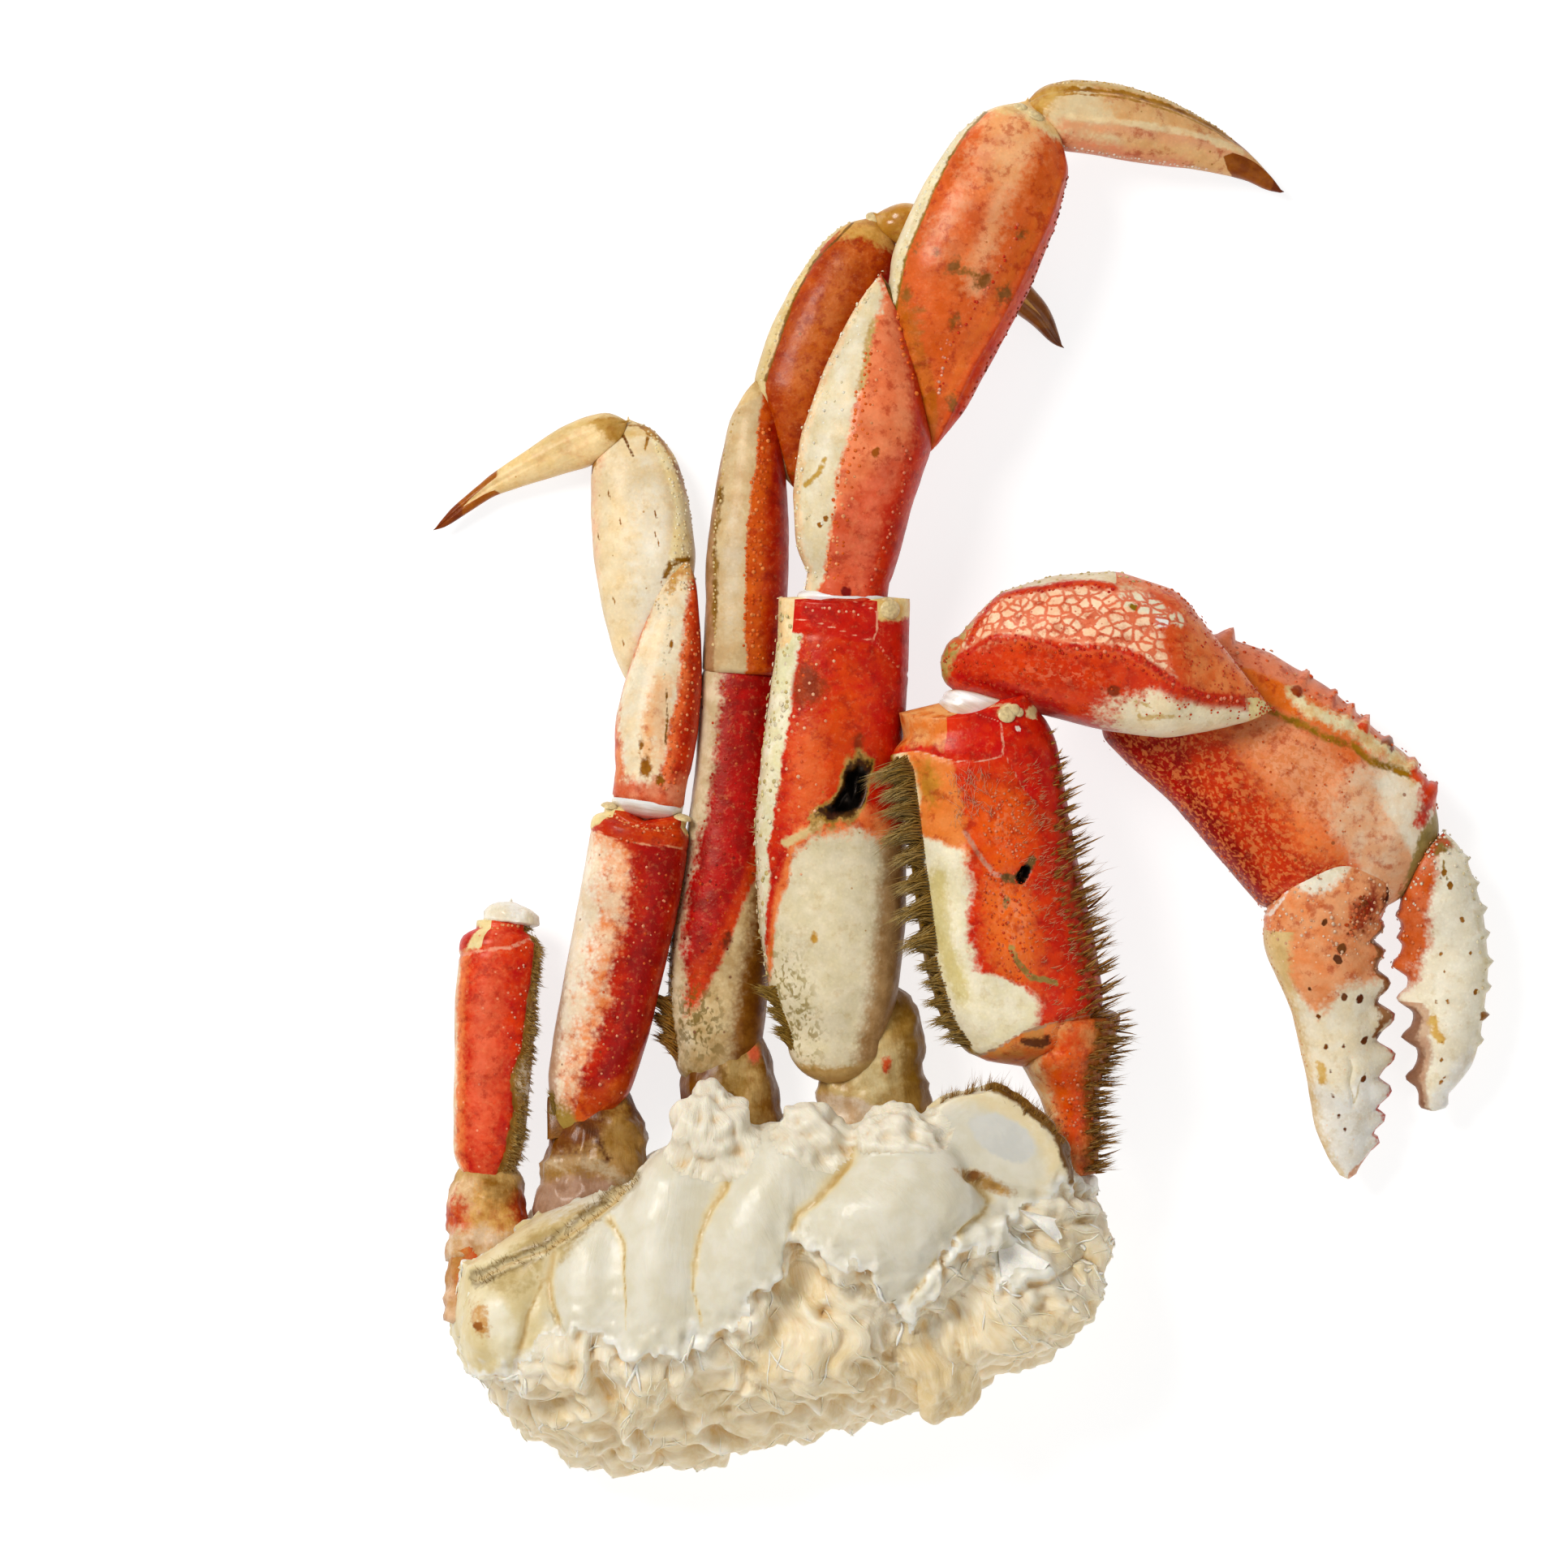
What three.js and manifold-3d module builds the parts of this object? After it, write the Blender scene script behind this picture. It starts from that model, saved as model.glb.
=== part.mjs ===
// Cooked dungeness crab cluster: one half of the crab without its back shell, so the shoulder with its
// white chambers and flaked meat, one claw arm and four walking legs, the last of them broken off.
// It lies on its underside. +X runs from the broken leg to the claw, +Y from the shoulder to the leg
// tips and +Z up. Millimetres. The origin is under the middle of the whole, on the surface it lies on.
import * as THREE from "three";
import { mergeVertices } from "three/addons/utils/BufferGeometryUtils.js";
import Module from "manifold-3d";

// ---- driving dimensions ----
const GAP = 0.5; // clearance that keeps touching pieces apart
const SMOOTHING = 0.14; // how far a simplified face may stray
const LONG_STEPS = [12, 8]; // steps round and along a limb
const SHORT_STEPS = [8, 5]; // steps round and along a short piece
const SHORT = 26; // length under which a piece counts as short
const SQUARENESS = 2.3; // superellipse power of a section: 2 is an ellipse
const SHOULDER_HEIGHT = 34; // top of the meat under the white chambers
const OUTLINE_STEPS = 28; // points round the shoulder

const wasm = await Module();
wasm.setup();

// ---- limbs: a sphere drawn out along an axis ----
// from, to   ends of the axis
// left, right  half widths at equal steps along it, seen from above, walking from "from" to "to"
// flat       thickness as a share of the width
// blunt      length of the rounded end at "from" and at "to"
// arch       rise of the middle of the axis over its ends

// Smooth value of an evenly spaced profile at a share t of its length.
function along(profile, t) {
  const points = profile.map((value, i) => new THREE.Vector2(i, value));
  const place = t * (profile.length - 1);
  const i = Math.min(Math.floor(place), profile.length - 2);
  const before = points[Math.max(i - 1, 0)].y;
  const after = points[Math.min(i + 2, profile.length - 1)].y;
  const f = place - i;
  const [a, b] = [points[i].y, points[i + 1].y];
  const slopeA = (b - before) / 2;
  const slopeB = (after - a) / 2;
  const f2 = f * f;
  const f3 = f2 * f;
  return (2 * f3 - 3 * f2 + 1) * a + (f3 - 2 * f2 + f) * slopeA + (3 * f2 - 2 * f3) * b + (f3 - f2) * slopeB;
}

// Share of the full section that is left at a distance from a rounded end.
function roundedEnd(distance, bluntness) {
  if (distance >= bluntness) return 1;
  return Math.sqrt(Math.max(0, 1 - (1 - distance / bluntness) ** 2));
}

const power = (value) => Math.sign(value) * Math.abs(value) ** (2 / SQUARENESS);

function limbGeometry({ from, to, left, right, flat = 0.7, blunt = [3, 3], arch = 0 }, grow = 0) {
  const start = new THREE.Vector3(...from);
  const span = new THREE.Vector3(...to).sub(start);
  const length = span.length();
  const forward = span.clone().normalize();
  start.addScaledVector(forward, -grow);
  const grown = length + 2 * grow;
  const sideways = new THREE.Vector3(-forward.y, forward.x, 0).normalize();
  const upward = new THREE.Vector3().crossVectors(forward, sideways);
  const sphere = new THREE.SphereGeometry(1, ...(length < SHORT ? SHORT_STEPS : LONG_STEPS));
  const spots = sphere.attributes.position;
  const spot = new THREE.Vector3();
  for (let i = 0; i < spots.count; i++) {
    spot.fromBufferAttribute(spots, i);
    const t = (1 - spot.y) / 2;
    const angle = Math.atan2(spot.z, spot.x);
    const atLeft = along(left, t);
    const atRight = along(right, t);
    const half = Math.max((atLeft + atRight) / 2, 0.3);
    const cap = roundedEnd(t * grown, blunt[0]) * roundedEnd((1 - t) * grown, blunt[1]);
    const wide = (half + grow) * cap * power(Math.cos(angle));
    const thick = (half * flat + grow) * cap * power(Math.sin(angle));
    spot.copy(start).addScaledVector(forward, t * grown);
    spot.addScaledVector(sideways, (atLeft - atRight) / 2 + wide);
    spot.addScaledVector(upward, thick + arch * 4 * t * (1 - t));
    spots.setXYZ(i, spot.x, spot.y, spot.z);
  }
  return sphere;
}

// ---- solids ----
function solidOf(geometry) {
  const bare = geometry.clone();
  bare.deleteAttribute("normal");
  bare.deleteAttribute("uv");
  const merged = mergeVertices(bare, 1e-4);
  const corners = Array.from(merged.index.array);
  const kept = [];
  for (let i = 0; i < corners.length; i += 3) {
    const [a, b, c] = corners.slice(i, i + 3);
    if (a !== b && b !== c && c !== a) kept.push(a, b, c);
  }
  const made = (triVerts) =>
    new wasm.Manifold(
      new wasm.Mesh({ numProp: 3, vertProperties: merged.attributes.position.array, triVerts }),
    );
  const solid = made(new Uint32Array(kept));
  return solid.volume() > 0 ? solid : made(new Uint32Array(kept.reverse()));
}

function geometryOf(solid) {
  const mesh = solid.getMesh();
  const corners = new Float32Array(mesh.numVert * 3);
  for (let i = 0; i < mesh.numVert; i++) {
    corners.set(mesh.vertProperties.subarray(i * mesh.numProp, i * mesh.numProp + 3), i * 3);
  }
  const geometry = new THREE.BufferGeometry();
  geometry.setAttribute("position", new THREE.BufferAttribute(corners, 3));
  geometry.setIndex(new THREE.BufferAttribute(mesh.triVerts, 1));
  geometry.computeVertexNormals();
  return geometry;
}

// A cut can leave crumbs: the piece is its largest body.
function largestBody(solid) {
  return solid.decompose().reduce((best, body) => (body.volume() > best.volume() ? body : best));
}

// ---- teeth along the biting edge of a finger ----
// Each tooth is a blunt cone at a share of the finger's length, pointing to its left or right side.
function teethOf(finger, { side, at, size }) {
  const start = new THREE.Vector3(...finger.from);
  const span = new THREE.Vector3(...finger.to).sub(start);
  const sideways = new THREE.Vector3(-span.y, span.x, 0).normalize().multiplyScalar(side);
  const profile = side > 0 ? finger.left : finger.right;
  return at.map((t, i) => {
    const cone = new THREE.CylinderGeometry(size[i] * 0.35, size[i] * 1.2, size[i] * 1.9, 5, 1);
    const middle = start.clone().addScaledVector(span, t);
    middle.addScaledVector(sideways, along(profile, t));
    cone.applyQuaternion(new THREE.Quaternion().setFromUnitVectors(new THREE.Vector3(0, 1, 0), sideways));
    cone.translate(middle.x, middle.y, middle.z);
    return solidOf(cone);
  });
}

// ---- finishes ----
const finish = (color, roughness = 0.5) => new THREE.MeshStandardMaterial({ color, roughness, metalness: 0 });
const redShell = finish(0xd2451e, 0.4);
const orangeShell = finish(0xe07a45, 0.45);
const creamShell = finish(0xe6d6b4, 0.45);
const brownShell = finish(0x8a6a3c, 0.6);
const whiteShell = finish(0xede8dc, 0.4);
const membrane = finish(0xe4e0da, 0.5);
const meat = finish(0xefe6d0, 0.6);

// ---- pieces, the ones in front first: each is cut back from those before it ----
const chambers = [
  {
    name: "chamber_5",
    material: whiteShell,
    from: [-10.9, -58.1, 31],
    to: [-12.9, -91.3, 35],
    left: [6, 10.5, 16, 11, 6, 2],
    right: [7, 10, 14, 17.5, 14.5, 3],
    flat: 0.62,
    blunt: [5, 5],
    arch: 2.5,
  },
  {
    name: "chamber_4",
    material: whiteShell,
    from: [-28, -59.5, 30],
    to: [-42.3, -99.1, 34],
    left: [8, 9.5, 8.5, 6.5, 5.5, 5],
    right: [7, 8, 9.5, 10, 8, 5.5],
    flat: 0.8,
    blunt: [5, 5],
    arch: 2.5,
  },
  {
    name: "chamber_3",
    material: whiteShell,
    from: [-47.3, -64.1, 28],
    to: [-55.3, -104.3, 32],
    left: [8, 7.5, 7, 7.5, 8, 7.5],
    right: [7, 9, 9, 8, 7, 6.5],
    flat: 0.85,
    blunt: [5, 5],
    arch: 2.5,
  },
  {
    name: "chamber_2",
    material: whiteShell,
    from: [-64.4, -74.2, 26],
    to: [-66.9, -104.3, 29],
    left: [7, 8.5, 9, 9, 8],
    right: [5, 6, 6.5, 6.5, 7],
    flat: 0.85,
    blunt: [5, 5],
    arch: 2,
  },
  {
    name: "chamber_1",
    material: creamShell,
    from: [-77, -82.9, 26.5],
    to: [-81, -104.4, 26.5],
    left: [6, 8.5, 9, 8.5, 7],
    right: [5.5, 6.5, 7, 6.5, 4],
    flat: 0.8,
    blunt: [4, 4],
    arch: 2,
  },
  {
    name: "chamber_6_edge",
    material: whiteShell,
    from: [6.7, -74, 34],
    to: [-10.9, -91.3, 36],
    left: [3.5, 2.5, 2.5, 2.5],
    right: [3, 4.5, 4, 2],
    flat: 0.8,
    blunt: [3, 3],
    arch: 1.5,
  },
];

const shoulderMeat = [
  {
    name: "claw_socket_pad",
    material: whiteShell,
    from: [-6.7, -57.7, 30],
    to: [16.5, -68.9, 30],
    left: [2.5, 8, 8.5, 6.5, 3],
    right: [2.5, 4, 4.5, 4, 2],
    flat: 0.85,
    blunt: [4, 4],
  },
  {
    name: "leg_stump_1",
    material: meat,
    from: [-43.7, -67.2, 34],
    to: [-42.7, -52.9, 31],
    left: [5.5, 6.5, 7, 5],
    right: [6.5, 6.5, 5, 3],
    flat: 0.8,
    blunt: [3, 4],
  },
  {
    name: "leg_stump_2",
    material: meat,
    from: [-26.6, -66.1, 36],
    to: [-26.2, -57.1, 32],
    left: [4.5, 6, 5.5],
    right: [4, 5.5, 4.5],
    flat: 0.75,
    blunt: [3, 3],
  },
  {
    name: "leg_stump_3",
    material: meat,
    from: [-11.2, -66.1, 37],
    to: [-11.5, -56.3, 32],
    left: [5.5, 7.5, 5.5],
    right: [7, 6.5, 4],
    flat: 0.6,
    blunt: [3, 3],
  },
  {
    name: "meat_under_chamber_5",
    material: meat,
    from: [-25.2, -79.8, 31],
    to: [-28.7, -104.3, 31],
    left: [6, 11.5, 14, 13, 10],
    right: [6.5, 8, 9.5, 11, 8.5],
    flat: 0.62,
    blunt: [4, 4],
  },
  {
    name: "meat_right",
    material: meat,
    from: [22.7, -80.8, 24],
    to: [-5.6, -96.2, 30],
    left: [5.5, 9.5, 9.5, 8.5, 4.5],
    right: [6, 9, 9, 7, 4],
    flat: 0.9,
    blunt: [4, 4],
  },
  {
    name: "meat_chunk",
    material: meat,
    from: [-9.6, -88.5, 29],
    to: [-3.1, -109.5, 23],
    left: [4.5, 4.5, 6.5, 7, 3.5],
    right: [3.5, 4.5, 5.5, 5.5, 4],
    flat: 0.8,
    blunt: [3, 4],
  },
];

const clawArm = [
  {
    name: "claw_carpus",
    material: redShell,
    from: [-4.5, 17.1, 25],
    to: [52.4, 11.8, 23],
    left: [6, 14.5, 18.5, 20.5, 21.5, 20, 17, 7.5, 1.2],
    right: [2.5, 3, 4, 4.5, 6, 7, 5.5, 3.5, 1],
    flat: 0.78,
    blunt: [4, 2],
  },
  {
    name: "claw_knee_membrane",
    material: membrane,
    from: [2.5, 8.5, 25],
    to: [1.0, 17.5, 25],
    left: [6.0, 7.0, 5.5],
    right: [6.5, 7.5, 7.0],
    flat: 0.7,
    blunt: [2, 2],
  },
  {
    name: "claw_fixed_finger",
    material: creamShell,
    from: [63.7, -10.5, 11],
    to: [66.8, -69, 7],
    left: [10.5, 10.5, 6.5, 5, 5.5, 5.5, 4.5, 3.5, 1.5],
    right: [9.5, 11, 13.3, 10.5, 7.8, 6.2, 5.6, 4.5, 1.5],
    flat: 0.72,
    blunt: [4, 3],
    teeth: { side: 1, at: [0.36, 0.45, 0.55, 0.665, 0.765, 0.84, 0.91], size: [2.2, 2.4, 2.6, 2.8, 2.6, 2, 1.8] },
  },
  {
    name: "claw_palm",
    material: orangeShell,
    from: [25.9, 17.1, 12],
    to: [79.2, -18.8, 9],
    left: [9, 15, 18.5, 19.5, 20, 19.8, 18.5, 17, 15.5, 9],
    right: [10.5, 10.5, 11.2, 12.3, 14.3, 16.5, 18.5, 19, 14, 4.5],
    flat: 0.52,
    blunt: [5, 4],
  },
  {
    name: "claw_moving_finger",
    material: creamShell,
    from: [78.7, -8.1, 10.5],
    to: [79.8, -57.2, 7],
    left: [5.5, 8.3, 10.3, 11.3, 11.8, 11.3, 9.8, 8.2, 2.5],
    right: [2.5, 3.5, 4, 3, 2, 1, 0.5, 0.3, 1],
    flat: 0.8,
    blunt: [3, 2],
    teeth: { side: -1, at: [0.48, 0.6, 0.735, 0.88], size: [2.4, 2.4, 2.4, 2.2] },
  },
  {
    name: "claw_merus",
    material: redShell,
    from: [10.9, -49.6, 23.5],
    to: [3.4, 14.9, 24.5],
    left: [10.5, 14, 15.8, 16.2, 16.2, 16.3, 16.3, 12.5],
    right: [11, 14, 13.8, 13, 12, 11.5, 11, 8],
    flat: 0.7,
    blunt: [5, 3],
  },
  {
    name: "claw_ischium",
    material: orangeShell,
    from: [18.5, -67.2, 20],
    to: [15.4, -42.3, 23],
    left: [2.5, 2.5, 3.0, 4.5, 6.5, 9.0],
    right: [3.5, 4.5, 5.5, 6.5, 7.5, 8.5],
    flat: 1.1,
    blunt: [2, 3],
  },
];

const firstLeg = [
  {
    name: "first_leg_carpus",
    material: redShell,
    from: [-20.2, 30.8, 19.5],
    to: [-14.5, 87, 18.5],
    left: [7.2, 9.8, 11.3, 11.3, 10.3, 7.8, 4.7, 1],
    right: [7.5, 7.5, 8.5, 11.5, 10.7, 7.7, 4.2, 0.7],
    flat: 0.74,
    blunt: [5, 2],
  },
  {
    name: "first_leg_knee_membrane",
    material: membrane,
    from: [-20.7, 28.0, 19.5],
    to: [-20.5, 34.0, 19.5],
    left: [8.0, 9.0, 8.0],
    right: [7.0, 8.0, 7.5],
    flat: 0.7,
    blunt: [2, 2],
  },
  {
    name: "first_leg_merus",
    material: redShell,
    from: [-22.4, -49.6, 19.5],
    to: [-20.7, 31.5, 19.5],
    left: [8, 11.5, 13.7, 15, 14.5, 13.5, 12, 11],
    right: [8, 10.3, 11.5, 11.5, 11, 10.5, 11, 11],
    flat: 0.6,
    blunt: [6, 2],
  },
  {
    name: "first_leg_propodus",
    material: orangeShell,
    from: [-7.3, 55.7, 18],
    to: [10.4, 117.3, 15],
    left: [3.5, 7.5, 11.5, 14.5, 14.0, 12.5, 9.5, 5.0],
    right: [1.0, 4.5, 6.5, 9.0, 10.0, 11.0, 10.5, 5.5],
    flat: 0.6,
    blunt: [4, 4],
  },
  {
    name: "first_leg_dactyl",
    material: creamShell,
    from: [9.5, 115.5, 14.5],
    to: [55.2, 102.4, 4],
    left: [4.5, 8.3, 9.6, 9.6, 8, 5.4, 0.8],
    right: [3.5, 4.5, 3, 2, 0.5, -0.5, 0.6],
    flat: 0.8,
    blunt: [3, 1],
  },
  {
    name: "first_leg_ischium",
    material: brownShell,
    from: [-16.5, -57.7, 19],
    to: [-16.5, -40.0, 18],
    left: [10.5, 9.5, 8.5, 7.5, 5.5],
    right: [9.5, 9.5, 10.0, 9.5, 8.5],
    flat: 0.62,
    blunt: [3, 5],
  },
];

const thirdLeg = [
  {
    name: "third_leg_carpus",
    material: creamShell,
    from: [-54.3, -4.9, 12.5],
    to: [-48.6, 38.4, 9],
    left: [6.2, 7.8, 8.3, 7.3, 5.8, 4.2, 1],
    right: [5, 6, 6, 5.5, 4.5, 3, 1.2],
    flat: 0.8,
    blunt: [4, 2],
  },
  {
    name: "third_leg_knee_membrane",
    material: membrane,
    from: [-55.3, -7.0, 12.5],
    to: [-54.4, -1.5, 12.5],
    left: [6.0, 7.0, 6.0],
    right: [6.0, 6.5, 6.0],
    flat: 0.75,
    blunt: [2, 2],
  },
  {
    name: "third_leg_merus",
    material: redShell,
    from: [-66.6, -61.3, 15],
    to: [-56.0, -3.5, 12.5],
    left: [5.5, 7.5, 7.5, 7.5, 7.5, 7.5, 8.0],
    right: [3.5, 7.5, 8.5, 9.0, 9.5, 9.5, 8.5],
    flat: 0.75,
    blunt: [4, 2],
  },
  {
    name: "third_leg_propodus",
    material: creamShell,
    from: [-55.3, 13.7, 7.5],
    to: [-58.5, 62.7, 4.6],
    left: [2.0, 5.0, 6.5, 7.5, 7.5, 7.0, 4.0],
    right: [2.5, 6.0, 8.5, 10.0, 9.5, 8.0, 4.0],
    flat: 0.64,
    blunt: [3, 4],
  },
  {
    name: "third_leg_dactyl",
    material: creamShell,
    from: [-57, 60.4, 5.5],
    to: [-92, 43.7, 3],
    left: [3.5, 3, 1, 0, -1, -0.5, 0.5],
    right: [5, 6.2, 6.3, 5.2, 4.2, 2.6, 0.5],
    flat: 0.8,
    blunt: [3, 1],
  },
  {
    name: "third_leg_coxa",
    material: brownShell,
    from: [-62.7, -75.0, 17],
    to: [-65.5, -57.5, 15.5],
    left: [8.5, 9.5, 9.0, 8.0, 6.5],
    right: [8.0, 9.5, 9.0, 8.5, 7.0],
    flat: 0.72,
    blunt: [3, 4],
  },
];

const secondLeg = [
  {
    name: "second_leg_carpus",
    material: redShell,
    from: [-38.6, 21.6, 8.5],
    to: [-35.7, 69.8, 7.5],
    left: [6, 6.7, 7.3, 6.8, 5.8, 4.8, 1],
    right: [6, 7, 7, 6.5, 5.5, 3.7, 1],
    flat: 0.85,
    blunt: [4, 2],
  },
  {
    name: "second_leg_merus",
    material: redShell,
    from: [-42.6, -51.8, 11],
    to: [-38.9, 22.4, 8.5],
    left: [8, 9.5, 9.5, 8, 7, 6.5, 6.5],
    right: [7.5, 7.5, 8, 8.7, 8.3, 7.5, 6.3],
    flat: 0.76,
    blunt: [5, 2],
  },
  {
    name: "second_leg_propodus",
    material: orangeShell,
    from: [-28.7, 50.4, 7],
    to: [-14.8, 97.7, 4.4],
    left: [4.0, 9.0, 13.0, 12.5, 11.0, 8.5, 5.0],
    right: [2.5, 3.5, 4.0, 4.5, 5.5, 6.0, 3.5],
    flat: 0.62,
    blunt: [4, 4],
  },
  {
    name: "second_leg_dactyl",
    material: creamShell,
    from: [-15.7, 97.9, 5.2],
    to: [16.9, 75.4, 3.6],
    left: [4.5, 6.7, 7.9, 7.4, 6.4, 4.9, 0.8],
    right: [3.5, 1.5, -0.5, -1, -0.5, -0.5, 0.6],
    flat: 0.85,
    blunt: [3, 1],
  },
  {
    name: "second_leg_ischium",
    material: brownShell,
    from: [-39.5, -62.5, 14],
    to: [-42.3, -46.0, 12],
    left: [8.5, 8.5, 8.0, 8.0, 6.5],
    right: [9.0, 8.5, 8.0, 8.0, 6.5],
    flat: 0.72,
    blunt: [3, 4],
  },
];

const brokenLeg = [
  {
    name: "broken_leg_merus",
    material: redShell,
    from: [-82.6, -72.5, 13],
    to: [-80.9, -24.8, 9],
    left: [3.5, 6.5, 6.5, 6.5, 7.0, 6.5, 6.5],
    right: [3.0, 6.0, 6.5, 7.0, 7.0, 7.5, 7.5],
    flat: 0.8,
    blunt: [4, 0.8],
  },
  {
    name: "broken_leg_stump",
    material: meat,
    from: [-79.0, -27.0, 9.3],
    to: [-78.5, -21.4, 9],
    left: [4.5, 4.8, 4.2],
    right: [5.0, 5.0, 3.6],
    flat: 0.85,
    blunt: [1, 1.5],
  },
  {
    name: "broken_leg_ischium",
    material: creamShell,
    from: [-81.8, -83.0, 15],
    to: [-83.3, -68.9, 13.5],
    left: [6.5, 6.5, 6.5, 7.0, 6.5],
    right: [7.0, 7.0, 6.0, 6.0, 5.0],
    flat: 0.82,
    blunt: [3, 3],
  },
  {
    name: "broken_leg_coxa",
    material: orangeShell,
    from: [-84.5, -92.5, 17],
    to: [-85.5, -82.5, 16],
    left: [2.5, 4.5, 4.5],
    right: [5.0, 5.5, 5.0],
    flat: 0.9,
    blunt: [3, 3],
  },
];

// ---- the shoulder's core: meat and breastplate under the chambers, flat below ----
// Outline seen from above, from the broken leg's corner round the leg side, the claw's end and the cut side.
const shoulderOutline = [
  [-88.0, -86.0],
  [-79.5, -80.0],
  [-69.0, -73.5],
  [-54.0, -66.0],
  [-36.0, -60.0],
  [-15.0, -58.0],
  [2.0, -59.0],
  [16.0, -64.0],
  [22.5, -73.0],
  [24.5, -84.0],
  [20.5, -94.5],
  [5.0, -103.5],
  [-14.0, -110.0],
  [-38.0, -116.5],
  [-62.0, -120.0],
  [-74.0, -114.0],
  [-84.0, -104.5],
  [-88.5, -95.0],
];
// Height as a share of the shoulder's, and the outline's size there about a point on the leg side.
const shoulderLevels = [
  [0, 0.86, 0.93],
  [0.08, 0.97, 0.99],
  [0.25, 1, 1],
  [0.55, 0.99, 0.93],
  [0.75, 0.96, 0.84],
  [0.9, 0.88, 0.72],
  [1, 0.62, 0.45],
];
const SHOULDER_PIVOT = [-32, -74];

function shoulderCoreGeometry() {
  const outline = new THREE.CatmullRomCurve3(
    shoulderOutline.map(([x, y]) => new THREE.Vector3(x, y, 0)),
    true,
  ).getSpacedPoints(OUTLINE_STEPS);
  outline.pop();
  const corners = [];
  const faces = [];
  const steps = outline.length;
  for (const [height, wide, deep] of shoulderLevels) {
    for (const { x, y } of outline) {
      corners.push(
        SHOULDER_PIVOT[0] + (x - SHOULDER_PIVOT[0]) * wide,
        SHOULDER_PIVOT[1] + (y - SHOULDER_PIVOT[1]) * deep,
        height * SHOULDER_HEIGHT,
      );
    }
  }
  for (let level = 0; level + 1 < shoulderLevels.length; level++) {
    for (let i = 0; i < steps; i++) {
      const a = level * steps + i;
      const b = level * steps + ((i + 1) % steps);
      faces.push(a, b, b + steps, a, b + steps, a + steps);
    }
  }
  const flat = outline.map(({ x, y }) => new THREE.Vector2(x, y));
  const top = (shoulderLevels.length - 1) * steps;
  for (const [a, b, c] of THREE.ShapeUtils.triangulateShape(flat, [])) {
    faces.push(a, b, c, top + c, top + b, top + a);
  }
  const geometry = new THREE.BufferGeometry();
  geometry.setAttribute("position", new THREE.Float32BufferAttribute(corners, 3));
  geometry.setIndex(faces);
  return geometry;
}

// ---- assembly ----
const crab = new THREE.Group();
const placed = [];

const boxesMeet = (a, b) => [0, 1, 2].every((k) => a.min[k] <= b.max[k] && b.min[k] <= a.max[k]);

// Cuts the solid back from every piece placed so far and adds it to the crab.
function place(name, material, solid) {
  let rest = solid;
  for (const { room, box } of placed) {
    if (boxesMeet(rest.boundingBox(), box)) rest = rest.subtract(room);
  }
  const mesh = new THREE.Mesh(geometryOf(largestBody(rest).simplify(SMOOTHING)), material);
  mesh.name = name;
  crab.add(mesh);
}

function placeLimb(spec) {
  const teeth = spec.teeth ? teethOf(spec, spec.teeth) : [];
  const joined = teeth.reduce((sum, tooth) => sum.add(tooth), solidOf(limbGeometry(spec)));
  place(spec.name, spec.material, joined);
  const room = solidOf(limbGeometry(spec, GAP));
  placed.push({ room, box: room.boundingBox() });
}

[chambers, shoulderMeat, clawArm, firstLeg, thirdLeg, secondLeg, brokenLeg].flat().forEach(placeLimb);
place("shoulder_core", meat, solidOf(shoulderCoreGeometry()));

const whole = new THREE.Box3().setFromObject(crab);
const middle = whole.getCenter(new THREE.Vector3());
crab.position.set(-middle.x, -middle.y, -whole.min.z);

export default crab;
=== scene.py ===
"""Looks of a cooked dungeness crab cluster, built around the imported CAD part.

Every working size is in millimetres and is turned into metres when a mesh is made.
"""

import math

import bpy
import numpy as np
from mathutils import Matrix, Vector
from mathutils.bvhtree import BVHTree
from mathutils.kdtree import KDTree


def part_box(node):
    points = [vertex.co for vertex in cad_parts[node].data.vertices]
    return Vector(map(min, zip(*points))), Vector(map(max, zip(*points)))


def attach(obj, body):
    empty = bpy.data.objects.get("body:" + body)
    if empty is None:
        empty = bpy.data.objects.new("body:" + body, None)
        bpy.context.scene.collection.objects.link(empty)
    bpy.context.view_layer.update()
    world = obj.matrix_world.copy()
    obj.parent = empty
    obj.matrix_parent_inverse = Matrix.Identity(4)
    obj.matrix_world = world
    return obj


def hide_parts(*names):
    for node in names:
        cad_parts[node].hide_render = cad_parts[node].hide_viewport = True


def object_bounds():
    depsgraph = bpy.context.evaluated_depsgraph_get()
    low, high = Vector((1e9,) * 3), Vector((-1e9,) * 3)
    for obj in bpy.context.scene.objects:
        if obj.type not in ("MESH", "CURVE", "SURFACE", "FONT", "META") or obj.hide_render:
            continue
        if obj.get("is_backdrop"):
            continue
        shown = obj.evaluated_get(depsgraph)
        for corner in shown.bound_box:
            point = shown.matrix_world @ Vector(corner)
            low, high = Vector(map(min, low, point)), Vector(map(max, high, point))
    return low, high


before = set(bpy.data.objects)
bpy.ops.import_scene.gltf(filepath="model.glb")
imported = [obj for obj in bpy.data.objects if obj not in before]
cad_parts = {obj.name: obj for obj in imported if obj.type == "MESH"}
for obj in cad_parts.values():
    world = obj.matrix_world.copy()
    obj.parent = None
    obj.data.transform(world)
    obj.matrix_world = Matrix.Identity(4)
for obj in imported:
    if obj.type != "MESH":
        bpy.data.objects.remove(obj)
CAD_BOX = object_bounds()

MM = 0.001
rng = np.random.default_rng(11)


# ---------------------------------------------------------------- numbers
def smooth_step(low, high, value):
    t = np.clip((value - low) / (high - low), 0, 1)
    return t * t * (3 - 2 * t)


def bell(value, middle, width):
    return np.exp(-(((value - middle) / width) ** 2))


NOISE_TABLE = np.random.default_rng(5).random(8192)


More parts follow.
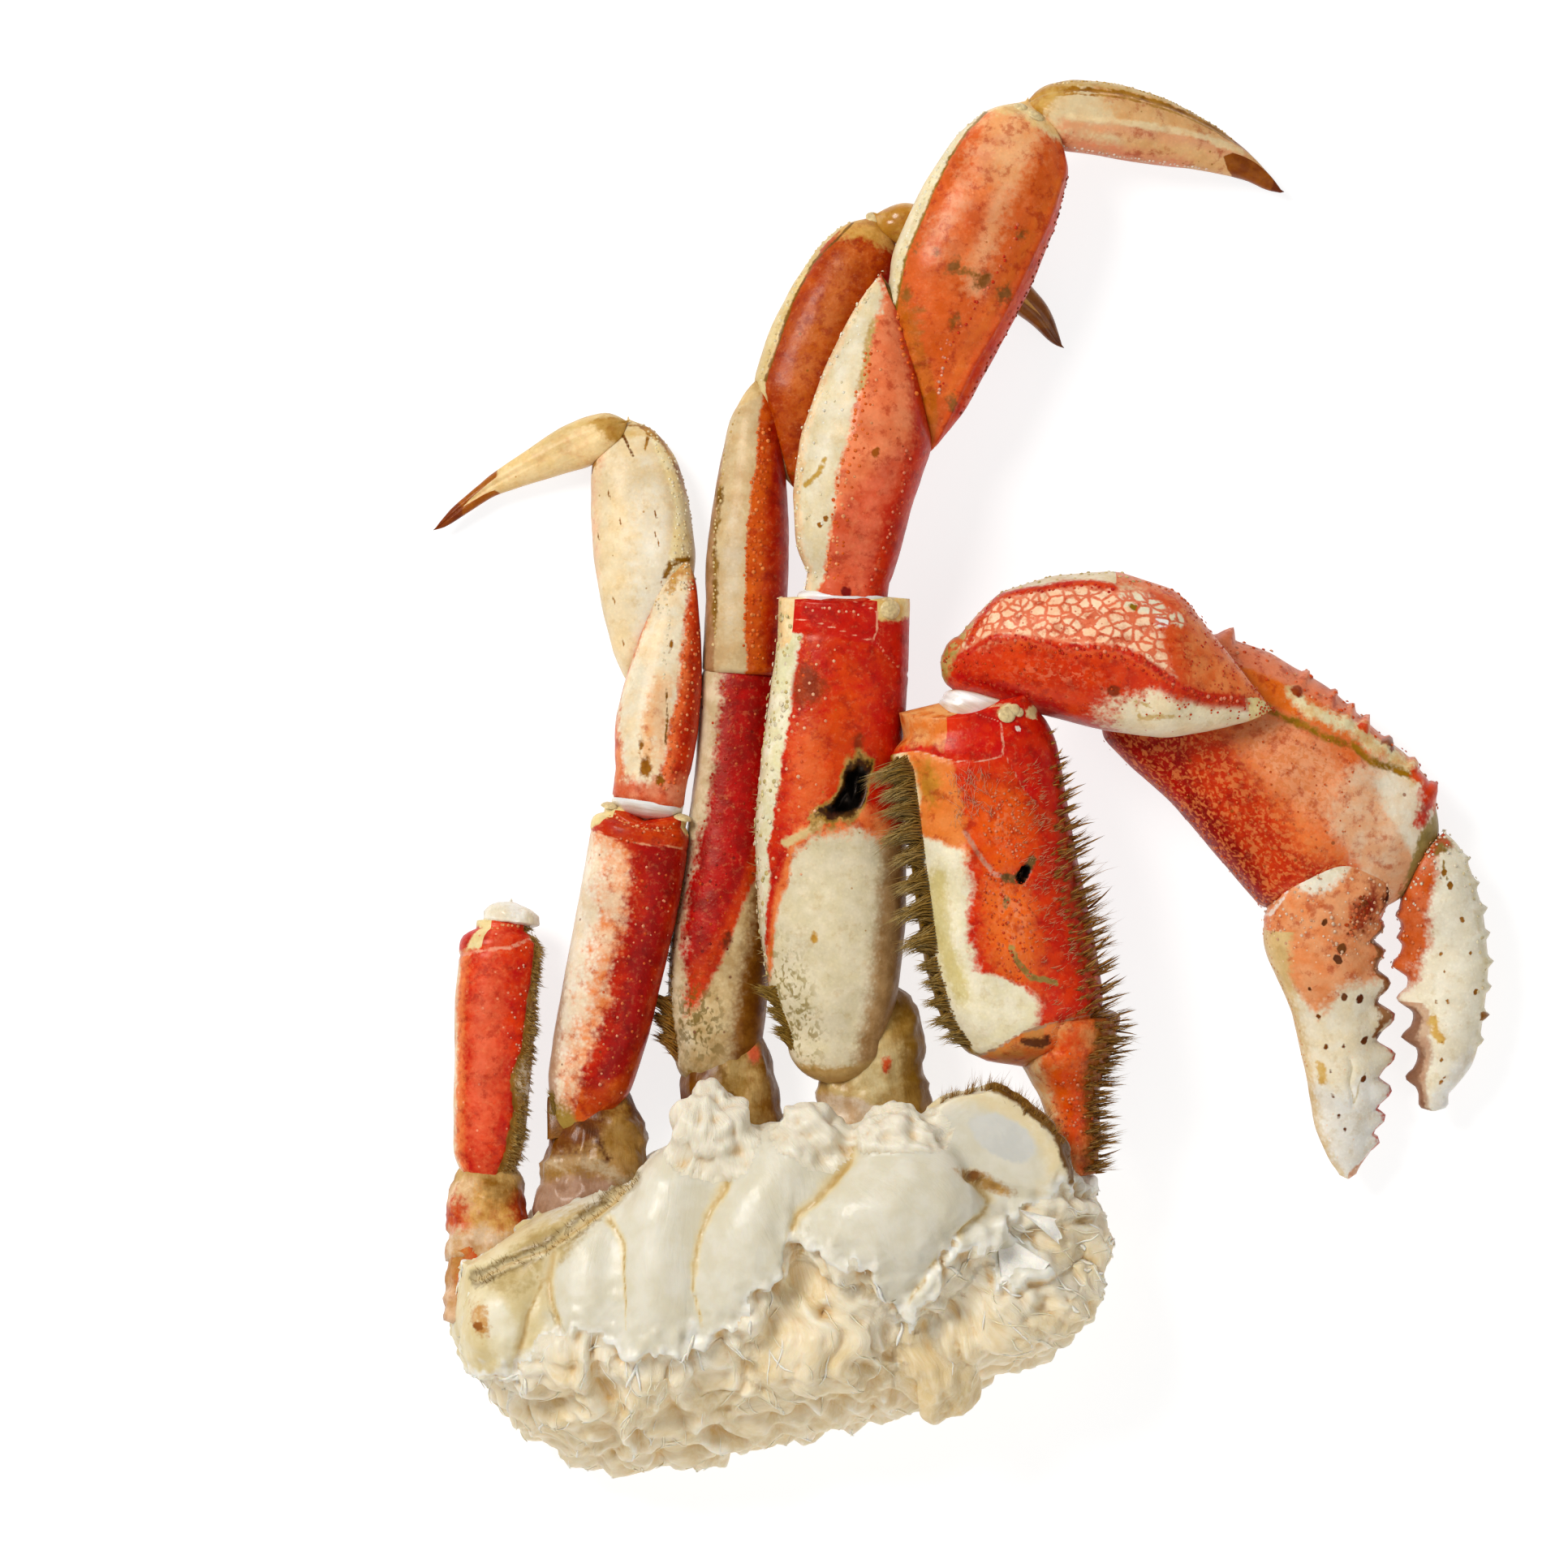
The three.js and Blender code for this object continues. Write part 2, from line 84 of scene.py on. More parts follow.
def lattice(ix, iy, iz):
    return NOISE_TABLE[(ix * 73856093 ^ iy * 19349663 ^ iz * 83492791) & 8191]


def noise(points, scale, seed=0):
    """Smooth value noise in 0..1, one lump for each `scale` millimetres."""
    p = points / scale + seed * 17.31
    cell = np.floor(p).astype(np.int64)
    f = p - cell
    f = f * f * (3 - 2 * f)
    total = 0
    for dx in (0, 1):
        for dy in (0, 1):
            for dz in (0, 1):
                weight = (
                    (f[..., 0] if dx else 1 - f[..., 0])
                    * (f[..., 1] if dy else 1 - f[..., 1])
                    * (f[..., 2] if dz else 1 - f[..., 2])
                )
                total = total + weight * lattice(cell[..., 0] + dx, cell[..., 1] + dy, cell[..., 2] + dz)
    return total


def layered(points, scale, octaves=3, seed=0):
    total, weight, reach = 0, 0, 1.0
    for k in range(octaves):
        total = total + reach * noise(points, scale / 2**k, seed + k)
        weight += reach
        reach /= 2
    return total / weight


def blurred(values, sigma, axis, wrap=False):
    """Gaussian blur along one axis of a grid."""
    if sigma <= 0:
        return values
    reach = int(math.ceil(3 * sigma))
    kernel = np.exp(-0.5 * (np.arange(-reach, reach + 1) / sigma) ** 2)
    kernel /= kernel.sum()
    moved = np.moveaxis(values, axis, 0)
    if wrap:
        index = np.arange(-reach, len(moved) + reach) % len(moved)
        padded = moved[index]
    elif len(moved) > reach:
        first, last = 2 * moved[:1] - moved[reach:0:-1], 2 * moved[-1:] - moved[-2 : -reach - 2 : -1]
        padded = np.concatenate([first, moved, last])
    else:
        padded = np.concatenate([np.repeat(moved[:1], reach, 0), moved, np.repeat(moved[-1:], reach, 0)])
    out = sum(kernel[k] * padded[k : k + len(moved)] for k in range(2 * reach + 1))
    return np.moveaxis(out, 0, axis)


# ---------------------------------------------------------------- CAD nodes as arrays
def node_arrays(name):
    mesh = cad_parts[name].data
    mesh.calc_loop_triangles()
    points = np.zeros(len(mesh.vertices) * 3)
    mesh.vertices.foreach_get("co", points)
    faces = np.zeros(len(mesh.loop_triangles) * 3, int)
    mesh.loop_triangles.foreach_get("vertices", faces)
    return points.reshape(-1, 3) / MM, faces.reshape(-1, 3)


def middle_of(name):
    low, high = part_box(name)
    return np.array((low + high) / 2) / MM


# ---------------------------------------------------------------- skins
class Skin:
    """A closed smooth grid over a CAD node: rows along it, columns round it.

    u runs 0..1 from the near end to the far end. across is -1 at the left edge and 1 at the right edge of
    someone walking that way and seen from above. top is 1 above and -1 below. s is u in millimetres.
    """

    DIRECTIONS = 72  # in which each cross-section is measured
    SLICE = 0.8  # between two cross-sections
    ROUND_OFF, EVEN_OUT = 2.2, 1.2  # how far the outlines are blurred, in directions and in slices

    def __init__(self, node, start, rows, around, axis=None, grow=0.25, ends=(1.6, 1.6), lengthen=(0.6, 0.6),
                 keep=(0, 0), flare=(0, 0), drop=0.0):
        """Pairs are for the near and the far end.

        start: a place on the near side. grow: how far the skin stands off the node. ends: how long the
        rounded ends are. lengthen: how far they go past the node. keep: the share of the node there whose
        outline isn't followed. flare: how much wider it is there. drop: how much lower the whole lies.
        """
        points, faces = node_arrays(node)
        self.node, self.rows, self.around = node, rows, around // 4 * 4
        self.find_axes(points, faces, start, axis)
        rel = points - self.centre
        s, x, y = rel @ self.forward, rel @ self.side, rel @ self.up
        low, high = s.min(), s.max()
        cuts, outlines = self.outlines(s, x, y, faces)
        outlines = self.evenly_round(outlines)
        self.length = high - low + sum(lengthen)
        u = np.linspace(0, 1, rows)
        row_s = low - lengthen[0] + u * self.length
        inside = np.clip(row_s, cuts[0] + keep[0] * (high - low), cuts[-1] - keep[1] * (high - low))
        fitted = np.zeros((rows, self.around, 2))
        for j in range(self.around):
            for c in (0, 1):
                fitted[:, j, c] = np.interp(inside, cuts, outlines[:, j, c])
        middle = fitted.mean(1, keepdims=True)
        away = np.linalg.norm(fitted - middle, axis=2, keepdims=True)
        wider = grow + flare[0] * (1 - smooth_step(0, .5, u)) + flare[1] * smooth_step(.5, 1, u)
        fitted = fitted + (fitted - middle) / np.maximum(away, 1e-6) * wider[:, None, None]
        shrink = np.ones(rows)
        for reach, blunt in ((row_s - row_s[0], ends[0]), (row_s[-1] - row_s, ends[1])):
            shrink *= np.sqrt(np.clip(1 - (1 - np.minimum(reach / blunt, 1)) ** 2, 0.02, 1))
        fitted = middle + (fitted - middle) * shrink[:, None, None]
        self.pos = (
            self.centre
            + row_s[:, None, None] * self.forward
            + fitted[:, :, :1] * self.side
            + fitted[:, :, 1:] * self.up
            - np.array((0, 0, drop))
        )
        self.measure(fitted, u)
        self.normals()

    def find_axes(self, points, faces, start, axis):
        """The centre and the ways forward, to the side and up."""
        corners = points[faces]
        sides = corners[:, 1:] - corners[:, :1]
        areas = np.linalg.norm(np.cross(sides[:, 0], sides[:, 1]), axis=1)
        centres = corners.mean(1)
        self.centre = (centres * areas[:, None]).sum(0) / areas.sum()
        if axis is None:
            spread = (centres - self.centre) * np.sqrt(areas)[:, None]
            forward = np.linalg.eigh(spread.T @ spread)[1][:, 2]
        else:
            forward = np.array(axis, float)
            forward /= np.linalg.norm(forward)
        if (self.centre - start) @ forward < 0:
            forward = -forward
        self.forward = forward
        self.side = np.array([-forward[1], forward[0], 0.0])
        self.side /= np.linalg.norm(self.side)
        self.up = np.cross(forward, self.side)

    def outlines(self, s, x, y, faces):
        """Even places along the node and its rounded outline at each."""
        edges = np.unique(np.sort(faces[:, [0, 1, 1, 2, 2, 0]].reshape(-1, 2), axis=1), axis=0)
        a, b = edges.T
        low, high = s.min(), s.max()
        steps = max(24, int((high - low) / self.SLICE))
        at = low + (high - low) * (0.5 - 0.5 * np.cos(np.pi * (np.arange(steps) + 0.5) / steps))
        angle = np.arange(self.DIRECTIONS) * 2 * np.pi / self.DIRECTIONS
        facing = np.stack([np.cos(angle), np.sin(angle)])
        support = np.zeros((steps, self.DIRECTIONS))
        for k, cut in enumerate(at):
            crossing = (s[a] - cut) * (s[b] - cut) < 0
            i, j = a[crossing], b[crossing]
            t = (cut - s[i]) / (s[j] - s[i])
            flat = np.stack([x[i] + (x[j] - x[i]) * t, y[i] + (y[j] - y[i]) * t], axis=1)
            support[k] = (flat @ facing).max(0)
        support = blurred(support, self.ROUND_OFF, 1, wrap=True)
        even_at = np.linspace(at[0], at[-1], steps)
        support = np.stack([np.interp(even_at, at, column) for column in support.T], axis=1)
        support = blurred(support, self.EVEN_OUT, 0)
        turn = (np.roll(support, -1, 1) - np.roll(support, 1, 1)) / (2 * (angle[1] - angle[0]))
        curve_x = support * np.cos(angle) - turn * np.sin(angle)
        curve_y = support * np.sin(angle) + turn * np.cos(angle)
        return even_at, np.stack([curve_x, curve_y], axis=2)

    def evenly_round(self, outlines):
        """The outlines with points evenly spread over each quarter between their four furthest points."""
        quarter = self.around // 4
        walked = np.zeros((len(outlines), self.around, 2))
        for k, ring in enumerate(outlines):
            x, y = ring.T
            marks = [int(mark) for mark in (x.argmax(), y.argmax(), x.argmin(), y.argmin())]
            for q in range(4):
                i, j = marks[q], marks[(q + 1) % 4]
                arc = ring[np.arange(i, j + 1 if j > i else j + 1 + self.DIRECTIONS) % self.DIRECTIONS]
                steps = np.linalg.norm(np.diff(arc, axis=0), axis=1) + 1e-6
                length = np.concatenate([[0], np.cumsum(steps)])
                want = np.linspace(0, length[-1], quarter, endpoint=False)
                for c in (0, 1):
                    walked[k, q * quarter : (q + 1) * quarter, c] = np.interp(want, length, arc[:, c])
        return blurred(blurred(walked, 1.0, 1, wrap=True), 0.8, 0)

    def measure(self, fitted, u):
        """Where each point is on the limb: u, s, across and top, and half the limb's width in each row."""
        widest, narrowest = fitted[:, :, 0].max(1, keepdims=True), fitted[:, :, 0].min(1, keepdims=True)
        highest, lowest = fitted[:, :, 1].max(1, keepdims=True), fitted[:, :, 1].min(1, keepdims=True)
        self.half = (widest - narrowest) / 2
        self.across = -(fitted[:, :, 0] - (widest + narrowest) / 2) / np.maximum(self.half, 1e-3)
        self.top = (fitted[:, :, 1] - (highest + lowest) / 2) / np.maximum((highest - lowest) / 2, 1e-3)
        self.u = np.repeat(u[:, None], self.around, 1)
        self.s = self.u * self.length
        self.local = np.concatenate([self.s[..., None], fitted], axis=2)

    def normals(self):
        """Works out each point's outward normal again."""
        along = np.gradient(self.pos, axis=0)
        round_it = np.roll(self.pos, -1, 1) - np.roll(self.pos, 1, 1)
        n = np.cross(along, round_it)
        n /= np.maximum(np.linalg.norm(n, axis=2, keepdims=True), 1e-9)
        middle = self.pos.mean(1, keepdims=True)
        outward = ((self.pos - middle) * n).sum(2)
        if outward[self.rows // 2].mean() < 0:
            n = -n
        n[0], n[-1] = -self.forward, self.forward
        self.nor = n

    def push(self, height):
        """Moves the skin out along its normals by a height in millimetres."""
        self.pos = self.pos + self.nor * height[..., None]
        self.normals()

    # fields in millimetres, above 0 inside the place they describe
    def right_of(self, *line):
        """How far a point is to the right of a line given as (u, across) pairs."""
        u, across = np.array(line, float).T
        return (self.across - np.interp(self.u, u, across)) * self.half

    def left_of(self, *line):
        return -self.right_of(*line)

    def beyond(self, *line):
        """How far a point is past a line given as (across, u) pairs."""
        across, u = np.array(line, float).T
        return (self.u - np.interp(self.across, across, u)) * self.length

    def before(self, *line):
        return -self.beyond(*line)

    def blob(self, u, across, long_radius, wide_radius=None):
        wide_radius = wide_radius or long_radius
        du = (self.u - u) * self.length / long_radius
        da = (self.across - across) * self.half / wide_radius
        return (1 - np.sqrt(du**2 + da**2)) * min(long_radius, wide_radius)

    def stroke(self, width, *line):
        """How far inside a line of that half width a point is."""
        x, y = self.s, self.across * self.half
        spots = [(u * self.length, across * self.half_at(u)) for u, across in line]
        near = np.full(self.s.shape, 1e3)
        for (ax, ay), (bx, by) in zip(spots, spots[1:]):
            dx, dy = bx - ax, by - ay
            t = np.clip(((x - ax) * dx + (y - ay) * dy) / (dx * dx + dy * dy), 0, 1)
            near = np.minimum(near, np.hypot(x - ax - t * dx, y - ay - t * dy))
        return width - near

    def half_at(self, u):
        return np.interp(u, np.linspace(0, 1, self.rows), self.half[:, 0])

    def to_object(self, name):
        rows, around = self.rows, self.around
        ends = np.stack([self.pos[0].mean(0), self.pos[-1].mean(0)])
        verts = np.concatenate([self.pos.reshape(-1, 3), ends])
        j = np.arange(around)
        k = (j + 1) % around
        first, last = rows * around, rows * around + 1
        caps = np.concatenate([
            np.stack([k, j, np.full(around, first)], 1),
            np.stack([(rows - 1) * around + j, (rows - 1) * around + k, np.full(around, last)], 1),
        ])
        quads = grid_faces(rows, around)
        obj = mesh_object(name, verts, quads, caps)
        if signed_volume(obj) < 0:
            obj.data.flip_normals()
        return obj

    def with_ends(self, values):
        """Values of the grid's points, then of the two points that close its ends."""
        return np.concatenate([values.reshape(-1, *values.shape[2:]), values[:1, 0], values[-1:, 0]])

    def spot(self, u, across):
        """Places and normals on the upper side at u and across."""
        u, across = np.broadcast_arrays(np.asarray(u, float), np.asarray(across, float))
        row = np.clip(np.round(u * (self.rows - 1)).astype(int), 0, self.rows - 1)
        upper = self.across[row][..., : self.around // 2 + 1]
        column = np.abs(upper - across[..., None]).argmin(-1)
        return self.pos[row, column], self.nor[row, column]


def mesh_object(name, verts, *face_sets):
    """A mesh from points in millimetres and arrays of faces, each array with its own number of corners."""
    mesh = bpy.data.meshes.new(name)
    verts = np.asarray(verts, float).reshape(-1, 3) * MM
    face_sets = [np.asarray(f, np.int32) for f in face_sets if len(f)]
    corners = np.concatenate([f.ravel() for f in face_sets])
    totals = np.concatenate([np.full(len(f), f.shape[1], np.int32) for f in face_sets])
    starts = np.concatenate([[0], np.cumsum(totals)[:-1]]).astype(np.int32)
    mesh.vertices.add(len(verts))
    mesh.vertices.foreach_set("co", verts.ravel().astype(np.float32))
    mesh.loops.add(len(corners))
    mesh.loops.foreach_set("vertex_index", corners)
    mesh.polygons.add(len(totals))
    mesh.polygons.foreach_set("loop_start", starts)
    mesh.polygons.foreach_set("loop_total", totals)
    mesh.update(calc_edges=True)
    mesh.polygons.foreach_set("use_smooth", np.full(len(totals), True))
    obj = bpy.data.objects.new(name, mesh)
    bpy.context.scene.collection.objects.link(obj)
    return obj


def signed_volume(obj):
    mesh = obj.data
    mesh.calc_loop_triangles()
    co = np.zeros(len(mesh.vertices) * 3)
    mesh.vertices.foreach_get("co", co)
    tris = np.zeros(len(mesh.loop_triangles) * 3, int)
    mesh.loop_triangles.foreach_get("vertices", tris)
    a, b, c = np.moveaxis(co.reshape(-1, 3)[tris.reshape(-1, 3)], 1, 0)
    return float((a * np.cross(b, c)).sum())


def grid_faces(rows, around):
    """The quads between rings of points."""
    i, j = np.meshgrid(np.arange(rows - 1) * around, np.arange(around), indexing="ij")
    k = (j + 1) % around
    return np.stack([i + j, i + k, i + around + k, i + around + j], -1).reshape(-1, 4)


# for each number of values a point: the attribute's kind and the name of its values
ATTRIBUTE_KINDS = {1: ("FLOAT", "value"), 3: ("FLOAT_VECTOR", "vector"), 4: ("FLOAT_COLOR", "color")}


def set_attribute(obj, name, values):
    values = np.asarray(values, np.float32)
    kind, key = ATTRIBUTE_KINDS[1 if values.ndim == 1 else values.shape[1]]
    obj.data.attributes.new(name, kind, "POINT").data.foreach_set(key, values.ravel())


# ---------------------------------------------------------------- the limbs
SPACING = 0.63  # of the skins' points
# each limb's nodes from the shoulder outwards
CHAINS = [
    ["claw_ischium", "claw_merus", "claw_carpus", "claw_palm", "claw_fixed_finger"],
    ["claw_palm", "claw_moving_finger"],
    ["first_leg_ischium", "first_leg_merus", "first_leg_carpus", "first_leg_propodus", "first_leg_dactyl"],
    ["second_leg_ischium", "second_leg_merus", "second_leg_carpus", "second_leg_propodus",
        "second_leg_dactyl"],
    ["third_leg_coxa", "third_leg_merus", "third_leg_carpus", "third_leg_propodus", "third_leg_dactyl"],
    ["broken_leg_coxa", "broken_leg_ischium", "broken_leg_merus", "broken_leg_stump"],
]
CHAMBERS = ["chamber_1", "chamber_2", "chamber_3", "chamber_4", "chamber_5", "chamber_6_edge"]
KNEES = {
    "claw_knee_membrane": ("claw_merus", "claw_carpus"),
    "first_leg_knee_membrane": ("first_leg_merus", "first_leg_carpus"),
    "third_leg_knee_membrane": ("third_leg_merus", "third_leg_carpus"),
}


def skin_of(node, start, axis=None, spacing=SPACING, **options):
    low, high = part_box(node)
    size = np.array(high - low) / MM
    long_side = np.linalg.norm(size[:2]) if axis is None else max(14, size[1] + 2)
    girth = 2.6 * (np.sort(size)[0] + np.sort(size)[1])
    rows = int(np.clip(long_side / spacing, 20, 160))
    around = int(np.clip(girth / spacing, 32, 144))
    return Skin(node, start, rows, around, axis=axis, **options)


SHORT = 27  # a node whose box is shorter than this takes its axis from its neighbours
# ends in a rim that the next piece comes out of
SLEEVE = dict(ends=(7.0, 0.5), lengthen=(3.0, 0.8), keep=(.06, .03))
JOINED = dict(ends=(1.0, 1.0), keep=(.3, .35))  # runs into its neighbours at both ends
FITTED = {
    "first_leg_merus": dict(SLEEVE, lengthen=(3.0, 2.4), keep=(.06, .06)),
    "second_leg_merus": dict(SLEEVE, lengthen=(3.0, 4.6)),
    "third_leg_merus": SLEEVE,
    "claw_merus": dict(ends=(4.0, .6), lengthen=(1.6, .8), keep=(0, .07)),
    "broken_leg_merus": dict(ends=(6.0, .5), lengthen=(4.8, .6), keep=(.05, .03)),
    "first_leg_carpus": dict(ends=(1.0, 1.6), lengthen=(3.0, .4), keep=(.07, 0)),
    "second_leg_carpus": dict(ends=(1.0, 1.6), lengthen=(4.0, .4), keep=(.2, 0)),
    "third_leg_carpus": dict(ends=(1.6, 1.6), lengthen=(.6, .4), keep=(.14, 0), flare=(-.5, 0)),
    "claw_carpus": dict(ends=(3.0, 1.6), lengthen=(.3, .6), keep=(.04, 0)),
    "first_leg_ischium": dict(JOINED, ends=(1.0, 5.0), lengthen=(4.0, 6.0), flare=(0, -1.0), drop=3.0),
    "second_leg_ischium": dict(JOINED, ends=(1.0, 6.0), lengthen=(4.0, 6.0), flare=(0, -1.6), drop=2.0),
    "third_leg_coxa": dict(JOINED, ends=(1.0, 6.0), lengthen=(2.0, 6.0), flare=(1.0, -3.0), drop=2.0),
    "broken_leg_ischium": dict(JOINED, ends=(1.0, 5.0), lengthen=(1.5, 5.0), flare=(.8, -1.8), drop=1.0),
    "broken_leg_coxa": dict(JOINED, lengthen=(3.0, 3.0)),
    "claw_ischium": dict(ends=(1.0, 1.0), lengthen=(1.5, 3.5), keep=(.1, .1), flare=(1.6, 3.4), drop=1.5),
    "claw_palm": dict(ends=(4.0, 1.6)),
    "claw_moving_finger": dict(ends=(1.6, 1.4), keep=(0, .05)),
    "claw_fixed_finger": dict(ends=(1.6, 1.8), keep=(0, .025), lengthen=(2.5, 0)),
}
SKINS = {}


def fit_limb(chain):
    """Skins for a limb's nodes; a short node's axis comes from its neighbours."""
    for i, node in enumerate(chain):
        if node in SKINS:
            continue
        low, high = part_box(node)
        before = middle_of(chain[i - 1]) if i else middle_of("shoulder_core")
        if max(high - low) / MM > SHORT or node == "claw_ischium":
            axis = None
        elif i + 1 < len(chain):
            axis = middle_of(chain[i + 1]) - middle_of(node)
        else:
            axis = middle_of(node) - before
        SKINS[node] = skin_of(node, before, axis=axis, **FITTED.get(node, {}))


for chain in CHAINS:
    fit_limb(chain)
SKINS["claw_socket_pad"] = skin_of("claw_socket_pad", middle_of("chamber_5"))
for node, (inner, outer) in KNEES.items():
    axis = middle_of(outer) - middle_of(inner)
    SKINS[node] = skin_of(node, middle_of(inner), axis=axis, ends=(1.2, 1.2), grow=-.1, drop=.2)


def hollow_rim(node, depth, tilt=0.0):
    """Draws the middle of a sleeve's upper rim back by a depth, and its right side forward by a tilt."""
    skin = SKINS[node]
    back = depth * (1 - np.clip(skin.across, -1, 1) ** 2) - tilt * skin.across
    weight = smooth_step(1 - 6 / skin.length, 1, skin.u) * smooth_step(-0.6, 0.5, skin.top)
    skin.pos = skin.pos - skin.forward * (back * weight)[..., None]
    skin.normals()


hollow_rim("third_leg_merus", 2.8, .3)
hollow_rim("first_leg_merus", .8, .2)
hollow_rim("second_leg_merus", .8)
hollow_rim("claw_merus", 2.6)


# ---------------------------------------------------------------- colours and materials
VEIL = 0.026  # what a white studio's gloss adds to every colour


def colour(text):
    """Linear colour from an sRGB hex code as it should look, less the gloss that lies over it."""
    parts = np.array([int(text[i : i + 2], 16) / 255 for i in (0, 2, 4)])
    linear = np.where(parts <= 0.04045, parts / 12.92, ((parts + 0.055) / 1.055) ** 2.4)
    return (*np.maximum(linear * (1 + VEIL) - VEIL, 0), 1.0)


class Paint:
    """Builds one material: colours laid over each other, then the shader."""

    def __init__(self, name):
        self.material = bpy.data.materials.new(name)
        self.material.use_nodes = True
        self.tree = self.material.node_tree
        self.tree.nodes.clear()
        self.out = self.node("ShaderNodeOutputMaterial")
        self.shader = self.node("ShaderNodeBsdfPrincipled")
        self.link(self.shader.outputs[0], self.out.inputs[0])
        scale = self.node("ShaderNodeVectorMath", operation="SCALE")
        scale.inputs["Scale"].default_value = 1 / MM
        self.link(self.node("ShaderNodeTexCoord").outputs["Object"], scale.inputs[0])
        self.place = scale.outputs[0]

    def node(self, kind, **settings):
        made = self.tree.nodes.new(kind)
        for key, value in settings.items():
            setattr(made, key, value)
        return made

    def link(self, a, b):
        self.tree.links.new(a, b)

    def put(self, socket, value):
        if hasattr(value, "is_output"):
            self.link(value, socket)
        else:
            socket.default_value = value

    def attribute(self, name, output="Fac"):
        return self.node("ShaderNodeAttribute", attribute_name=name).outputs[output]

    def stretched(self, x, y, z):
        """The limb's own coordinates, stretched by a factor each way."""
        made = self.node("ShaderNodeVectorMath", operation="MULTIPLY")
        self.link(self.attribute("limb", "Vector"), made.inputs[0])
        made.inputs[1].default_value = (1 / x, 1 / y, 1 / z)
        return made.outputs[0]

    def wavy(self, vector, size, amount):
        """Coordinates that a noise pushes about by up to an amount."""
        noise = self.node("ShaderNodeTexNoise")
        self.link(vector, noise.inputs["Vector"])
        noise.inputs["Scale"].default_value = 1 / size
        push = self.node("ShaderNodeVectorMath", operation="MULTIPLY_ADD")
        self.link(noise.outputs["Color"], push.inputs[0])
        push.inputs[1].default_value = (2 * amount,) * 3
        self.link(vector, push.inputs[2])
        return push.outputs[0]

    def noise(self, size, detail=3.0, rough=0.55, distortion=0.0, vector=None):
        made = self.node("ShaderNodeTexNoise")
        self.link(vector or self.place, made.inputs["Vector"])
        made.inputs["Scale"].default_value = 1 / size
        made.inputs["Detail"].default_value = detail
        made.inputs["Roughness"].default_value = rough
        made.inputs["Distortion"].default_value = distortion
        return made.outputs["Fac"]

    def cells(self, size, feature="F1", output="Distance", vector=None):
        made = self.node("ShaderNodeTexVoronoi", feature=feature)
        self.link(vector or self.place, made.inputs["Vector"])
        made.inputs["Scale"].default_value = 1 / size
        return made.outputs[output]

    def maths(self, operation, a, b):
        made = self.node("ShaderNodeMath", operation=operation)
        self.put(made.inputs[0], a)
        self.put(made.inputs[1], b)
        return made.outputs[0]

    def add(self, a, b):
        return self.maths("ADD", a, b)

    def less(self, a, b):
        return self.maths("SUBTRACT", a, b)

    def times(self, a, b):
        return self.maths("MULTIPLY", a, b)

    def ramp(self, value, low, high, to_low=0.0, to_high=1.0):
        made = self.node("ShaderNodeMapRange", interpolation_type="SMOOTHSTEP")
        self.put(made.inputs["Value"], value)
        made.inputs["From Min"].default_value = low
        made.inputs["From Max"].default_value = high
        made.inputs["To Min"].default_value = to_low
        made.inputs["To Max"].default_value = to_high
        return made.outputs[0]

    def mix(self, factor, a, b, blend="MIX"):
        made = self.node("ShaderNodeMix", data_type="RGBA", blend_type=blend)
        self.put(made.inputs[0], factor)
        self.put(made.inputs[6], colour(a) if isinstance(a, str) else a)
        self.put(made.inputs[7], colour(b) if isinstance(b, str) else b)
        return made.outputs[2]

    def bump(self, height, strength, distance, below=None):
        made = self.node("ShaderNodeBump")
        made.inputs["Strength"].default_value = strength
        made.inputs["Distance"].default_value = distance * MM
        self.link(height, made.inputs["Height"])
        if below:
            self.link(below, made.inputs["Normal"])
        return made.outputs[0]

    def finish(self, base, roughness, normal, **constants):
        self.put(self.shader.inputs["Base Color"], base)
        self.put(self.shader.inputs["Roughness"], roughness)
        if normal:
            self.link(normal, self.shader.inputs["Normal"])
        for key, value in constants.items():
            self.shader.inputs[key.replace("_", " ")].default_value = value
        return self.material


SHELL_GLOSS = dict(Coat_Roughness=0.18, Subsurface_Weight=0.1, Subsurface_Radius=(1.0, 0.45, 0.25),
                   Subsurface_Scale=0.8 * MM, Specular_IOR_Level=0.22, Specular_Tint=(1, .7, .52, 1))
GRAIN_GLOSS = dict(Coat_Roughness=0.2, Subsurface_Weight=0.1, Subsurface_Radius=(1.0, 0.6, 0.35),
                   Subsurface_Scale=0.6 * MM, Specular_IOR_Level=0.25, Specular_Tint=(1, .75, .55, 1))
MEMBRANE_GLOSS = dict(Coat_Weight=0.5, Coat_Roughness=0.15, Subsurface_Weight=0.25,
                      Subsurface_Radius=(1.0, 0.8, 0.6), Subsurface_Scale=1.2 * MM)
WALL_GLOSS = dict(Coat_Weight=0.18, Coat_Roughness=0.26, Subsurface_Weight=0.3,
                  Subsurface_Radius=(1.0, 0.72, 0.45), Subsurface_Scale=1.6 * MM, Specular_IOR_Level=0.35)
MEAT_GLOSS = dict(Coat_Weight=.16, Coat_Roughness=.24, Subsurface_Weight=.35,
                  Subsurface_Radius=(1.0, .7, .38), Specular_IOR_Level=0.35)
# colours of what lies over every shell; the last is painted shade that browns each limb's lower side
DARK_SPECKS, PALE_SPECKS, YELLOW_STAIN, UNDERSIDE_SHADE = "c87a5a", "ee9866", "d8bc84", "a8703c"


